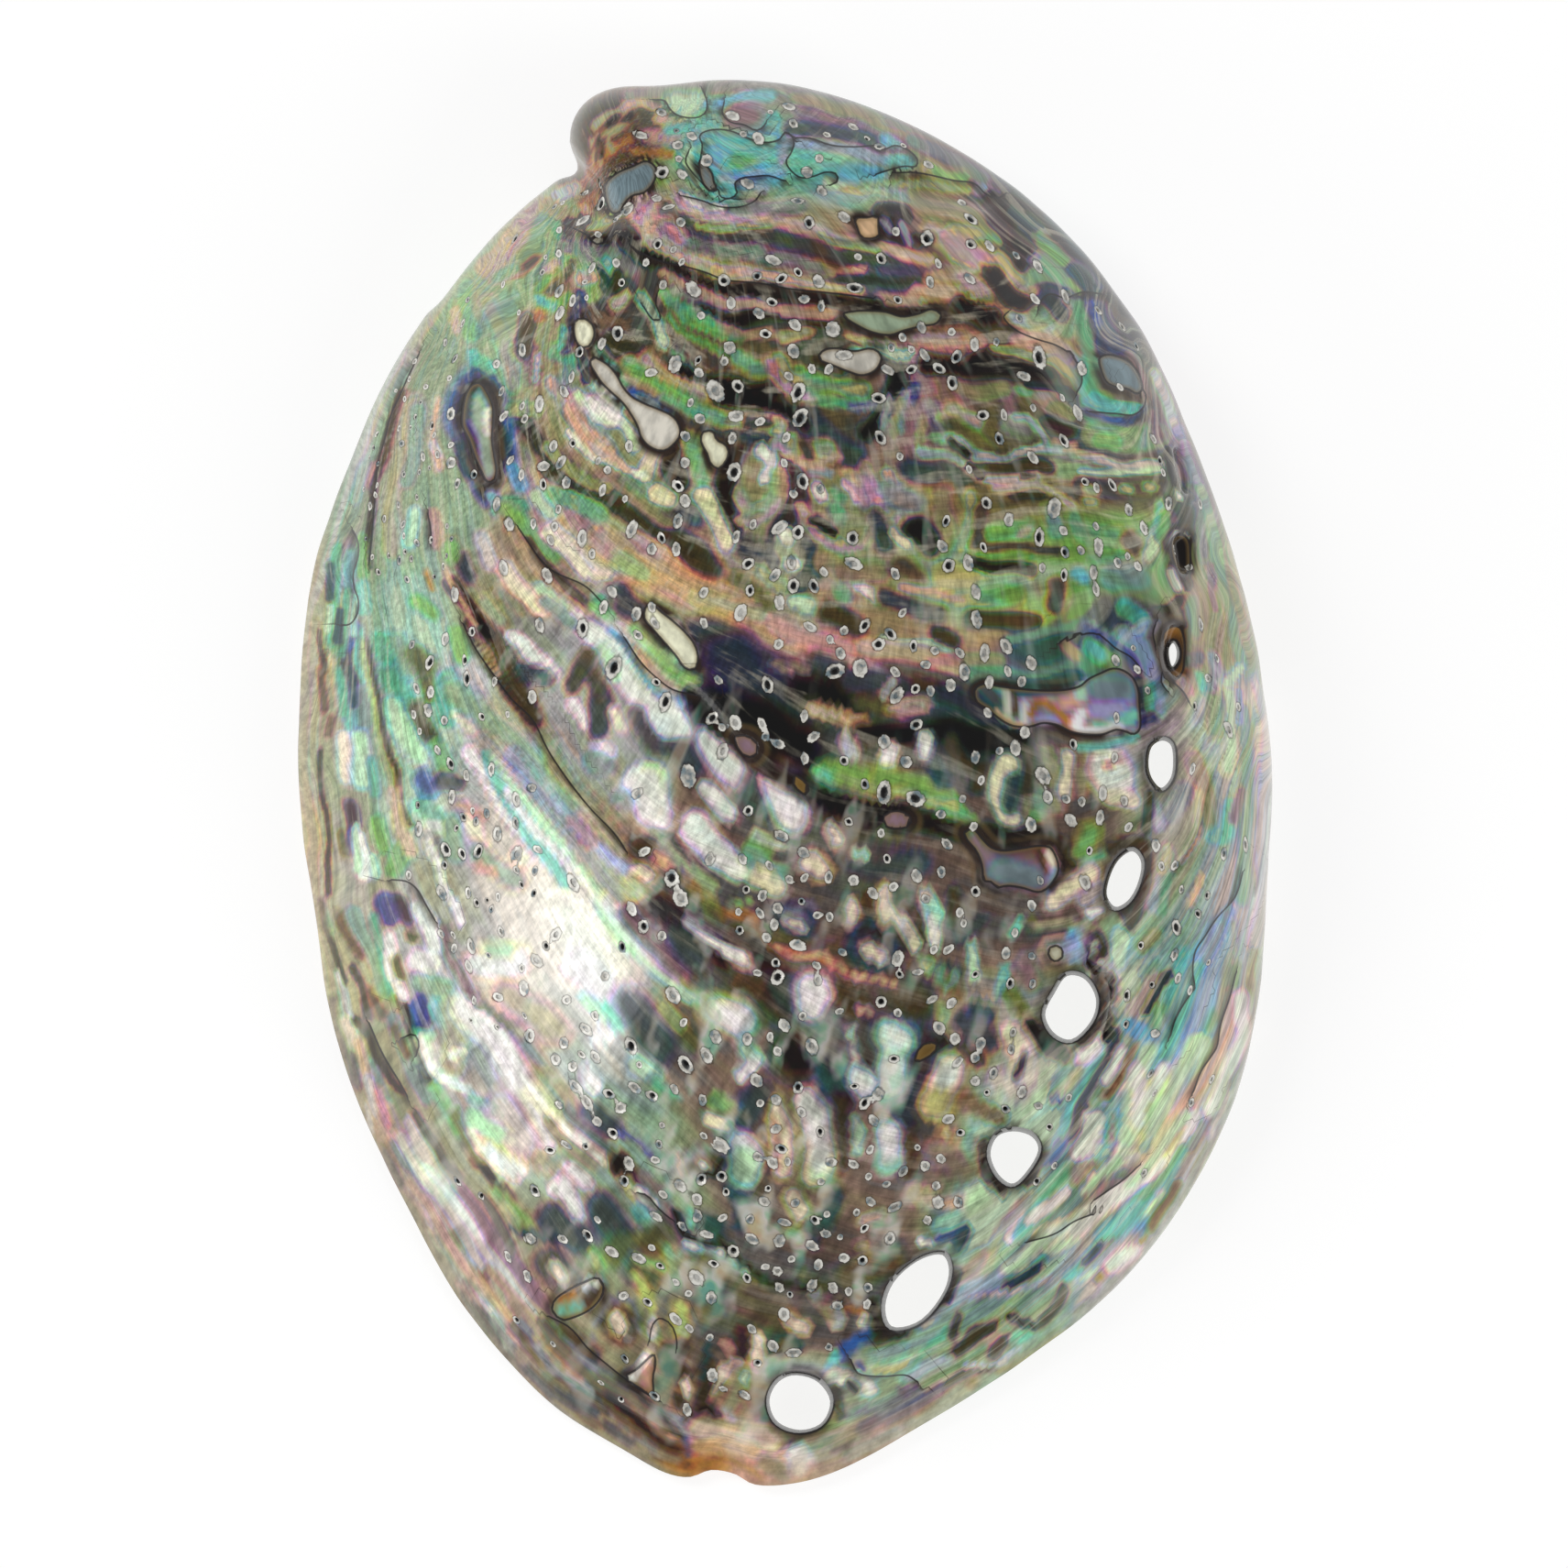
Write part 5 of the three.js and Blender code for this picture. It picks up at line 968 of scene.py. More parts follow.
# Thin dark lines where the polishing cut through one layer into the next.
CONTOURS = (
    (625, 250, 640, 258, 650, 268, 660, 266, 672, 256, 684, 262, 700, 278, 722, 288, 745, 293, 770, 300,
     790, 308, 830, 312, 860, 318, 900, 322, 950, 328),
    (712, 110, 725, 111, 730, 119, 737, 126, 750, 130, 763, 129, 770, 123, 771, 112, 766, 98),
    (790, 112, 788, 125, 797, 135, 812, 138, 824, 144, 830, 142, 836, 135),
    (752, 166, 748, 178, 755, 190, 765, 201, 772, 208),
    (764, 176, 766, 160, 763, 150, 770, 145, 784, 143, 798, 145, 812, 151, 826, 156, 842, 157, 851, 153,
     856, 146, 863, 150, 866, 158, 862, 170, 857, 178, 862, 188, 873, 196, 886, 195, 900, 190, 912, 192,
     913, 200, 905, 204),
    (784, 210, 786, 217, 796, 219, 804, 213, 801, 203, 808, 197, 822, 195, 838, 194, 856, 200),
    (868, 152, 885, 153, 905, 160, 930, 162, 955, 160),
    (745, 216, 765, 221, 785, 228, 808, 228, 824, 221, 829, 213),
    (718, 322, 716, 334, 722, 350, 714, 352, 702, 336),
    (955, 160, 965, 164, 975, 160, 990, 165, 1000, 176, 998, 183, 985, 183, 970, 187, 955, 192),
    (975, 190, 1000, 190, 1040, 198, 1062, 201, 1074, 212, 1086, 217, 1096, 212),
    (1098, 342, 1093, 347, 1098, 355, 1110, 364, 1130, 372, 1150, 378, 1166, 388, 1176, 402),
    (1130, 338, 1134, 329, 1144, 322, 1160, 326, 1180, 319, 1200, 321),
    (1165, 384, 1175, 398, 1178, 418, 1172, 430),
    (1186, 450, 1215, 452, 1234, 453, 1245, 445, 1248, 432, 1244, 424),
    (1160, 700, 1175, 693, 1195, 691, 1202, 698),
    (566, 575, 600, 620, 640, 640, 660, 660),
    (682, 695, 700, 722, 718, 740, 735, 752, 760, 758),
    (507, 680, 520, 706, 542, 738, 560, 762, 583, 785, 600, 818, 620, 848, 645, 880, 672, 908, 684, 926),
    (428, 958, 445, 960, 456, 968, 466, 985, 476, 1002),
    (1154, 700, 1165, 693, 1185, 690, 1200, 695, 1214, 707, 1230, 716, 1240, 727),
    (1354, 950, 1346, 976, 1325, 1000, 1312, 1020, 1302, 1035, 1299, 1058, 1302, 1075),
    (402, 1112, 418, 1148, 436, 1178, 446, 1196),
    (440, 1130, 452, 1126, 458, 1136, 455, 1148),
    (1347, 1058, 1340, 1086, 1330, 1116, 1326, 1140, 1320, 1150, 1309, 1166, 1300, 1190),
    (1302, 1075, 1290, 1092, 1280, 1110, 1274, 1130),
    (1242, 1268, 1226, 1283, 1206, 1297, 1190, 1308),
    (1190, 1322, 1170, 1330, 1150, 1343, 1120, 1352),
    (600, 1434, 622, 1446, 641, 1468, 661, 1485, 681, 1501, 702, 1516, 718, 1526),
    (928, 1482, 935, 1495, 945, 1498, 965, 1499, 988, 1498, 1000, 1505),
    (698, 1298, 706, 1300, 718, 1314, 734, 1328),
    (708, 1462, 712, 1442, 720, 1435, 732, 1442, 738, 1458, 738, 1470),
    (458, 385, 450, 402, 437, 430, 426, 455, 420, 480, 413, 505, 410, 540, 407, 575, 404, 612),
    (385, 577, 391, 590, 391, 608, 386, 625, 387, 640, 392, 655, 390, 670, 382, 680, 372, 681),
    (468, 560, 471, 576, 472, 592),
    (643, 255, 650, 268, 662, 266, 675, 257, 688, 270, 700, 283),
    (1258, 680, 1255, 690, 1258, 706),
    (1272, 734, 1278, 744, 1288, 754, 1296, 768),
    (1266, 728, 1264, 744, 1270, 752),
)

# Pits that worms left: larger ones, then usual ones.
LARGE_PITS = (
    (675, 366), (737, 400), (781, 429), (805, 424), (801, 517), (796, 382), (757, 319), (790, 311),
    (870, 430), (872, 458), (875, 527), (723, 192), (931, 318), (908, 362), (1010, 262), (1058, 240),
    (1132, 391), (1070, 455), (1088, 480), (1147, 555), (1131, 587), (1125, 605), (1033, 618), (929, 588),
    (636, 685), (670, 728), (726, 765), (695, 670), (837, 747), (751, 845), (565, 930), (627, 961),
    (733, 956), (743, 977), (848, 1063), (735, 1082), (753, 1095), (689, 1138), (748, 1158), (771, 1148),
    (781, 1128), (1063, 676), (977, 758), (937, 729), (910, 732), (998, 790), (963, 808), (963, 863),
    (997, 870), (942, 854), (1135, 845), (669, 1233), (760, 1390), (785, 1245), (825, 1175), (800, 1360),
)
PITS = (
    (592, 298), (611, 319), (612, 343), (603, 350), (571, 383), (590, 442), (571, 444), (569, 457),
    (625, 413), (617, 429), (543, 398), (493, 452), (549, 428), (551, 455), (493, 505), (487, 514),
    (500, 528), (518, 518), (558, 503), (570, 519), (579, 531), (543, 551), (613, 506), (594, 510),
    (605, 488), (626, 485), (619, 528), (631, 531), (658, 536), (606, 575), (601, 590), (636, 588),
    (631, 603), (647, 605), (555, 572), (563, 560), (551, 620), (633, 386), (658, 377), (711, 409),
    (742, 408), (767, 419), (803, 456), (799, 480), (797, 493), (790, 392), (765, 347), (753, 332),
    (724, 314), (826, 306), (840, 314), (828, 345), (835, 367), (867, 357), (867, 367), (865, 386),
    (860, 413), (857, 479), (877, 331), (870, 300), (843, 287), (690, 578), (700, 575), (722, 588),
    (738, 600), (740, 570), (712, 600), (686, 590), (740, 532), (735, 545), (748, 548), (803, 587),
    (816, 616), (850, 577), (870, 582), (688, 489), (688, 500), (748, 478), (743, 245), (708, 192),
    (681, 228), (652, 222), (653, 232), (637, 243), (637, 210), (716, 215), (755, 152), (740, 163),
    (702, 160), (708, 148), (723, 130), (757, 113), (799, 128), (815, 200), (827, 153), (771, 178),
    (820, 112), (787, 98), (885, 405), (895, 338), (892, 311), (983, 371), (978, 330), (935, 283),
    (960, 285), (1022, 290), (1016, 301), (1013, 310), (1056, 306), (1058, 268), (1078, 270), (1007, 390),
    (1042, 391), (1037, 420), (1023, 404), (1128, 375), (1085, 375), (957, 437), (959, 480), (980, 500),
    (1158, 482), (1115, 412), (1133, 412), (1173, 452), (1257, 505), (1260, 518), (1193, 533), (1210, 530),
    (1074, 550), (1098, 568), (1134, 620), (1157, 580), (1030, 570), (1026, 597), (930, 616), (898, 625),
    (887, 640), (897, 630), (975, 627), (1054, 615), (1195, 597), (1176, 601), (1216, 614), (1238, 618),
    (1227, 607), (1190, 625), (1158, 628), (1243, 577), (1228, 557), (1192, 575), (845, 577), (903, 406),
    (920, 390), (993, 405), (870, 218), (882, 245), (897, 205), (893, 175), (880, 188), (958, 162),
    (1012, 181), (1052, 217), (1018, 253), (920, 240), (1107, 280), (1130, 292), (1123, 308), (1127, 328),
    (1160, 325), (1165, 343), (1220, 358), (1235, 380), (1178, 403), (1282, 475), (1305, 550), (875, 110),
    (918, 115), (860, 118), (925, 128), (930, 140), (865, 137), (503, 649), (551, 621), (488, 697),
    (470, 722), (456, 750), (471, 754), (468, 774), (486, 785), (510, 720), (511, 740), (523, 740),
    (527, 781), (543, 775), (591, 682), (596, 628), (582, 760), (592, 757), (683, 713), (716, 744),
    (696, 693), (659, 663), (669, 646), (712, 663), (715, 680), (768, 647), (768, 680), (808, 669),
    (818, 645), (819, 658), (850, 658), (855, 672), (849, 703), (863, 700), (784, 742), (865, 640),
    (776, 783), (787, 793), (802, 788), (831, 789), (788, 819), (849, 811), (877, 827), (696, 864),
    (816, 883), (540, 838), (510, 845), (492, 832), (494, 868), (566, 870), (583, 858), (532, 886),
    (544, 908), (564, 896), (523, 927), (505, 930), (487, 925), (486, 942), (483, 972), (512, 972),
    (521, 983), (458, 903), (447, 953), (608, 1017), (690, 989), (680, 1030), (703, 1008), (723, 1018),
    (755, 993), (806, 992), (829, 994), (848, 988), (807, 1012), (836, 1020), (870, 1028), (846, 1047),
    (826, 1058), (861, 957), (852, 910), (867, 914), (876, 928), (775, 935), (810, 935), (814, 968),
    (704, 927), (661, 1062), (587, 1045), (512, 1052), (482, 1017), (515, 1030), (545, 1085), (521, 1088),
    (573, 1075), (587, 1075), (650, 1105), (579, 1127), (616, 1135), (640, 1120), (650, 1150), (607, 1153),
    (815, 1130), (827, 1135), (855, 1115), (848, 1143), (942, 683), (947, 670), (953, 675), (957, 703),
    (970, 692), (982, 692), (995, 705), (1000, 713), (1018, 710), (1008, 725), (1000, 732), (975, 733),
    (985, 740), (909, 745), (916, 713), (930, 717), (1035, 747), (1040, 760), (1050, 733), (1072, 712),
    (1078, 700), (1095, 705), (1097, 732), (1122, 723), (1127, 708), (1077, 744), (1112, 743), (887, 803),
    (987, 830), (963, 852), (962, 875), (942, 854), (1025, 887), (1048, 870), (1057, 880), (1068, 850),
    (1062, 825), (1088, 818), (1105, 815), (1115, 798), (1168, 811), (1178, 820), (1127, 857), (1140, 868),
    (1160, 870), (1177, 873), (1200, 864), (1222, 872), (1225, 900), (1197, 890), (1165, 893), (1122, 898),
    (1060, 900), (1031, 919), (960, 907), (925, 895), (877, 955), (903, 955), (930, 958), (906, 968),
    (998, 953), (1025, 949), (1045, 993), (1062, 970), (951, 972), (973, 965), (1105, 1015), (1095, 1037),
    (1091, 1052), (1123, 1040), (1062, 1060), (1055, 1066), (1033, 1033), (1017, 1033), (978, 1043),
    (1100, 1070), (1098, 1080), (1128, 1088), (1124, 1070), (1129, 1110), (1015, 1087), (1036, 1091),
    (960, 1090), (980, 1060), (890, 1050), (915, 1100), (978, 1102), (875, 1105), (885, 1138), (1023, 1118),
    (1040, 1130), (1055, 1135), (1068, 1135), (1033, 1140), (1043, 1155), (1302, 838), (1265, 943),
    (1283, 943), (1333, 930), (1315, 975), (1305, 995), (1283, 1010), (1280, 1040), (1245, 1030),
    (1283, 1065), (1258, 1125), (1178, 1135), (1230, 1085), (1180, 960), (1190, 965), (1247, 915),
    (1255, 920), (1357, 920), (1340, 795), (1350, 770), (1237, 730), (1214, 720), (1215, 782), (1310, 680),
    (1320, 668), (687, 1265), (700, 1263), (715, 1262), (742, 1290), (735, 1295), (765, 1283), (773, 1290),
    (787, 1280), (795, 1285), (792, 1297), (760, 1305), (770, 1313), (748, 1310), (745, 1333), (829, 1200),
    (870, 1183), (712, 1192), (842, 1265), (849, 1272), (833, 1307), (840, 1310), (826, 1315), (855, 1330),
    (853, 1320), (865, 1317), (820, 1348), (827, 1355), (850, 1350), (860, 1350), (835, 1378), (848, 1383),
    (815, 1388), (863, 1370), (850, 1398), (855, 1430), (843, 1465), (788, 1325), (795, 1335), (776, 1412),
    (957, 1190), (948, 1250), (966, 1288), (1062, 1176), (1060, 1162), (1033, 1217), (1025, 1260),
    (900, 1342), (920, 1368), (892, 1376), (908, 1400), (746, 1112), (738, 1176), (723, 1190), (706, 1187),
    (693, 1183), (628, 1182), (641, 1200), (654, 1193), (665, 1190), (660, 1204), (678, 1205), (672, 1212),
    (652, 1220), (846, 1196), (846, 1228), (852, 1250), (840, 1265), (906, 1264), (930, 1266), (921, 1274),
    (895, 1286), (950, 1190), (942, 1200), (1062, 1150), (1056, 1160), (1046, 1232), (1060, 1234),
    (1024, 1246), (1008, 1268), (1020, 1290), (1094, 1205), (1111, 1186), (1128, 1200), (1110, 1205),
    (984, 1274), (949, 1307), (946, 1317), (942, 1336), (936, 1346), (955, 1345), (970, 1347), (975, 1313),
    (983, 1328), (1010, 1327), (1015, 1292), (1030, 1296), (1043, 1306), (1022, 1308), (885, 1355),
    (877, 1365), (914, 1358), (940, 1371), (900, 1371), (905, 1381), (885, 1397), (925, 1405), (946, 1400),
    (913, 1420), (758, 1390), (771, 1405), (737, 1436), (752, 1446), (774, 1456), (840, 1452), (903, 1464),
    (826, 1484), (853, 1487), (812, 1519), (777, 1498), (865, 1472), (720, 1378), (737, 1395), (697, 1370),
    (706, 1418), (680, 1411), (667, 1363), (711, 1358), (581, 1346), (556, 1367), (580, 1385), (567, 1386),
    (614, 1349), (584, 1296), (571, 1303), (530, 1299), (502, 1285),
)

# Areas of further small pits: left, top, right and bottom, how many, and their usual radius.
PIT_AREAS = (
    (700, 95, 1000, 200, 20, 4),
    (600, 200, 760, 330, 28, 4),
    (740, 290, 900, 560, 30, 4.5),
    (560, 380, 700, 620, 16, 4.5),
    (400, 380, 500, 640, 80, 3),
    (440, 250, 600, 400, 22, 3.5),
    (900, 230, 1080, 420, 15, 4.5),
    (1050, 250, 1280, 640, 20, 4.5),
    (820, 560, 1080, 800, 24, 4.5),
    (440, 680, 560, 900, 20, 4),
    (820, 800, 1240, 960, 14, 4.5),
    (820, 960, 1140, 1180, 22, 4.5),
    (480, 900, 600, 1120, 36, 3.5),
    (600, 1080, 760, 1260, 24, 4.5),
    (740, 1180, 1080, 1420, 50, 4.5),
    (560, 1250, 860, 1540, 30, 4.5),
    (1060, 1100, 1180, 1330, 12, 4.5),
    (1180, 550, 1340, 1320, 34, 4),
    (700, 1540, 1100, 1600, 8, 4),
)
PIT_SEED = 11
LARGE_PIT_RADIUS = 7
USUAL_PIT_RADIUS = 5.2
PIT_GAP = 1.5


# Keeps a division or a logarithm away from zero.
TINY = 1e-9


def smoothstep(low, high, value):
    part = np.clip((value - low) / (high - low), 0, 1)
    return part * part * (3 - 2 * part)


def mix(first, second, part):
    return first + (second - first) * part


def placed(pixels):
    """Columns and rows of the picture as millimetres seen from above."""
    return (np.asarray(pixels, float) - MIDDLE_PIXEL) * (MM_PER_PIXEL, -MM_PER_PIXEL)


def pixels_of(places):
    """Millimetres seen from above as columns and rows of the picture."""
    return places[:, :2] / (MM_PER_PIXEL, -MM_PER_PIXEL) + MIDDLE_PIXEL


def smoothed(points, samples, closed=False):
    """Points along a centripetal Catmull-Rom curve through the given ones."""
    points = np.asarray(points, float)
    if closed:
        padded = np.vstack((points[-1], points, points[:2]))
    else:
        padded = np.vstack((2 * points[0] - points[1], points, 2 * points[-1] - points[-2]))
    stretches = len(padded) - 3
    where = np.linspace(0, stretches, samples + 1)
    index = np.minimum(where.astype(int), stretches - 1)
    t = (where - index)[:, None]
    a, b, c, d = (padded[index + step] for step in range(4))
    gap_before, gap, gap_after = (
        np.maximum(np.linalg.norm(far - near, axis=1), TINY)[:, None] ** 0.5
        for near, far in ((a, b), (b, c), (c, d))
    )
    start = ((b - a) / gap_before - (c - a) / (gap_before + gap)) * gap + (c - b)
    end = ((d - c) / gap_after - (d - b) / (gap + gap_after)) * gap + (c - b)
    return b + t * start + t**2 * (3 * (c - b) - 2 * start - end) + t**3 * (2 * (b - c) + start + end)


def sides_of(points, line, limit):
    """The signed distance to an open line, positive on its left, and the distance itself."""
    side = np.full(len(points), float(limit))
    found = np.full(len(points), float(limit))
    near = np.all((points > line.min(0) - limit) & (points < line.max(0) + limit), axis=1)
    chosen = np.flatnonzero(near)
    spots = points[chosen]
    best = np.full(len(chosen), float(limit) ** 2)
    turn = np.ones(len(chosen))
    for start, end in zip(line[:-1], line[1:]):
        step = end - start
        arm = spots - start
        part = np.clip(arm @ step / max(step @ step, TINY), 0, 1)
        squared = ((arm - part[:, None] * step) ** 2).sum(1)
        closer = squared < best
        best = np.where(closer, squared, best)
        left = np.sign(step[0] * arm[:, 1] - step[1] * arm[:, 0])
        turn = np.where(closer, left, turn)
    found[chosen] = np.sqrt(best)
    side[chosen] = np.sqrt(best) * turn
    return side, found


def distance_to(points, line, limit):
    """How far each point is from a line of points, or the limit where it is further."""
    return sides_of(points, line, limit)[1]


def bell(points, line, spread, reach):
    """A bell curve beside a line: 1 on it, less with each spread away from it, and cut off at the reach."""
    return np.exp(-((distance_to(points, line, reach * spread) / spread) ** 2))


def inside(points, ring):
    """Which points lie inside a closed ring."""
    found = np.zeros(len(points), bool)
    near = np.flatnonzero(np.all((points > ring.min(0)) & (points < ring.max(0)), axis=1))
    x, y = points[near].T
    odd = np.zeros(len(near), bool)
    for (x0, y0), (x1, y1) in zip(ring, np.roll(ring, -1, axis=0)):
        if y0 != y1:
            odd ^= ((y0 > y) != (y1 > y)) & (x < (x1 - x0) * (y - y0) / (y1 - y0) + x0)
    found[near] = odd
    return found


CLOUD_TABLE = 64


def cloud(places, size, seed):
    """Smooth random values from -1 to 1 whose lumps are about as large as the size."""
    table = np.random.default_rng(seed).uniform(-1, 1, (CLOUD_TABLE, CLOUD_TABLE))
    spot = places / size
    corner = np.floor(spot).astype(int)
    u, v = smoothstep(0, 1, spot - corner).T
    i, j = corner.T % CLOUD_TABLE
    k, m = (i + 1) % CLOUD_TABLE, (j + 1) % CLOUD_TABLE
    return mix(mix(table[i, j], table[k, j], u), mix(table[i, m], table[k, m], u), v)


# The surface

crown = placed(CROWN_PIXEL)
OUTLINE_SAMPLES = 1600
outline_arms = smoothed(placed(OUTLINE), OUTLINE_SAMPLES, closed=True)[:-1] - crown
outline_angles = np.arctan2(outline_arms[:, 1], outline_arms[:, 0])
outline_reaches = np.linalg.norm(outline_arms, axis=1)
section_rows = np.array(SECTIONS + ((360,) + SECTIONS[0][1:],), float)

# Towards the crown the dome follows the outline less and less, so that the notch beside the spire
# leaves no furrow.
EVEN_DEGREES = (-24, -16, -8, 0, 8, 16, 24)
OUTLINE_HOLD = 5
NUDGE = 0.002


def outline_reach_at(angle):
    return np.interp(angle, outline_angles, outline_reaches, period=2 * math.pi)


def reach_at(angle, share):
    """How far the outline is from the crown in a direction, evened where the share is low."""
    evened = np.mean([outline_reach_at(angle + math.radians(turn)) for turn in EVEN_DEGREES], axis=0)
    return mix(evened, outline_reach_at(angle), share**OUTLINE_HOLD)


def section_at(angle, column):
    """One number of the cross-section in any direction, blended from the two listed beside it."""
    degrees = np.degrees(angle) % 360
    index = np.searchsorted(section_rows[:, 0], degrees, side="right") - 1
    index = np.clip(index, 0, len(SECTIONS) - 1)
    low, high = section_rows[index], section_rows[index + 1]
    part = smoothstep(0, 1, (degrees - low[:, 0]) / (high[:, 0] - low[:, 0]))
    return mix(low[:, column], high[:, column], part)


def point_at(angle, reach, height):
    return np.column_stack((crown[0] + reach * np.cos(angle), crown[1] + reach * np.sin(angle), height))


def smooth_outside(angle, share):
    """The outside without its folds: share runs from 0 at the crown to 1 at the widest point."""
    belly = section_at(angle, BELLY)
    curve = np.clip(1 - share ** section_at(angle, CROWN_POWER), 0, 1)
    drop = curve ** (1 / section_at(angle, SHOULDER_POWER))
    return point_at(angle, reach_at(angle, share) * share, belly + (HEIGHT - belly) * drop)


def normal_at(angle, share):
    """The direction square to the smooth outside."""
    low = np.maximum(share - NUDGE, 0)
    high = np.minimum(share + NUDGE, 1)
    outward = smooth_outside(angle, high) - smooth_outside(angle, low)
    around = smooth_outside(angle + NUDGE, share) - smooth_outside(angle - NUDGE, share)
    normal = np.cross(outward, around)
    normal[share < NUDGE] = (0, 0, 1)
    return normal / np.linalg.norm(normal, axis=1)[:, None]


# Points along each fold and round each hole, the depth and spread of the dish round a hole, and how
# many spreads away a fold or dish ends.
FOLD_SAMPLES = 60
HOLE_SAMPLES = 36
HOLE_DISH = 0.35
HOLE_DISH_SPREAD = 1
RELIEF_REACH = 4
# Slight waves of the surface: how high, how large in millimetres, and the seed.
WAVES = ((0.1, 9, 3), (0.05, 3.5, 4))
# Growth ripples: their height in millimetres, and where they fade near the outline. Each layer has
# its part of the height, its sizes from one line of growth to the next and along them, and its seed.
RIPPLE_HEIGHT = 0.13
RIPPLE_EDGE = (0.92, 0.98)
RIPPLES = ((0.7, 1.5, 26, 61), (0.3, 0.75, 12, 62))


def edge_share(spots):
    """How far columns and rows are from the crown, where 1 is the outline."""
    arm = placed(spots) - crown
    return np.linalg.norm(arm, axis=1) / reach_at(np.arctan2(arm[:, 1], arm[:, 0]), np.ones(len(spots)))


def ripple_at(spots):
    """How far the growth ripples rise or sink, as a share of their height, at columns and rows."""
    flow = np.column_stack(growth_at(spots))
    ripple = sum(part * cloud(flow / (size, length), 1, seed) for part, size, length, seed in RIPPLES)
    return ripple * (1 - smoothstep(*RIPPLE_EDGE, edge_share(spots)))


def relief_at(places):
    """How far folds, grooves, the spire, ripples and slight waves lift the outside, seen from above."""
    spire = np.linalg.norm(places - placed(SPIRE_PIXEL), axis=1)
    lift = SPIRE_HEIGHT * np.exp(-((spire / SPIRE_RADIUS) ** 2))
    for height, spread, *pixels in FOLDS + DENTS:
        line = smoothed(placed(pixels), FOLD_SAMPLES)
        lift += height * bell(places, line, spread, RELIEF_REACH)
    for pixels in HOLES:
        ring = smoothed(placed(pixels), HOLE_SAMPLES, closed=True)
        lift -= HOLE_DISH * bell(places, ring, HOLE_DISH_SPREAD, RELIEF_REACH)
    for height, size, seed in WAVES:
        lift += height * cloud(places, size, seed)
    spots = pixels_of(places)
    return lift + RIPPLE_HEIGHT * grain_marks(spots)[:, 1] * ripple_at(spots)


def outside_at(angle, share):
    """The outside with its folds and grooves."""
    point = smooth_outside(angle, share)
    return point + normal_at(angle, share) * relief_at(point[:, :2])[:, None]


def inside_at(angle, share, roof_wall, lip_wall):
    """The inside of the wall, whose thickness goes from the roof's to the lip's."""
    wall = mix(roof_wall, lip_wall, share)[:, None]
    return smooth_outside(angle, share) - normal_at(angle, share) * wall


def tuck_at(angle, turn):
    """Below the widest point the wall curves in and down to the flat rim."""
    reach = reach_at(angle, 1) - section_at(angle, TUCK) * (1 - math.cos(turn))
    return point_at(angle, reach, section_at(angle, BELLY) * (1 - math.sin(turn)))


def rim_at(angle):
    reach = reach_at(angle, 1) - section_at(angle, TUCK) - section_at(angle, RIM)
    return point_at(angle, reach, np.zeros(len(angle)))


def shelf_at(angle, part, roof_wall, lip_wall):
    """The inside of the rim, hollow between the rim's edge and the wall."""
    edge = rim_at(angle)
    wall = inside_at(angle, np.ones(len(angle)), roof_wall, lip_wall)
    hollow = mix(wall * (1, 1, 0), edge, 0.5)
    return (1 - part) ** 2 * edge + 2 * part * (1 - part) * hollow + part**2 * wall


SHARE_ROUNDS = 4


def share_of(places):
    """The direction and the share of places seen from above."""
    arm = places - crown
    angle = np.arctan2(arm[:, 1], arm[:, 0])
    share = np.ones(len(places))
    for _ in range(SHARE_ROUNDS):
        share = np.linalg.norm(arm, axis=1) / reach_at(angle, np.minimum(share, 1))
    return angle, np.minimum(share, 1)


# The wall as rings of points, from the crown over the outside to the rim and back up the inside

RING_STEP = 6
RING_CROWDING = 1.25
TUCK_TURNS = (30, 60, 90)
SHELF_PARTS = (0.35, 0.7)
OUTER_SIDE, RIM_SIDE, INNER_SIDE = range(3)


def joined(start, count, next_start, next_count):
    """Triangles between two rings of any two counts, going round both at the same pace."""
    faces = []
    i = j = 0
    steps = count if count > 1 else 0
    next_steps = next_count if next_count > 1 else 0
    while i < steps or j < next_steps:
        a, b = start + i % count, next_start + j % next_count
        if j >= next_steps or (i < steps and (i + 1) * next_steps <= (j + 1) * steps):
            i += 1
            faces.append((a, b, start + i % count))
        else:
            j += 1
            faces.append((a, b, next_start + j % next_count))
    return faces


def disc_rings(steps):
    """The directions and shares of the points of a disc, ring by ring from its middle."""
    counts = [1] + [step * RING_STEP for step in range(1, steps + 1)]
    angles = [np.arange(count) * 2 * math.pi / count for count in counts]
    shares = [np.full(count, 1 - (1 - step / steps) ** RING_CROWDING) for step, count in enumerate(counts)]
    return angles, shares


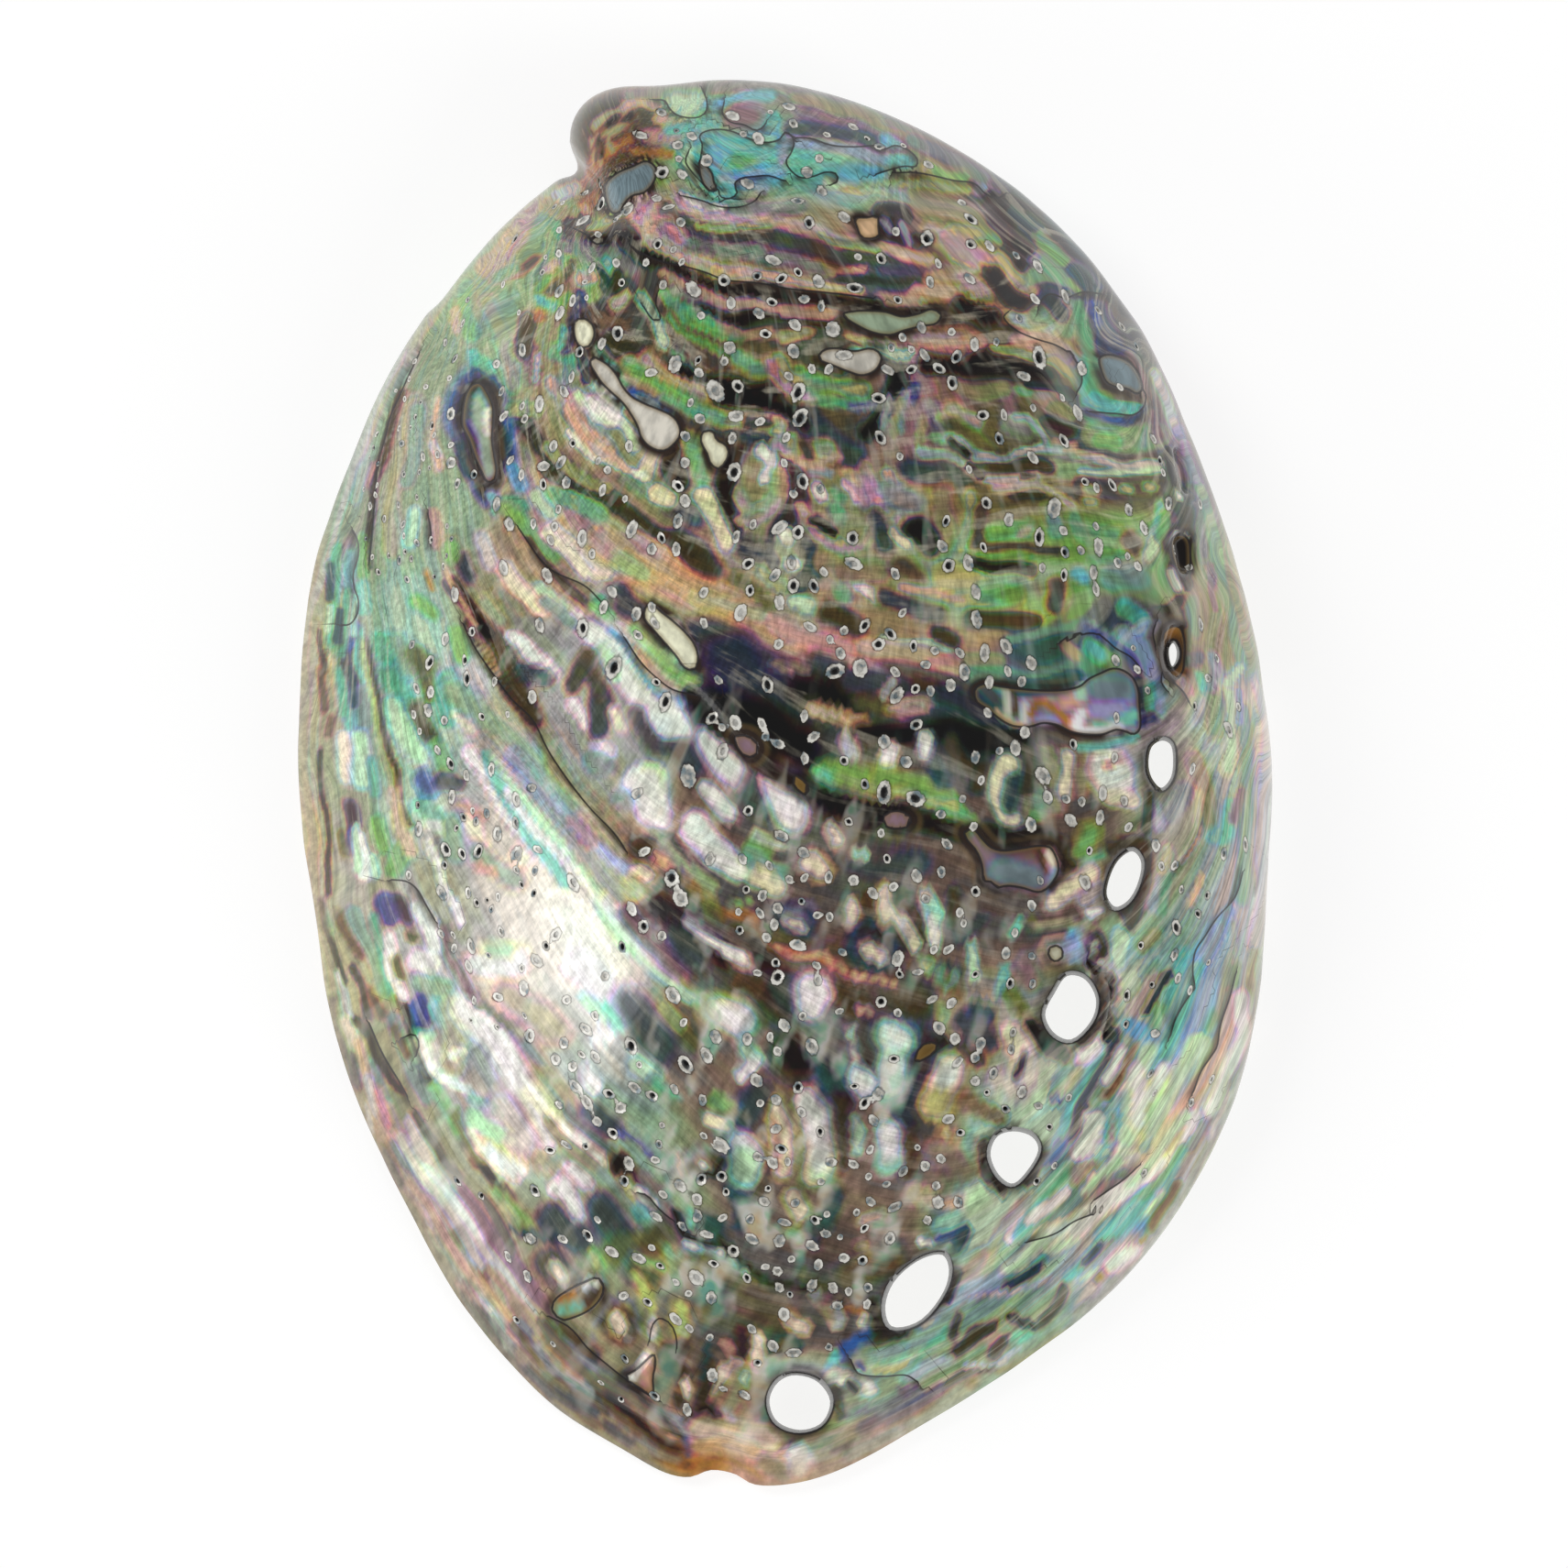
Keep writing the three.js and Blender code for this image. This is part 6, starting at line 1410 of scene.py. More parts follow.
def wall_mesh(settings):
    """Points, triangles and the side of each point, in millimetres."""
    walls = (settings.roof_wall / METRES, settings.lip_wall / METRES)
    outer_angles, outer_shares = disc_rings(settings.outside_rings)
    inner_angles, inner_shares = (rings[::-1] for rings in disc_rings(settings.inside_rings))
    edge, inner_edge = outer_angles[-1], inner_angles[0]
    layers = [(outside_at(np.concatenate(outer_angles), np.concatenate(outer_shares)), OUTER_SIDE)]
    layers += [(tuck_at(edge, math.radians(turn)), OUTER_SIDE) for turn in TUCK_TURNS]
    layers += [(rim_at(edge), RIM_SIDE)]
    layers += [(shelf_at(inner_edge, part, *walls), RIM_SIDE) for part in SHELF_PARTS]
    layers += [(inside_at(np.concatenate(inner_angles), np.concatenate(inner_shares), *walls), INNER_SIDE)]
    counts = [len(ring) for ring in outer_angles] + [len(edge)] * (len(TUCK_TURNS) + 1)
    counts += [len(inner_edge)] * len(SHELF_PARTS) + [len(ring) for ring in inner_angles]
    faces = []
    start = 0
    for count, following in zip(counts[:-1], counts[1:]):
        faces += joined(start, count, start + count, following)
        start += count
    points = np.vstack([layer for layer, _ in layers])
    sides = np.concatenate([np.full(len(layer), side) for layer, side in layers])
    return points, faces, sides


def mesh_of(name, points, faces):
    mesh = bpy.data.meshes.new(name)
    mesh.from_pydata(points.tolist(), [], faces)
    mesh.update()
    return mesh


def object_of(name, mesh):
    thing = bpy.data.objects.new(name, mesh)
    bpy.context.scene.collection.objects.link(thing)
    return thing


def evaluated_mesh(thing):
    """The mesh of an object with its modifiers, as a plain mesh of its own."""
    graph = bpy.context.evaluated_depsgraph_get()
    graph.update()
    return bpy.data.meshes.new_from_object(thing.evaluated_get(graph))


def points_of(mesh):
    points = np.empty(len(mesh.vertices) * 3, np.float32)
    mesh.vertices.foreach_get("co", points)
    return points.reshape(-1, 3).astype(float)


def set_attribute(mesh, name, values):
    """Stores a number, three numbers or a colour on each point of a mesh."""
    values = np.asarray(values, np.float32)
    kind, field = ("FLOAT", "value") if values.ndim == 1 else ("FLOAT_VECTOR", "vector")
    if values.ndim == 2 and values.shape[1] == 4:
        kind, field = "FLOAT_COLOR", "color"
    mesh.attributes.new(name, kind, "POINT").data.foreach_set(field, values.ravel())


# Pits

# Millimetres that a pit's cutter stands above the surface. Then, for the pits: how much longer than
# wide they are, how their size and turn vary, the share of them that are open to their full depth,
# the part of that depth that the others have, and how near the outline and the holes they come.
PIT_MOUTH = 0.6
PIT_STRETCH = (1.1, 1.75)
PIT_SIZE_SPREAD = 0.24
PIT_TURN = math.radians(100)
PIT_TURN_SPREAD = math.radians(34)
OPEN_PIT_SHARE = 0.22
OPEN_LARGE_PIT_SHARE = 0.6
SHALLOW_DEPTH = (0.15, 0.4)
PIT_EDGE_SHARE = 0.965
PIT_HOLE_GAP = 9
# Numbers of a pit after its column and row.
RADIUS, STRETCH, TURN, DEPTH = range(2, 6)


def pit_list():
    """The pits as rows of column, row, radius, stretch, turn and depth, none of which touch."""
    rng = np.random.default_rng(PIT_SEED)
    asked = [(*place, LARGE_PIT_RADIUS) for place in LARGE_PITS]
    asked += [(*place, USUAL_PIT_RADIUS) for place in PITS]
    for left, top, right, bottom, count, radius in PIT_AREAS:
        asked += [(rng.uniform(left, right), rng.uniform(top, bottom), radius) for _ in range(count)]
    asked = np.array(asked, float)
    spots = asked[:, :2]
    size = asked[:, 2] * rng.uniform(1 - PIT_SIZE_SPREAD, 1 + PIT_SIZE_SPREAD, len(asked))
    stretch = rng.uniform(*PIT_STRETCH, len(asked))
    turn = rng.normal(PIT_TURN, PIT_TURN_SPREAD, len(asked))
    open_share = np.where(np.arange(len(asked)) < len(LARGE_PITS), OPEN_LARGE_PIT_SHARE, OPEN_PIT_SHARE)
    depth = np.where(rng.random(len(asked)) < open_share, 1, rng.uniform(*SHALLOW_DEPTH, len(asked)))
    length = size * stretch
    clear = share_of(placed(spots))[1] < PIT_EDGE_SHARE
    for pixels in HOLES:
        ring = smoothed(pixels, HOLE_SAMPLES, closed=True)
        clear &= ~inside(spots, ring)
        clear &= distance_to(spots, ring, 4 * PIT_HOLE_GAP) > length + PIT_HOLE_GAP
    kept = []
    for index in np.flatnonzero(clear):
        gap = np.linalg.norm(spots[kept] - spots[index], axis=1)
        if np.all(gap > length[kept] + length[index] + PIT_GAP):
            kept.append(index)
    return np.column_stack((spots, size, stretch, turn, depth))[kept]


def upright_turns(normals, turns):
    """Two axes along the surface for each normal, after the least tilt from upright and a turn."""
    axis = np.column_stack((-normals[:, 1], normals[:, 0], np.zeros(len(normals))))
    lean = axis / np.maximum(np.linalg.norm(axis, axis=1), TINY)[:, None]
    angle = np.arccos(np.clip(normals[:, 2], -1, 1))[:, None]
    found = []
    for extra in (0, math.pi / 2):
        flat = np.column_stack((np.cos(turns + extra), np.sin(turns + extra), np.zeros(len(turns))))
        along = (lean * flat).sum(1)[:, None]
        tilted = flat * np.cos(angle) + np.cross(lean, flat) * np.sin(angle)
        found.append(tilted + lean * along * (1 - np.cos(angle)))
    return found


class NodeMaker:
    """Adds nodes to one tree: an input that is a socket is joined, and another value is set."""

    def __init__(self, tree):
        self.tree = tree

    def feed(self, socket, value):
        if isinstance(value, bpy.types.NodeSocket):
            self.tree.links.new(value, socket)
        else:
            socket.default_value = value

    def add(self, kind, inputs=(), **settings):
        """A node with its settings and its inputs, which are listed in order or by name."""
        node = self.tree.nodes.new(kind)
        for name, value in settings.items():
            setattr(node, name, value)
        for key, value in inputs.items() if isinstance(inputs, dict) else enumerate(inputs):
            self.feed(node.inputs[key], value)
        return node

    def number(self, operation, *inputs):
        return self.add("ShaderNodeMath", inputs, operation=operation).outputs[0]

    def vector(self, operation, *inputs):
        return self.add("ShaderNodeVectorMath", inputs, operation=operation).outputs[0]

    def scaled(self, vector, amount):
        return self.add("ShaderNodeVectorMath", {0: vector, "Scale": amount}, operation="SCALE").outputs[0]


# A pit's cutter is a ball with its rings moved: above the mouth, the mouth, the dish's edge, the
# core's edge, the core's floor and the middle of the floor. Widths are shares of the dish's.
CUTTER_RINGS = 5
CUTTER_MOUTH = 1.12
CUTTER_RISE = 0.1
CORE_TAPER = 0.85
CUTTER_INPUTS = (
    ("Points", "NodeSocketGeometry"),
    ("Sides", "NodeSocketInt"),
    ("Dish Depth", "NodeSocketFloat"),
    ("Core Depth", "NodeSocketFloat"),
    ("Core Share", "NodeSocketFloat"),
    ("Material", "NodeSocketMaterial"),
)


def pit_tree():
    """Geometry nodes that put a cutter on each point, upright, turned and stretched as it says."""
    tree = bpy.data.node_groups.new("Pit Cutters", "GeometryNodeTree")
    tree.is_modifier = True
    for name, kind in CUTTER_INPUTS:
        tree.interface.new_socket(name, in_out="INPUT", socket_type=kind)
    tree.interface.new_socket("Cutters", in_out="OUTPUT", socket_type="NodeSocketGeometry")
    make = NodeMaker(tree)

    def named(name, kind="FLOAT"):
        node = make.add("GeometryNodeInputNamedAttribute", {"Name": name}, data_type=kind)
        return node.outputs["Attribute"]

    def xyz(**values):
        return make.add("ShaderNodeCombineXYZ", values).outputs[0]

    given = make.add("NodeGroupInput").outputs
    sides = given["Sides"]
    ball = make.add("GeometryNodeMeshUVSphere", {"Segments": sides, "Rings": CUTTER_RINGS, "Radius": 1.0})
    index = make.add("GeometryNodeInputIndex").outputs[0]
    counted = make.number("SUBTRACT", make.number("ADD", index, sides), 1.0)
    ring = make.number("FLOOR", make.number("DIVIDE", counted, sides))
    dish = make.number("MULTIPLY", given["Dish Depth"], -1.0)
    core = make.number("MULTIPLY", given["Core Depth"], -1.0)
    narrow = make.number("MULTIPLY", given["Core Share"], CORE_TAPER)

    def by_ring(values):
        """One value for each ring of the ball, from its top down."""
        switch = make.add("GeometryNodeIndexSwitch", data_type="FLOAT")
        while len(switch.index_switch_items) < len(values):
            switch.index_switch_items.new()
        for socket, value in zip(switch.inputs, (ring, *values)):
            make.feed(socket, value)
        return switch.outputs[0]

    width = by_ring((0.0, CUTTER_MOUTH, 1.0, given["Core Share"], narrow, 0.0))
    height = by_ring((PIT_MOUTH + CUTTER_RISE, PIT_MOUTH, 0.0, dish, core, core))
    flat = make.vector("MULTIPLY", make.add("GeometryNodeInputPosition").outputs[0], (1, 1, 0))
    around = make.scaled(make.vector("NORMALIZE", flat), width)
    shape = {"Geometry": ball.outputs["Mesh"], "Position": make.vector("ADD", around, xyz(Z=height))}
    cutter = make.add("GeometryNodeSetPosition", shape)
    normal = {"Vector": named("normal", "FLOAT_VECTOR")}
    upright = make.add("FunctionNodeAlignRotationToVector", normal, axis="Z")
    turn = make.add("FunctionNodeEulerToRotation", (xyz(Z=named("turn")),))
    turns = {"Rotation": upright.outputs[0], "Rotate By": turn.outputs[0]}
    turned = make.add("FunctionNodeRotateRotation", turns, rotation_space="LOCAL")
    size = named("size")
    copies = make.add("GeometryNodeInstanceOnPoints", {
        "Points": given["Points"],
        "Instance": cutter.outputs[0],
        "Rotation": turned.outputs[0],
        "Scale": xyz(X=make.number("MULTIPLY", size, named("stretch")), Y=size, Z=named("depth")),
    })
    real = make.add("GeometryNodeRealizeInstances", (copies.outputs[0],))
    finish = {"Geometry": real.outputs[0], "Material": given["Material"]}
    done = make.add("GeometryNodeSetMaterial", finish)
    make.add("NodeGroupOutput", (done.outputs[0],))
    return tree


def set_inputs(modifier, values):
    """Sets a modifier's inputs by the identifiers of their sockets."""
    for item in modifier.node_group.interface.items_tree:
        if item.in_out == "INPUT" and item.name in values:
            modifier[item.identifier] = values[item.name]


def pit_cutters(pits, settings, material):
    """One mesh of all pit cutters, in millimetres."""
    angle, share = share_of(placed(pits[:, :2]))
    normals = normal_at(angle, share)
    mesh = mesh_of("pit points", outside_at(angle, share), [])
    set_attribute(mesh, "normal", normals)
    set_attribute(mesh, "size", pits[:, RADIUS] * MM_PER_PIXEL)
    for name, column in (("stretch", STRETCH), ("turn", TURN), ("depth", DEPTH)):
        set_attribute(mesh, name, pits[:, column])
    holder = object_of("pit cutters", mesh)
    modifier = holder.modifiers.new("Pit Cutters", "NODES")
    modifier.node_group = pit_tree()
    set_inputs(modifier, {
        "Sides": settings.pit_sides,
        "Dish Depth": settings.dish_depth / METRES,
        "Core Depth": settings.core_depth / METRES,
        "Core Share": settings.core_share,
        "Material": material,
    })
    made = evaluated_mesh(holder)
    holder.modifiers.clear()
    holder.data = made
    return holder


# A hole's cutter, in millimetres: how far it flares, its top above the surface, its neck below the
# surface, and the height of its floor.
HOLE_FLARE = 1.3
HOLE_LIFT = 3
HOLE_NECK = 1.2
HOLE_FLOOR = -6


def hole_cutters():
    """One mesh of all hole cutters: straight below, and flaring where they come out on top."""
    points, faces = [], []
    for pixels in HOLES:
        ring = smoothed(placed(pixels), HOLE_SAMPLES, closed=True)[:-1]
        if np.sum(ring[:, 0] * np.roll(ring[:, 1], -1) - np.roll(ring[:, 0], -1) * ring[:, 1]) < 0:
            ring = ring[::-1]
        along = np.roll(ring, -1, axis=0) - np.roll(ring, 1, axis=0)
        outward = np.column_stack((along[:, 1], -along[:, 0])) / np.linalg.norm(along, axis=1)[:, None]
        angle, share = share_of(ring)
        top = outside_at(angle, share)[:, 2]
        levels = (
            (ring, np.full(len(ring), float(HOLE_FLOOR))),
            (ring, top - HOLE_NECK),
            (ring + outward * HOLE_FLARE, top + HOLE_LIFT),
        )
        start = sum(len(level) for level in points)
        count = len(ring)
        points += [np.column_stack((flat, heights)) for flat, heights in levels]
        faces.append([start + k for k in range(count)][::-1])
        for level in range(len(levels) - 1):
            low = start + level * count
            for k in range(count):
                far = (k + 1) % count
                faces.append([low + k, low + far, low + count + far, low + count + k])
        faces.append([start + (len(levels) - 1) * count + k for k in range(count)])
    return object_of("hole cutters", mesh_of("hole cutters", np.vstack(points), faces))


# Painting

# Where no wash or area of grain reaches, how much these count, and how many spreads away a wash ends.
DEFAULT_WASH = "taupe"
DEFAULT_GRAIN = (0.3, 0.5, 0.4)
WASH_FLOOR = 0.02
WASH_REACH = 3

# The contrast and strength that polish gives the colours.
PAINT_CONTRAST = 1.42
PAINT_MIDDLE = 0.5
PAINT_SATURATION = 0.9
PAINT_LIMITS = (0.01, 0.97)

# Random shifts of what is painted: how far and over what size, in pixels, and the seed.
WARP = ((7, 70, 21), (3, 24, 22))
ROW_SEED_STEP = 50

# A stroke is full as far as its core and gone at its fade and blur: the first two are parts of half
# its width, and the blur is in pixels. Its edge has a faint fringe, red, green and blue out of step.
STROKE_SAMPLES = 5
STROKE_CORE = 0.4
STROKE_FADE = 1.35
STROKE_BLUR = 3
STROKE_COVER = 0.92
FRINGE = 0.25
FRINGE_LUMP = 60
FRINGE_SEED = 32
FRINGE_PHASES = np.array((0, 2 / 3, 4 / 3))

# The furthest that lines, in millimetres, and pits, in their own sizes, are noticed.
LINE_LIMIT = 3
PIT_LIMIT = 4

# The steep side starts so many millimetres above the widest point. What is painted is carried down
# it from this share of the way out, growing so much to a millimetre, and its grain is calmer.
SHOULDER_RISE = 4
SHOULDER_SHARE = 0.97
SIDE_GROWTH = 1.2
SIDE_CALM = 0.7


def rgb(name):
    """A named colour as three shares of full light, as a screen counts them."""
    code = PALETTE[name]
    return np.array([int(code[k:k + 2], 16) for k in (0, 2, 4)]) / 255


def linear(colour):
    """A screen's colour as true amounts of light."""
    return np.where(colour <= 0.04045, colour / 12.92, ((colour + 0.055) / 1.055) ** 2.4)


def warped(spots):
    """Places moved a little at random, so that no painted edge is ruler-straight."""
    moved = spots.copy()
    for strength, size, seed in WARP:
        moved[:, 0] += strength * cloud(spots, size, seed)
        moved[:, 1] += strength * cloud(spots, size, seed + ROW_SEED_STEP)
    return moved


# Pixels to one unit of the growth's field, how far it may miss its lines, and how many places are
# worked out at a time.
PLATE_UNIT = 100
PLATE_GIVE = 1e-3
PLATE_BATCH = 4000
NEAREST_TO_START = 20


def thin_plate(points, values):
    """A smooth field through values at places, as a function of other places."""
    centres = points / PLATE_UNIT

    def kernel(spots):
        squared = ((spots[:, None] - centres[None]) ** 2).sum(2)
        return squared * np.log(squared + TINY)

    count = len(centres)
    lean = np.column_stack((np.ones(count), centres))
    system = np.zeros((count + 3, count + 3))
    system[:count, :count] = kernel(centres) + PLATE_GIVE * np.eye(count)
    system[:count, count:] = lean
    system[count:, :count] = lean.T
    weights = np.linalg.solve(system, np.append(values, (0, 0, 0)))

    def field(spots):
        found = []
        for part in np.array_split(spots / PLATE_UNIT, max(len(spots) // PLATE_BATCH, 1)):
            found.append(kernel(part) @ weights[:count] + weights[count] + part @ weights[count + 1:])
        return np.concatenate(found)

    return field


def growth_at(spots):
    """How far the shell had grown, and how far across the growth, at columns and rows."""
    places = np.array([place for _, *line in GROWTH_LINES for place in line], float)
    values = np.array([value for value, *line in GROWTH_LINES for _ in line], float)
    grown = thin_plate(places, values)(spots)
    arm = spots - GROWTH_START_PIXEL
    turn = np.arctan2(arm[:, 1], arm[:, 0])
    away = np.maximum(np.linalg.norm(arm, axis=1), NEAREST_TO_START) / PLATE_UNIT
    return grown, (np.log(away) - GROWTH_TURN * turn) * ACROSS_SCALE


def curve_of(row, closed=False):
    """A row of columns and rows as points along a smooth line."""
    places = np.array(row, float).reshape(-1, 2)
    if len(places) == 1:
        return np.repeat(places, 2, axis=0)
    if len(places) == 2:
        return places
    return smoothed(places, STROKE_SAMPLES * len(places), closed)


def vivid(colour):
    """A colour with more contrast and saturation, as polish gives the nacre."""
    grey = colour.mean(1)[:, None]
    strong = grey + (colour - grey) * PAINT_SATURATION
    return np.clip(PAINT_MIDDLE + (strong - PAINT_MIDDLE) * PAINT_CONTRAST, *PAINT_LIMITS)


def painted(spots, plain):
    """The colour of the outside at columns and rows. Where it is plain, only its broad colours show."""
    moved = warped(spots)
    weight = np.full(len(spots), WASH_FLOOR)
    colour = weight[:, None] * rgb(DEFAULT_WASH)
    for name, spread, *row in WASHES:
        here = bell(moved, curve_of(row), spread, WASH_REACH)
        weight += here
        colour += here[:, None] * rgb(name)
    colour /= weight[:, None]
    broad = colour.copy()
    phase = math.pi * (cloud(spots, FRINGE_LUMP, FRINGE_SEED)[:, None] + FRINGE_PHASES)
    for name, width, *rows in STROKES:
        for row in rows:
            reach = STROKE_FADE * width + STROKE_BLUR
            away = distance_to(moved, curve_of(row), reach)
            touched = np.flatnonzero(away < reach)
            cover = 1 - smoothstep(STROKE_CORE * width, reach, away[touched])[:, None]
            fringe = cover * (1 - cover) * np.cos(phase[touched] + math.pi * cover)
            colour[touched] = mix(colour[touched], rgb(name), STROKE_COVER * cover) + FRINGE * fringe
    return vivid(mix(colour, broad, plain[:, None]))


def grain_marks(spots):
    """How much cells, stripes and changes of hue show at columns and rows."""
    weight = np.full(len(spots), WASH_FLOOR)
    amount = weight[:, None] * np.array(DEFAULT_GRAIN)
    for cells, stripes, hues, spread, *row in GRAIN_AREAS:
        here = bell(spots, curve_of(row), spread, WASH_REACH)
        weight += here
        amount += here[:, None] * np.array((cells, stripes, hues))
    return amount / weight[:, None]


def island_marks(spots, paint):
    """The distance to the nearest island's outline in millimetres, below zero inside, and its colour."""
    edge = np.full(len(spots), float(LINE_LIMIT))
    colour = paint.copy()
    for name, *row in ISLANDS:
        ring = curve_of(row, closed=True)
        away = distance_to(spots, ring, LINE_LIMIT / MM_PER_PIXEL) * MM_PER_PIXEL
        signed = np.where(inside(spots, ring), -away, away)
        closer = signed < edge
        edge = np.where(closer, signed, edge)
        colour[closer] = vivid(rgb(name)[None])[0] if name else paint[closer]
    return edge, colour


def contour_marks(spots):
    """The signed and the plain distance to the nearest contour in millimetres."""
    side = np.full(len(spots), float(LINE_LIMIT))
    near = np.full(len(spots), float(LINE_LIMIT))
    for row in CONTOURS:
        here, away = sides_of(spots, curve_of(row), LINE_LIMIT / MM_PER_PIXEL)
        closer = away * MM_PER_PIXEL < near
        near = np.where(closer, away * MM_PER_PIXEL, near)
        side = np.where(closer, here * MM_PER_PIXEL, side)
    return side, near


def nearest_of(points, centres):
    """For each point, which of the centres is nearest."""
    tree = kdtree.KDTree(len(centres))
    for index, centre in enumerate(centres):
        tree.insert(centre, index)
    tree.balance()
    return np.array([tree.find(point)[1] for point in points])


def pit_marks(points, pits):
    """How far out of the nearest pit each point is, 1 at the dish's edge, and how deep that pit is."""
    angle, share = share_of(placed(pits[:, :2]))
    centres = outside_at(angle, share)
    long_axis, short_axis = upright_turns(normal_at(angle, share), pits[:, TURN])
    nearest = nearest_of(points, centres)
    arm = points - centres[nearest]
    size = pits[nearest, RADIUS] * MM_PER_PIXEL
    along = (arm * long_axis[nearest]).sum(1) / (size * pits[nearest, STRETCH])
    over = (arm * short_axis[nearest]).sum(1) / size
    return np.minimum(np.hypot(along, over), PIT_LIMIT), pits[nearest, DEPTH]


def hole_marks(places):
    """How far each place is from the nearest hole, in millimetres, and 0 inside it."""
    away = np.full(len(places), float(LINE_LIMIT))
    for pixels in HOLES:
        ring = smoothed(placed(pixels), HOLE_SAMPLES, closed=True)
        away = np.minimum(away, np.where(inside(places, ring), 0, distance_to(places, ring, LINE_LIMIT)))
    return away


def with_alpha(colour):
    return np.column_stack((linear(colour), np.ones(len(colour))))


def drop_at(points):
    """How far each point is below the height at which the side grows steep."""
    arm = points[:, :2] - crown
    shoulder = section_at(np.arctan2(arm[:, 1], arm[:, 0]), BELLY) + SHOULDER_RISE
    return np.maximum(shoulder - points[:, 2], 0)


def flow_at(points, drop):
    """The growth and the distance across it, carried straight down the steep side from the shoulder."""
    share = edge_share(pixels_of(points))
    held = np.minimum(share, SHOULDER_SHARE) / np.maximum(share, NUDGE)
    grown, across = growth_at(pixels_of(crown + (points[:, :2] - crown) * held[:, None]))
    return grown + SIDE_GROWTH * drop, across


def paint_mesh(mesh, points, pits, wall_points, wall_sides):
    """Gives each point the colours and the distances that the nacre's layers are made with."""
    spots = pixels_of(points)
    sides = wall_sides[nearest_of(points, wall_points)]
    drop = drop_at(points)
    calm = 1 - SIDE_CALM * smoothstep(0, SHOULDER_RISE, drop)
    paint = painted(spots, 1 - calm)
    edge, island_colour = island_marks(spots, paint)
    side, near = contour_marks(spots)
    grown, across = flow_at(points, drop)
    pit, depth = pit_marks(points, pits)
    pit[sides != OUTER_SIDE] = PIT_LIMIT
    for mark in (edge, side, near):
        mark[sides != OUTER_SIDE] = LINE_LIMIT
    set_attribute(mesh, "paint", with_alpha(paint))
    set_attribute(mesh, "island", with_alpha(island_colour))
    set_attribute(mesh, "marks", np.column_stack((edge, side, near)))
    set_attribute(mesh, "cuts", np.column_stack((pit, hole_marks(points[:, :2]), sides / INNER_SIDE)))
    set_attribute(mesh, "flow", np.column_stack((grown, across, np.zeros(len(grown)))))
    set_attribute(mesh, "grain", grain_marks(spots) * calm[:, None])
    set_attribute(mesh, "ripple", np.column_stack((ripple_at(spots), calm, depth)))


# The nacre

# A noise is how often it repeats along each axis, its detail and its roughness. The axes are the
# growth and the distance across it, or metres. An edge is where a mark starts and where it is full,
# and some have the values at both ends after that.

BRIGHTNESS_POWER = 0.45
BRIGHTNESS_TURNS = 2.6
FILM_NOISE = ((0.16, 0.035, 0.0), 3.0, 0.6)
FILM_TURNS = 1.8
FILM_HUE = 0.3
FILM_LIGHT = 0.7
FILM_STOPS = (
    (0.0, "plum"), (0.14, "rose"), (0.3, "peach"), (0.44, "lime"), (0.58, "leaf"), (0.72, "teal"),
    (0.86, "blue"), (1.0, "plum"),
)

# Stripes take a share of the ripples' height, so they are darker in the valleys and paler on the crests:
# painted shade and painted highlight that follow the relief.
STRIPE_NOISE = ((0.55, 0.05, 0.0), 3.0, 0.55)
RIPPLE_PAINTED_SHADING = 0.18
DARK_STRIPE_EDGE = (0.5, 0.36)
DARK_STRIPE = 0.55
DARK_STRIPE_TONE = 0.35
LIGHT_STRIPE_EDGE = (0.54, 0.68)
LIGHT_STRIPE = 0.35
STREAK_NOISE = ((2.6, 0.12, 0.0), 4.0, 0.6)
STREAK_STRENGTH = 1.12
FLECK_NOISE = ((0.55, 0.7, 0.0), 3.0, 0.65)
FLECK_EDGE = (0.34, 0.66, 0.74, 1.28)
NOISE_MIDDLE = 0.5

COLUMN_NOISE = ((0.13, 0.2, 0.0), 2.0, 0.5)
GLINT_EDGE = (0.53, 0.68)
GLINT = 0.7
GLINT_NOISE = ((0.3, 0.25, 0.0), 2.0, 0.5)
GLINT_STOPS = ((0.35, "aqua"), (0.42, "mint"), (0.5, "pearl"), (0.6, "cream"), (0.68, "peach"))
SEAM_EDGE = (0.48, 0.36)
SEAM = 0.65
SEAM_TONE = 0.3

ISLAND_EDGE = (-0.06, 0.06, 1.0, 0.0)
ISLAND_NOISE = ((0.3, 0.2, 0.0), 3.0, 0.5)
ISLAND_CLOUDS = (0.3, 0.65, 0.65, 1.1)
UNEVEN_NOISE = ((0.25, 0.12, 0.0), 2.0, 0.5)
UNEVEN_EDGE = (0.35, 0.6)
# A painted shade round each island, as in a hollow: umber by the outline, fading through tobacco to moss.
ISLAND_SHADE_WIDTH = (0.0, 1.5)
ISLAND_SHADE_STOPS = ((0.0, "umber"), (0.4, "umber"), (0.75, "tobacco"), (1.0, "moss"))
ISLAND_SHADE_EDGE = (0.2, 1.6, 1.0, 0.0)
ISLAND_RIM_EDGE = (0.1, 0.6, 0.6, 0.0)
ISLAND_LINE_EDGE = (0.07, 0.17, 0.9, 0.0)
# Painted shade along the left side of each contour, as below a step.
STEP_SHADE_FADE = (0.0, 1.3, 0.8, 0.0)
STEP_SHADE_EDGE = (-0.06, 0.06)
CONTOUR_EDGE = (0.05, 0.14, 1.0, 0.0)
CONTOUR_END = (0.45, 0.6, 0.9, 0.0)

OPEN_PIT_EDGE = (0.5, 0.8)
PIT_NOISE = ((2200.0, 2200.0, 2200.0), 2.0, 0.5)
PIT_WOBBLE = 0.5
PALE_NOISE = ((900.0, 900.0, 900.0), 2.0, 0.5)
PALE_STOPS = ((0.33, "steel"), (0.46, "silver"), (0.56, "pearl"))
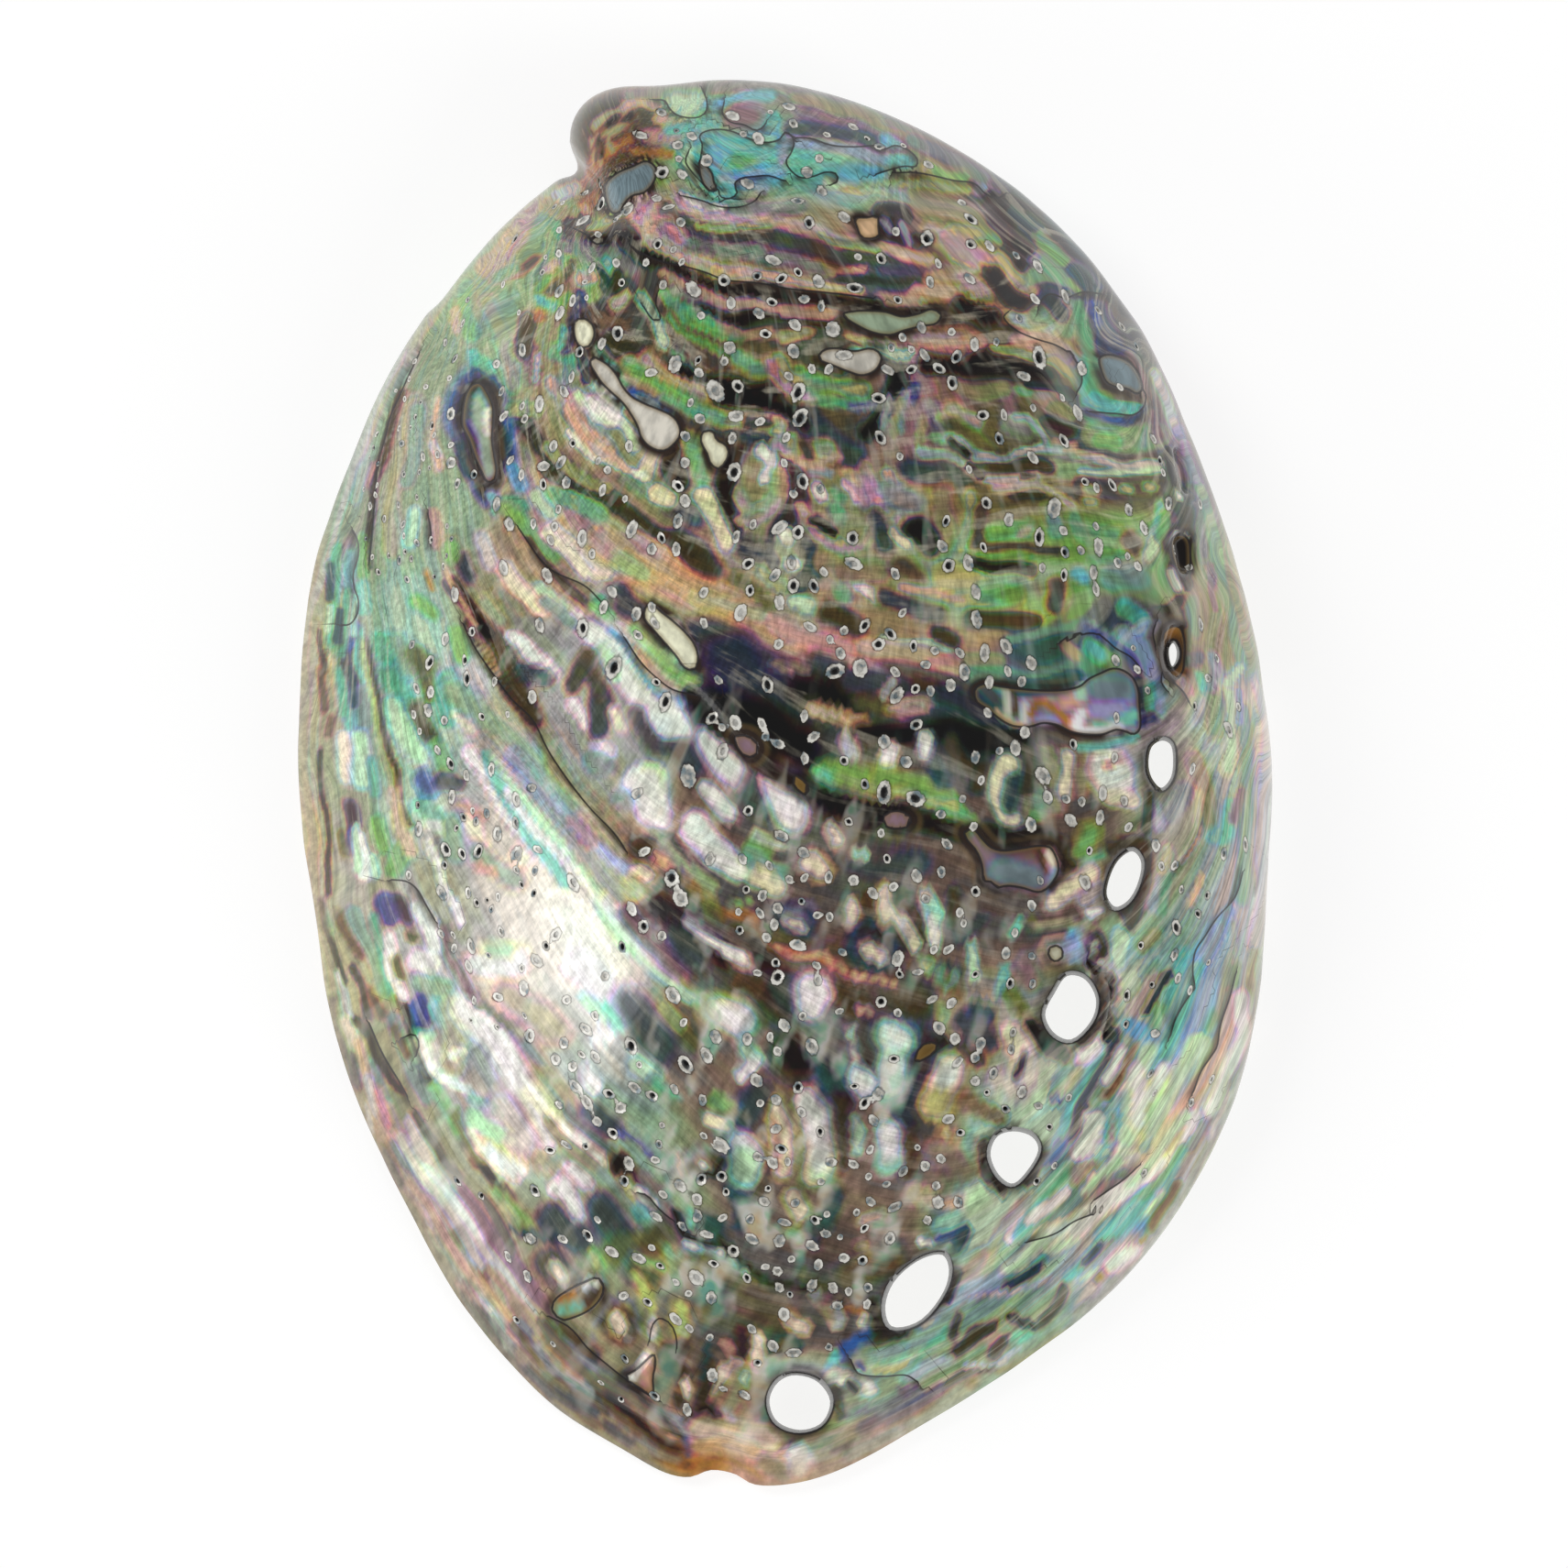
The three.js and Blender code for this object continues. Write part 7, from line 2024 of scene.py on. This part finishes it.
# Painted shade in the pits: a dark line at the rim, grey in the middle of the dish, and dark on the wall
# and core of an open pit.
PIT_RIM_SHADE_EDGE = (1.0, 1.35, 0.7, 0.0)
PIT_DISH_EDGE = (0.94, 1.06, 1.0, 0.0)
PIT_MIDDLE_SHADE_EDGE = (0.25, 0.7, 0.4, 0.0)
OPEN_WALL_SHADE_EDGE = (0.5, 0.66, 0.8, 0.0)
OPEN_CORE_SHADE_EDGE = (0.2, 0.5, 1.0, 0.0)

# Painted shade round each hole, and a dark line at its edge that is a painted shadow of its wall.
HOLE_SHADE_EDGE = (0.4, 1.8, 1.0, 0.0)
HOLE_SHADE_UNEVEN = (0.36, 0.56)
HOLE_SHADE = 0.8
HOLE_WALL_SHADOW_EDGE = (0.42, 0.66, 0.94, 0.0)

LAYER_NOISE = ((0.5, 0.05, 0.0), 4.0, 0.65)
LAYER_STOPS = ((0.3, "umber"), (0.42, "taupe"), (0.5, "sand"), (0.58, "silver"), (0.7, "bark"))
RIM_EDGE = (0.2, 0.45)
RIM_COVER = 0.65

SHEEN_NOISE = ((0.05, 0.012, 0.0), 2.0, 0.4)
SHEEN_TURNS = 1.6
SHEEN_STREAKS = 0.25
LINING_STOPS = (
    (0.0, "silver"), (0.14, "mint"), (0.26, "sky"), (0.38, "lavender"), (0.5, "silver"), (0.62, "pink"),
    (0.74, "cream"), (0.86, "pearl"), (1.0, "silver"),
)
LINING_SILVER = 0.45
LINING_EDGE = (0.5, 0.9)
SCAR_PLACE = (0.006, 0.008, 0.0)
SCAR_SCALE = (48.0, 38.0, 0.0)
SCAR_NOISE = ((70.0, 70.0, 70.0), 2.0, 0.5)
SCAR_WOBBLE = 0.6
SCAR_TURNS = 1.3
SCAR_STOPS = (
    (0.0, "teal"), (0.2, "fern"), (0.4, "taupe"), (0.55, "sage"), (0.7, "sky"), (0.85, "lavender"),
    (1.0, "teal"),
)
SCAR_STREAKS = (0.25, 0.75, 0.75, 1.15)
SCAR_EDGE = (1.1, 1.35, 0.45, 0.0)

SCRATCH_NOISES = (((9000.0, 260.0, 260.0), 2.0, 0.5), ((260.0, 7000.0, 260.0), 2.0, 0.5))
SCRATCH_RELIEF = 0.35
STREAK_RELIEF = 0.6
GROOVE_REACH = 1.3
GROOVE_EDGE = (0.0, 0.25)
STREAK_DULLNESS = 0.25

# How much of its light a named colour keeps where it is darker or paler than its name.
DEEP, DARKER, PALER = 0.6, 0.7, 1.5

METAL = 0.12
SPECULAR = 0.3
COAT_ROUGHNESS = 0.06


# Places of a colour mix's factor, its two colours and its result among the node's sockets.
MIX_INPUTS = (0, 6, 7)
MIX_OUTPUT = 2


class NacreMaker(NodeMaker):
    """Adds the nacre's layers to its tree, each over the colour of those before it."""

    def __init__(self, tree):
        super().__init__(tree)
        self.here = self.add("ShaderNodeTexCoord").outputs["Object"]
        self.flow = self.attribute("flow", "Vector")
        self.edge, self.side, self.near = self.parts("marks")
        self.pit, self.hole, self.inner = self.parts("cuts")
        self.cells, self.stripes_shown, self.hues = self.parts("grain")
        self.ripple, self.calm, self.depth = self.parts("ripple")
        self.streaks = self.noise(self.flow, *STREAK_NOISE)
        self.uneven = self.noise(self.flow, *UNEVEN_NOISE)
        self.outline = self.number("ABSOLUTE", self.edge)
        self.beside = self.ranged(self.number("ABSOLUTE", self.side), *CONTOUR_EDGE)

    def attribute(self, name, socket="Color"):
        node = self.add("ShaderNodeAttribute", attribute_name=name, attribute_type="GEOMETRY")
        return node.outputs[socket]

    def parts(self, name):
        return self.add("ShaderNodeSeparateXYZ", (self.attribute(name, "Vector"),)).outputs

    def ranged(self, value, low, high, to_low=0.0, to_high=1.0, kind="SMOOTHSTEP"):
        inputs = {"Value": value, "From Min": low, "From Max": high, "To Min": to_low, "To Max": to_high}
        return self.add("ShaderNodeMapRange", inputs, interpolation_type=kind).outputs[0]

    def times(self, first, second):
        return self.number("MULTIPLY", first, second)

    def blended(self, factor, first, second, kind="MIX"):
        node = self.add("ShaderNodeMix", data_type="RGBA", blend_type=kind)
        for place, value in zip(MIX_INPUTS, (factor, first, second)):
            self.feed(node.inputs[place], value)
        return node.outputs[MIX_OUTPUT]

    def noise(self, place, scale, detail, rough):
        return self.add("ShaderNodeTexNoise", {
            "Vector": self.vector("MULTIPLY", place, scale),
            "Scale": 1.0,
            "Detail": detail,
            "Roughness": rough,
        }).outputs[0]

    def ramp(self, value, stops):
        """A ramp of named colours: each stop is its place and its colour."""
        node = self.add("ShaderNodeValToRGB", (value,))
        points = node.color_ramp.elements
        while len(points) < len(stops):
            points.new(1.0)
        for point, (place, name) in zip(points, stops):
            point.position = place
            point.color = tone(name)
        return node.outputs[0]

    def film(self, colour):
        """A thin film of hues, which turn with the growth and with how bright the nacre is."""
        grey = self.add("ShaderNodeRGBToBW", (colour,)).outputs[0]
        bright = self.number("POWER", grey, BRIGHTNESS_POWER)
        turn = self.times(bright, BRIGHTNESS_TURNS)
        turn = self.number("MULTIPLY_ADD", self.noise(self.flow, *FILM_NOISE), FILM_TURNS, turn)
        tints = self.ramp(self.number("FRACT", turn), FILM_STOPS)
        colour = self.blended(self.times(self.hues, FILM_HUE), colour, tints, "COLOR")
        return self.blended(self.times(self.hues, FILM_LIGHT), colour, tints, "SOFT_LIGHT")

    def stripes(self, colour):
        """Stripes along the growth, darker in the ripples' valleys and paler on their crests as painted
        shade and highlight, finer streaks, and flecks.
        """
        lumps = self.noise(self.flow, *STRIPE_NOISE)
        stripe = self.number("MULTIPLY_ADD", self.ripple, RIPPLE_PAINTED_SHADING, lumps)
        dark = self.times(self.ranged(stripe, *DARK_STRIPE_EDGE), self.stripes_shown)
        light = self.times(self.ranged(stripe, *LIGHT_STRIPE_EDGE), self.stripes_shown)
        colour = self.blended(self.times(dark, DARK_STRIPE), colour, self.scaled(colour, DARK_STRIPE_TONE))
        colour = self.blended(self.times(light, LIGHT_STRIPE), colour, tone("cream"))
        strength = self.times(self.calm, STREAK_STRENGTH)
        streak = self.times(self.number("SUBTRACT", self.streaks, NOISE_MIDDLE), strength)
        colour = self.scaled(colour, self.number("ADD", streak, 1.0))
        flecks = self.noise(self.flow, *FLECK_NOISE)
        return self.scaled(colour, self.ranged(flecks, *FLECK_EDGE, "LINEAR"))

    def columns(self, colour):
        """Columns of nacre that stand across the growth, bright inside, with dark seams between."""
        column = self.noise(self.flow, *COLUMN_NOISE)
        glint = self.times(self.ranged(column, *GLINT_EDGE), self.cells)
        seam = self.times(self.ranged(column, *SEAM_EDGE), self.cells)
        colour = self.blended(self.times(seam, SEAM), colour, self.scaled(colour, SEAM_TONE))
        shine = self.ramp(self.noise(self.flow, *GLINT_NOISE), GLINT_STOPS)
        return self.blended(self.times(glint, GLINT), colour, shine)

    def islands(self, colour):
        """Patches with an outline of their own, clouded within, in a painted shade as of a dark hollow with
        an amber edge.
        """
        within = self.ranged(self.edge, *ISLAND_EDGE)
        clouds = self.ranged(self.noise(self.flow, *ISLAND_NOISE), *ISLAND_CLOUDS)
        colour = self.blended(within, colour, self.scaled(self.attribute("island"), clouds))
        island_shade = self.ramp(self.ranged(self.edge, *ISLAND_SHADE_WIDTH, kind="LINEAR"), ISLAND_SHADE_STOPS)
        hollow = self.times(self.ranged(self.edge, *ISLAND_SHADE_EDGE), self.number("SUBTRACT", 1.0, within))
        broken = self.ranged(self.uneven, *UNEVEN_EDGE)
        colour = self.blended(self.times(hollow, broken), colour, island_shade)
        rim = self.times(within, self.ranged(self.outline, *ISLAND_RIM_EDGE))
        colour = self.blended(rim, colour, tone("tobacco"))
        return self.blended(self.ranged(self.outline, *ISLAND_LINE_EDGE), colour, tone("soot"))

    def contours(self, colour):
        """Thin dark lines, with a painted shade along their left side, as below a step, that comes and
        goes.
        """
        step = self.times(self.ranged(self.side, *STEP_SHADE_FADE), self.ranged(self.side, *STEP_SHADE_EDGE))
        broken = self.ranged(self.uneven, *UNEVEN_EDGE)
        colour = self.blended(self.times(step, broken), colour, tone("umber"))
        close = self.ranged(self.near, *CONTOUR_END)
        return self.blended(self.times(self.beside, close), colour, tone("soot"))

    def pits(self, colour):
        """A pale dish for each pit, with painted shade: a thin dark line at its rim, grey in its middle,
        and dark on the wall and core where the pit is open.
        """
        open_pit = self.ranged(self.depth, *OPEN_PIT_EDGE)
        evened = self.number("SUBTRACT", self.pit, PIT_WOBBLE * NOISE_MIDDLE)
        pit = self.number("MULTIPLY_ADD", self.noise(self.here, *PIT_NOISE), PIT_WOBBLE, evened)
        pale = self.ramp(self.noise(self.here, *PALE_NOISE), PALE_STOPS)
        wall = self.times(open_pit, self.ranged(pit, *OPEN_WALL_SHADE_EDGE))
        core = self.times(open_pit, self.ranged(pit, *OPEN_CORE_SHADE_EDGE))
        colour = self.blended(self.ranged(pit, *PIT_RIM_SHADE_EDGE), colour, tone("umber", DEEP))
        colour = self.blended(self.ranged(pit, *PIT_DISH_EDGE), colour, pale)
        colour = self.blended(self.ranged(pit, *PIT_MIDDLE_SHADE_EDGE), colour, tone("slate", PALER))
        colour = self.blended(wall, colour, tone("slate", DARKER))
        return self.blended(core, colour, tone("soot", DEEP))

    def holes(self, colour):
        """A dark line at the edge of each hole, a painted shadow of its wall, in a painted brown shade that
        comes and goes.
        """
        broken = self.ranged(self.uneven, *HOLE_SHADE_UNEVEN)
        shade = self.times(self.ranged(self.hole, *HOLE_SHADE_EDGE), broken)
        colour = self.blended(self.times(shade, HOLE_SHADE), colour, tone("umber"))
        return self.blended(self.ranged(self.hole, *HOLE_WALL_SHADOW_EDGE), colour, tone("soot", DARKER))

    def rim(self, colour):
        """The rim, cut through the layers of the wall."""
        layers = self.ramp(self.noise(self.flow, *LAYER_NOISE), LAYER_STOPS)
        return self.blended(self.times(self.ranged(self.inner, *RIM_EDGE), RIM_COVER), colour, layers)

    def lining(self, colour):
        """The inside, with the scar of the muscle that held the animal."""
        turn = self.times(self.streaks, SHEEN_STREAKS)
        turn = self.number("MULTIPLY_ADD", self.noise(self.flow, *SHEEN_NOISE), SHEEN_TURNS, turn)
        lining = self.ramp(self.number("FRACT", turn), LINING_STOPS)
        lining = self.blended(LINING_SILVER, lining, tone("silver"))
        arm = self.vector("MULTIPLY", self.vector("SUBTRACT", self.here, SCAR_PLACE), SCAR_SCALE)
        reach = self.add("ShaderNodeVectorMath", (arm,), operation="LENGTH").outputs["Value"]
        reach = self.number("MULTIPLY_ADD", self.noise(self.here, *SCAR_NOISE), SCAR_WOBBLE, reach)
        scar = self.ramp(self.number("FRACT", self.times(reach, SCAR_TURNS)), SCAR_STOPS)
        scar = self.scaled(scar, self.ranged(self.streaks, *SCAR_STREAKS, "LINEAR"))
        lining = self.blended(self.ranged(reach, *SCAR_EDGE), lining, scar)
        return self.blended(self.ranged(self.inner, *LINING_EDGE), colour, lining)

    def relief(self):
        """Relief too fine for the mesh: growth streaks, polishing scratches and grooved outlines."""
        scratch = self.times(*(self.noise(self.here, *noise) for noise in SCRATCH_NOISES))
        away = self.number("SUBTRACT", GROOVE_REACH, self.beside)
        groove = self.ranged(self.number("MINIMUM", self.outline, away), *GROOVE_EDGE)
        fine = self.number("MULTIPLY_ADD", scratch, SCRATCH_RELIEF, groove)
        return self.number("MULTIPLY_ADD", self.streaks, STREAK_RELIEF, fine)


def tone(name, strength=1.0):
    """A named colour for a shader's socket."""
    return (*(linear(rgb(name)) * strength), 1.0)


def nacre_material(settings):
    """The one material of the shell: its layers of colour, its fine relief and its polish."""
    material = bpy.data.materials.new("Nacre")
    material.use_nodes = True
    material.node_tree.nodes.clear()
    nacre = NacreMaker(material.node_tree)
    colour = nacre.attribute("paint")
    # Pits, holes, the hollows round islands, the steps beside contours and the ripples' stripes paint
    # shade, and the stripes' crests a highlight.
    for layer in (
        nacre.film, nacre.stripes, nacre.columns, nacre.islands, nacre.contours, nacre.pits, nacre.holes,
        nacre.rim, nacre.lining,
    ):
        colour = layer(colour)
    bump = nacre.add("ShaderNodeBump", {
        "Strength": settings.relief,
        "Distance": settings.relief_depth,
        "Height": nacre.relief(),
    })
    streak = nacre.number("SUBTRACT", nacre.streaks, NOISE_MIDDLE)
    dull = nacre.number("MULTIPLY_ADD", streak, STREAK_DULLNESS, settings.roughness)
    shader = nacre.add("ShaderNodeBsdfPrincipled", {
        "Base Color": colour,
        "Normal": bump.outputs[0],
        "Roughness": dull,
        "Metallic": METAL,
        "Specular IOR Level": SPECULAR,
        "Coat Weight": settings.coat,
        "Coat Roughness": COAT_ROUGHNESS,
    })
    nacre.add("ShaderNodeOutputMaterial", (shader.outputs[0],))
    return material


# Settings, operators and panel


class ShellSettings(bpy.types.PropertyGroup):
    """The sizes of the wall and of its pits"""

    outside_rings: IntProperty(
        name="Outside Rings", description="Rings of points over the outside", default=136, min=20
    )
    inside_rings: IntProperty(
        name="Inside Rings", description="Rings of points over the inside", default=40, min=10
    )
    roof_wall: FloatProperty(
        name="Roof Wall", description="Thickness of the wall at the crown", default=0.0026, unit="LENGTH"
    )
    lip_wall: FloatProperty(
        name="Lip Wall", description="Thickness of the wall at the lip", default=0.002, unit="LENGTH"
    )
    pit_sides: IntProperty(name="Pit Sides", description="Sides of each pit", default=9, min=5)
    dish_depth: FloatProperty(
        name="Dish Depth", description="Depth of the dish round each pit", default=0.00012, unit="LENGTH"
    )
    core_depth: FloatProperty(
        name="Core Depth", description="Depth of each pit", default=0.0006, unit="LENGTH"
    )
    core_share: FloatProperty(
        name="Core Share", description="Width of the core against the dish", default=0.5, min=0.1, max=0.9
    )


class NacreSettings(bpy.types.PropertyGroup):
    """The finish of the nacre"""

    roughness: FloatProperty(
        name="Roughness", description="How dull the polish is", default=0.22, min=0, max=1, subtype="FACTOR"
    )
    relief: FloatProperty(
        name="Relief", description="Strength of fine relief", default=0.5, min=0, max=1, subtype="FACTOR"
    )
    relief_depth: FloatProperty(
        name="Relief Depth", description="Height of the fine relief", default=0.00006, unit="LENGTH"
    )
    coat: FloatProperty(
        name="Polish", description="Strength of the gloss", default=0.4, min=0, max=1, subtype="FACTOR"
    )


class StageSettings(bpy.types.PropertyGroup):
    """The floor, the light and the camera"""

    floor_colour: FloatVectorProperty(
        name="Floor", description="Colour of the floor", default=(0.25, 0.25, 0.25), min=0, max=1,
        size=3, subtype="COLOR",
    )
    camera_height: FloatProperty(
        name="Camera Height", description="How far above the floor the camera is", default=4, unit="LENGTH"
    )
    floor_glow: FloatProperty(
        name="Floor Glow", description="Light that the floor gives off", default=0.8, min=0
    )
    light: FloatProperty(
        name="Light", description="Strength of the even light all round", default=0.28, min=0
    )


# Edges sharper than this stay sharp, as at the pits and holes.
SHARP_EDGE = math.radians(35)


class ABALONE_OT_shell(bpy.types.Operator):
    """Make the shell with its folds, holes, pits and nacre"""

    bl_idname = "abalone.shell"
    bl_label = "Shell"

    def execute(self, context):
        settings = context.scene.abalone_shell
        material = nacre_material(context.scene.abalone_nacre)
        wall_points, faces, wall_sides = wall_mesh(settings)
        piece = object_of("abalone_shell", mesh_of("abalone_shell", wall_points, faces))
        pits = pit_list()
        cutters = (pit_cutters(pits, settings, material), hole_cutters())
        for cutter in cutters:
            cut = piece.modifiers.new("Cut", "BOOLEAN")
            cut.operation = "DIFFERENCE"
            cut.solver = "MANIFOLD"
            cut.object = cutter
        mesh = evaluated_mesh(piece)
        piece.modifiers.clear()
        piece.data = mesh
        for cutter in cutters:
            bpy.data.objects.remove(cutter)
        points = points_of(mesh)
        if len(points) < len(wall_points) / 2:
            raise RuntimeError("cutting the pits and holes left too little of the shell")
        paint_mesh(mesh, points, pits, wall_points, wall_sides)
        low, high = points.min(0), points.max(0)
        points -= ((low[0] + high[0]) / 2, (low[1] + high[1]) / 2, low[2])
        mesh.vertices.foreach_set("co", (points * METRES).astype(np.float32).ravel())
        mesh.materials.clear()
        mesh.materials.append(material)
        mesh.shade_smooth()
        mesh.set_sharp_from_angle(angle=SHARP_EDGE)
        mesh.update()
        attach(piece, "root")
        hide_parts("shell")
        return {"FINISHED"}


FLOOR_SIZE = 6
FLOOR_ROUGHNESS = 0.9
WHITE = (1, 1, 1, 1)
# Each light's name, place, size, power in watts, and whether the polish mirrors it.
LIGHTS = (
    ("Key Light", (-1.7, 1.3, 1.9), 1.2, 32, False),
    ("Fill Light", (1.9, -0.9, 1.6), 1.4, 26, False),
    ("Low Light", (-2.3, -1.3, 1.1), 1.8, 24, True),
)


class ABALONE_OT_stage(bpy.types.Operator):
    """Make the floor, the lights and the camera"""

    bl_idname = "abalone.stage"
    bl_label = "Stage"

    def execute(self, context):
        settings = context.scene.abalone_stage
        half = FLOOR_SIZE / 2
        corners = np.array(((-half, -half, 0), (half, -half, 0), (half, half, 0), (-half, half, 0)))
        floor = object_of("floor", mesh_of("floor", corners, [(0, 1, 2, 3)]))
        pale = bpy.data.materials.new("Floor")
        pale.use_nodes = True
        shader = pale.node_tree.nodes["Principled BSDF"]
        shader.inputs["Base Color"].default_value = (*settings.floor_colour, 1)
        shader.inputs["Roughness"].default_value = FLOOR_ROUGHNESS
        shader.inputs["Emission Color"].default_value = WHITE
        shader.inputs["Emission Strength"].default_value = settings.floor_glow
        floor.data.materials.append(pale)
        for name, place, size, power, mirrored in LIGHTS:
            lamp = bpy.data.lights.new(name, "AREA")
            lamp.size = size
            lamp.energy = power
            thing = object_of(name, lamp)
            thing.location = place
            thing.visible_glossy = mirrored
            thing.rotation_euler = (-Vector(place)).to_track_quat("-Z", "Y").to_euler()
        world = bpy.data.worlds.new("Studio")
        world.use_nodes = True
        sky = world.node_tree.nodes["Background"].inputs
        sky["Strength"].default_value = settings.light
        sky["Color"].default_value = WHITE
        context.scene.world = world
        lens = bpy.data.cameras.new("Camera")
        lens.angle = 2 * math.atan(PHOTO_SIDE * MM_PER_PIXEL * METRES / 2 / settings.camera_height)
        camera = object_of("Camera", lens)
        middle = placed(((PHOTO_SIDE - 1) / 2, (PHOTO_SIDE - 1) / 2)) * METRES
        camera.location = (middle[0], middle[1], settings.camera_height)
        context.scene.camera = camera
        context.scene.view_settings.view_transform = "Standard"
        return {"FINISHED"}


class ABALONE_PT_panel(bpy.types.Panel):
    """The sizes and the steps of the shell"""

    bl_label = "Abalone Shell"
    bl_space_type = "VIEW_3D"
    bl_region_type = "UI"
    bl_category = "Abalone"

    def draw(self, context):
        for name in ("abalone_shell", "abalone_nacre", "abalone_stage"):
            settings = getattr(context.scene, name)
            for key in settings.__annotations__:
                self.layout.prop(settings, key)
        for operator in (ABALONE_OT_shell, ABALONE_OT_stage):
            self.layout.operator(operator.bl_idname)


CLASSES = (
    ShellSettings, NacreSettings, StageSettings, ABALONE_OT_shell, ABALONE_OT_stage, ABALONE_PT_panel,
)


def register():
    for kind in CLASSES:
        bpy.utils.register_class(kind)
    bpy.types.Scene.abalone_shell = PointerProperty(type=ShellSettings)
    bpy.types.Scene.abalone_nacre = PointerProperty(type=NacreSettings)
    bpy.types.Scene.abalone_stage = PointerProperty(type=StageSettings)


def unregister():
    del bpy.types.Scene.abalone_shell
    del bpy.types.Scene.abalone_nacre
    del bpy.types.Scene.abalone_stage
    for kind in reversed(CLASSES):
        bpy.utils.unregister_class(kind)


def main():
    register()
    bpy.ops.abalone.stage()
    bpy.ops.abalone.shell()


if __name__ == "__main__":
    main()
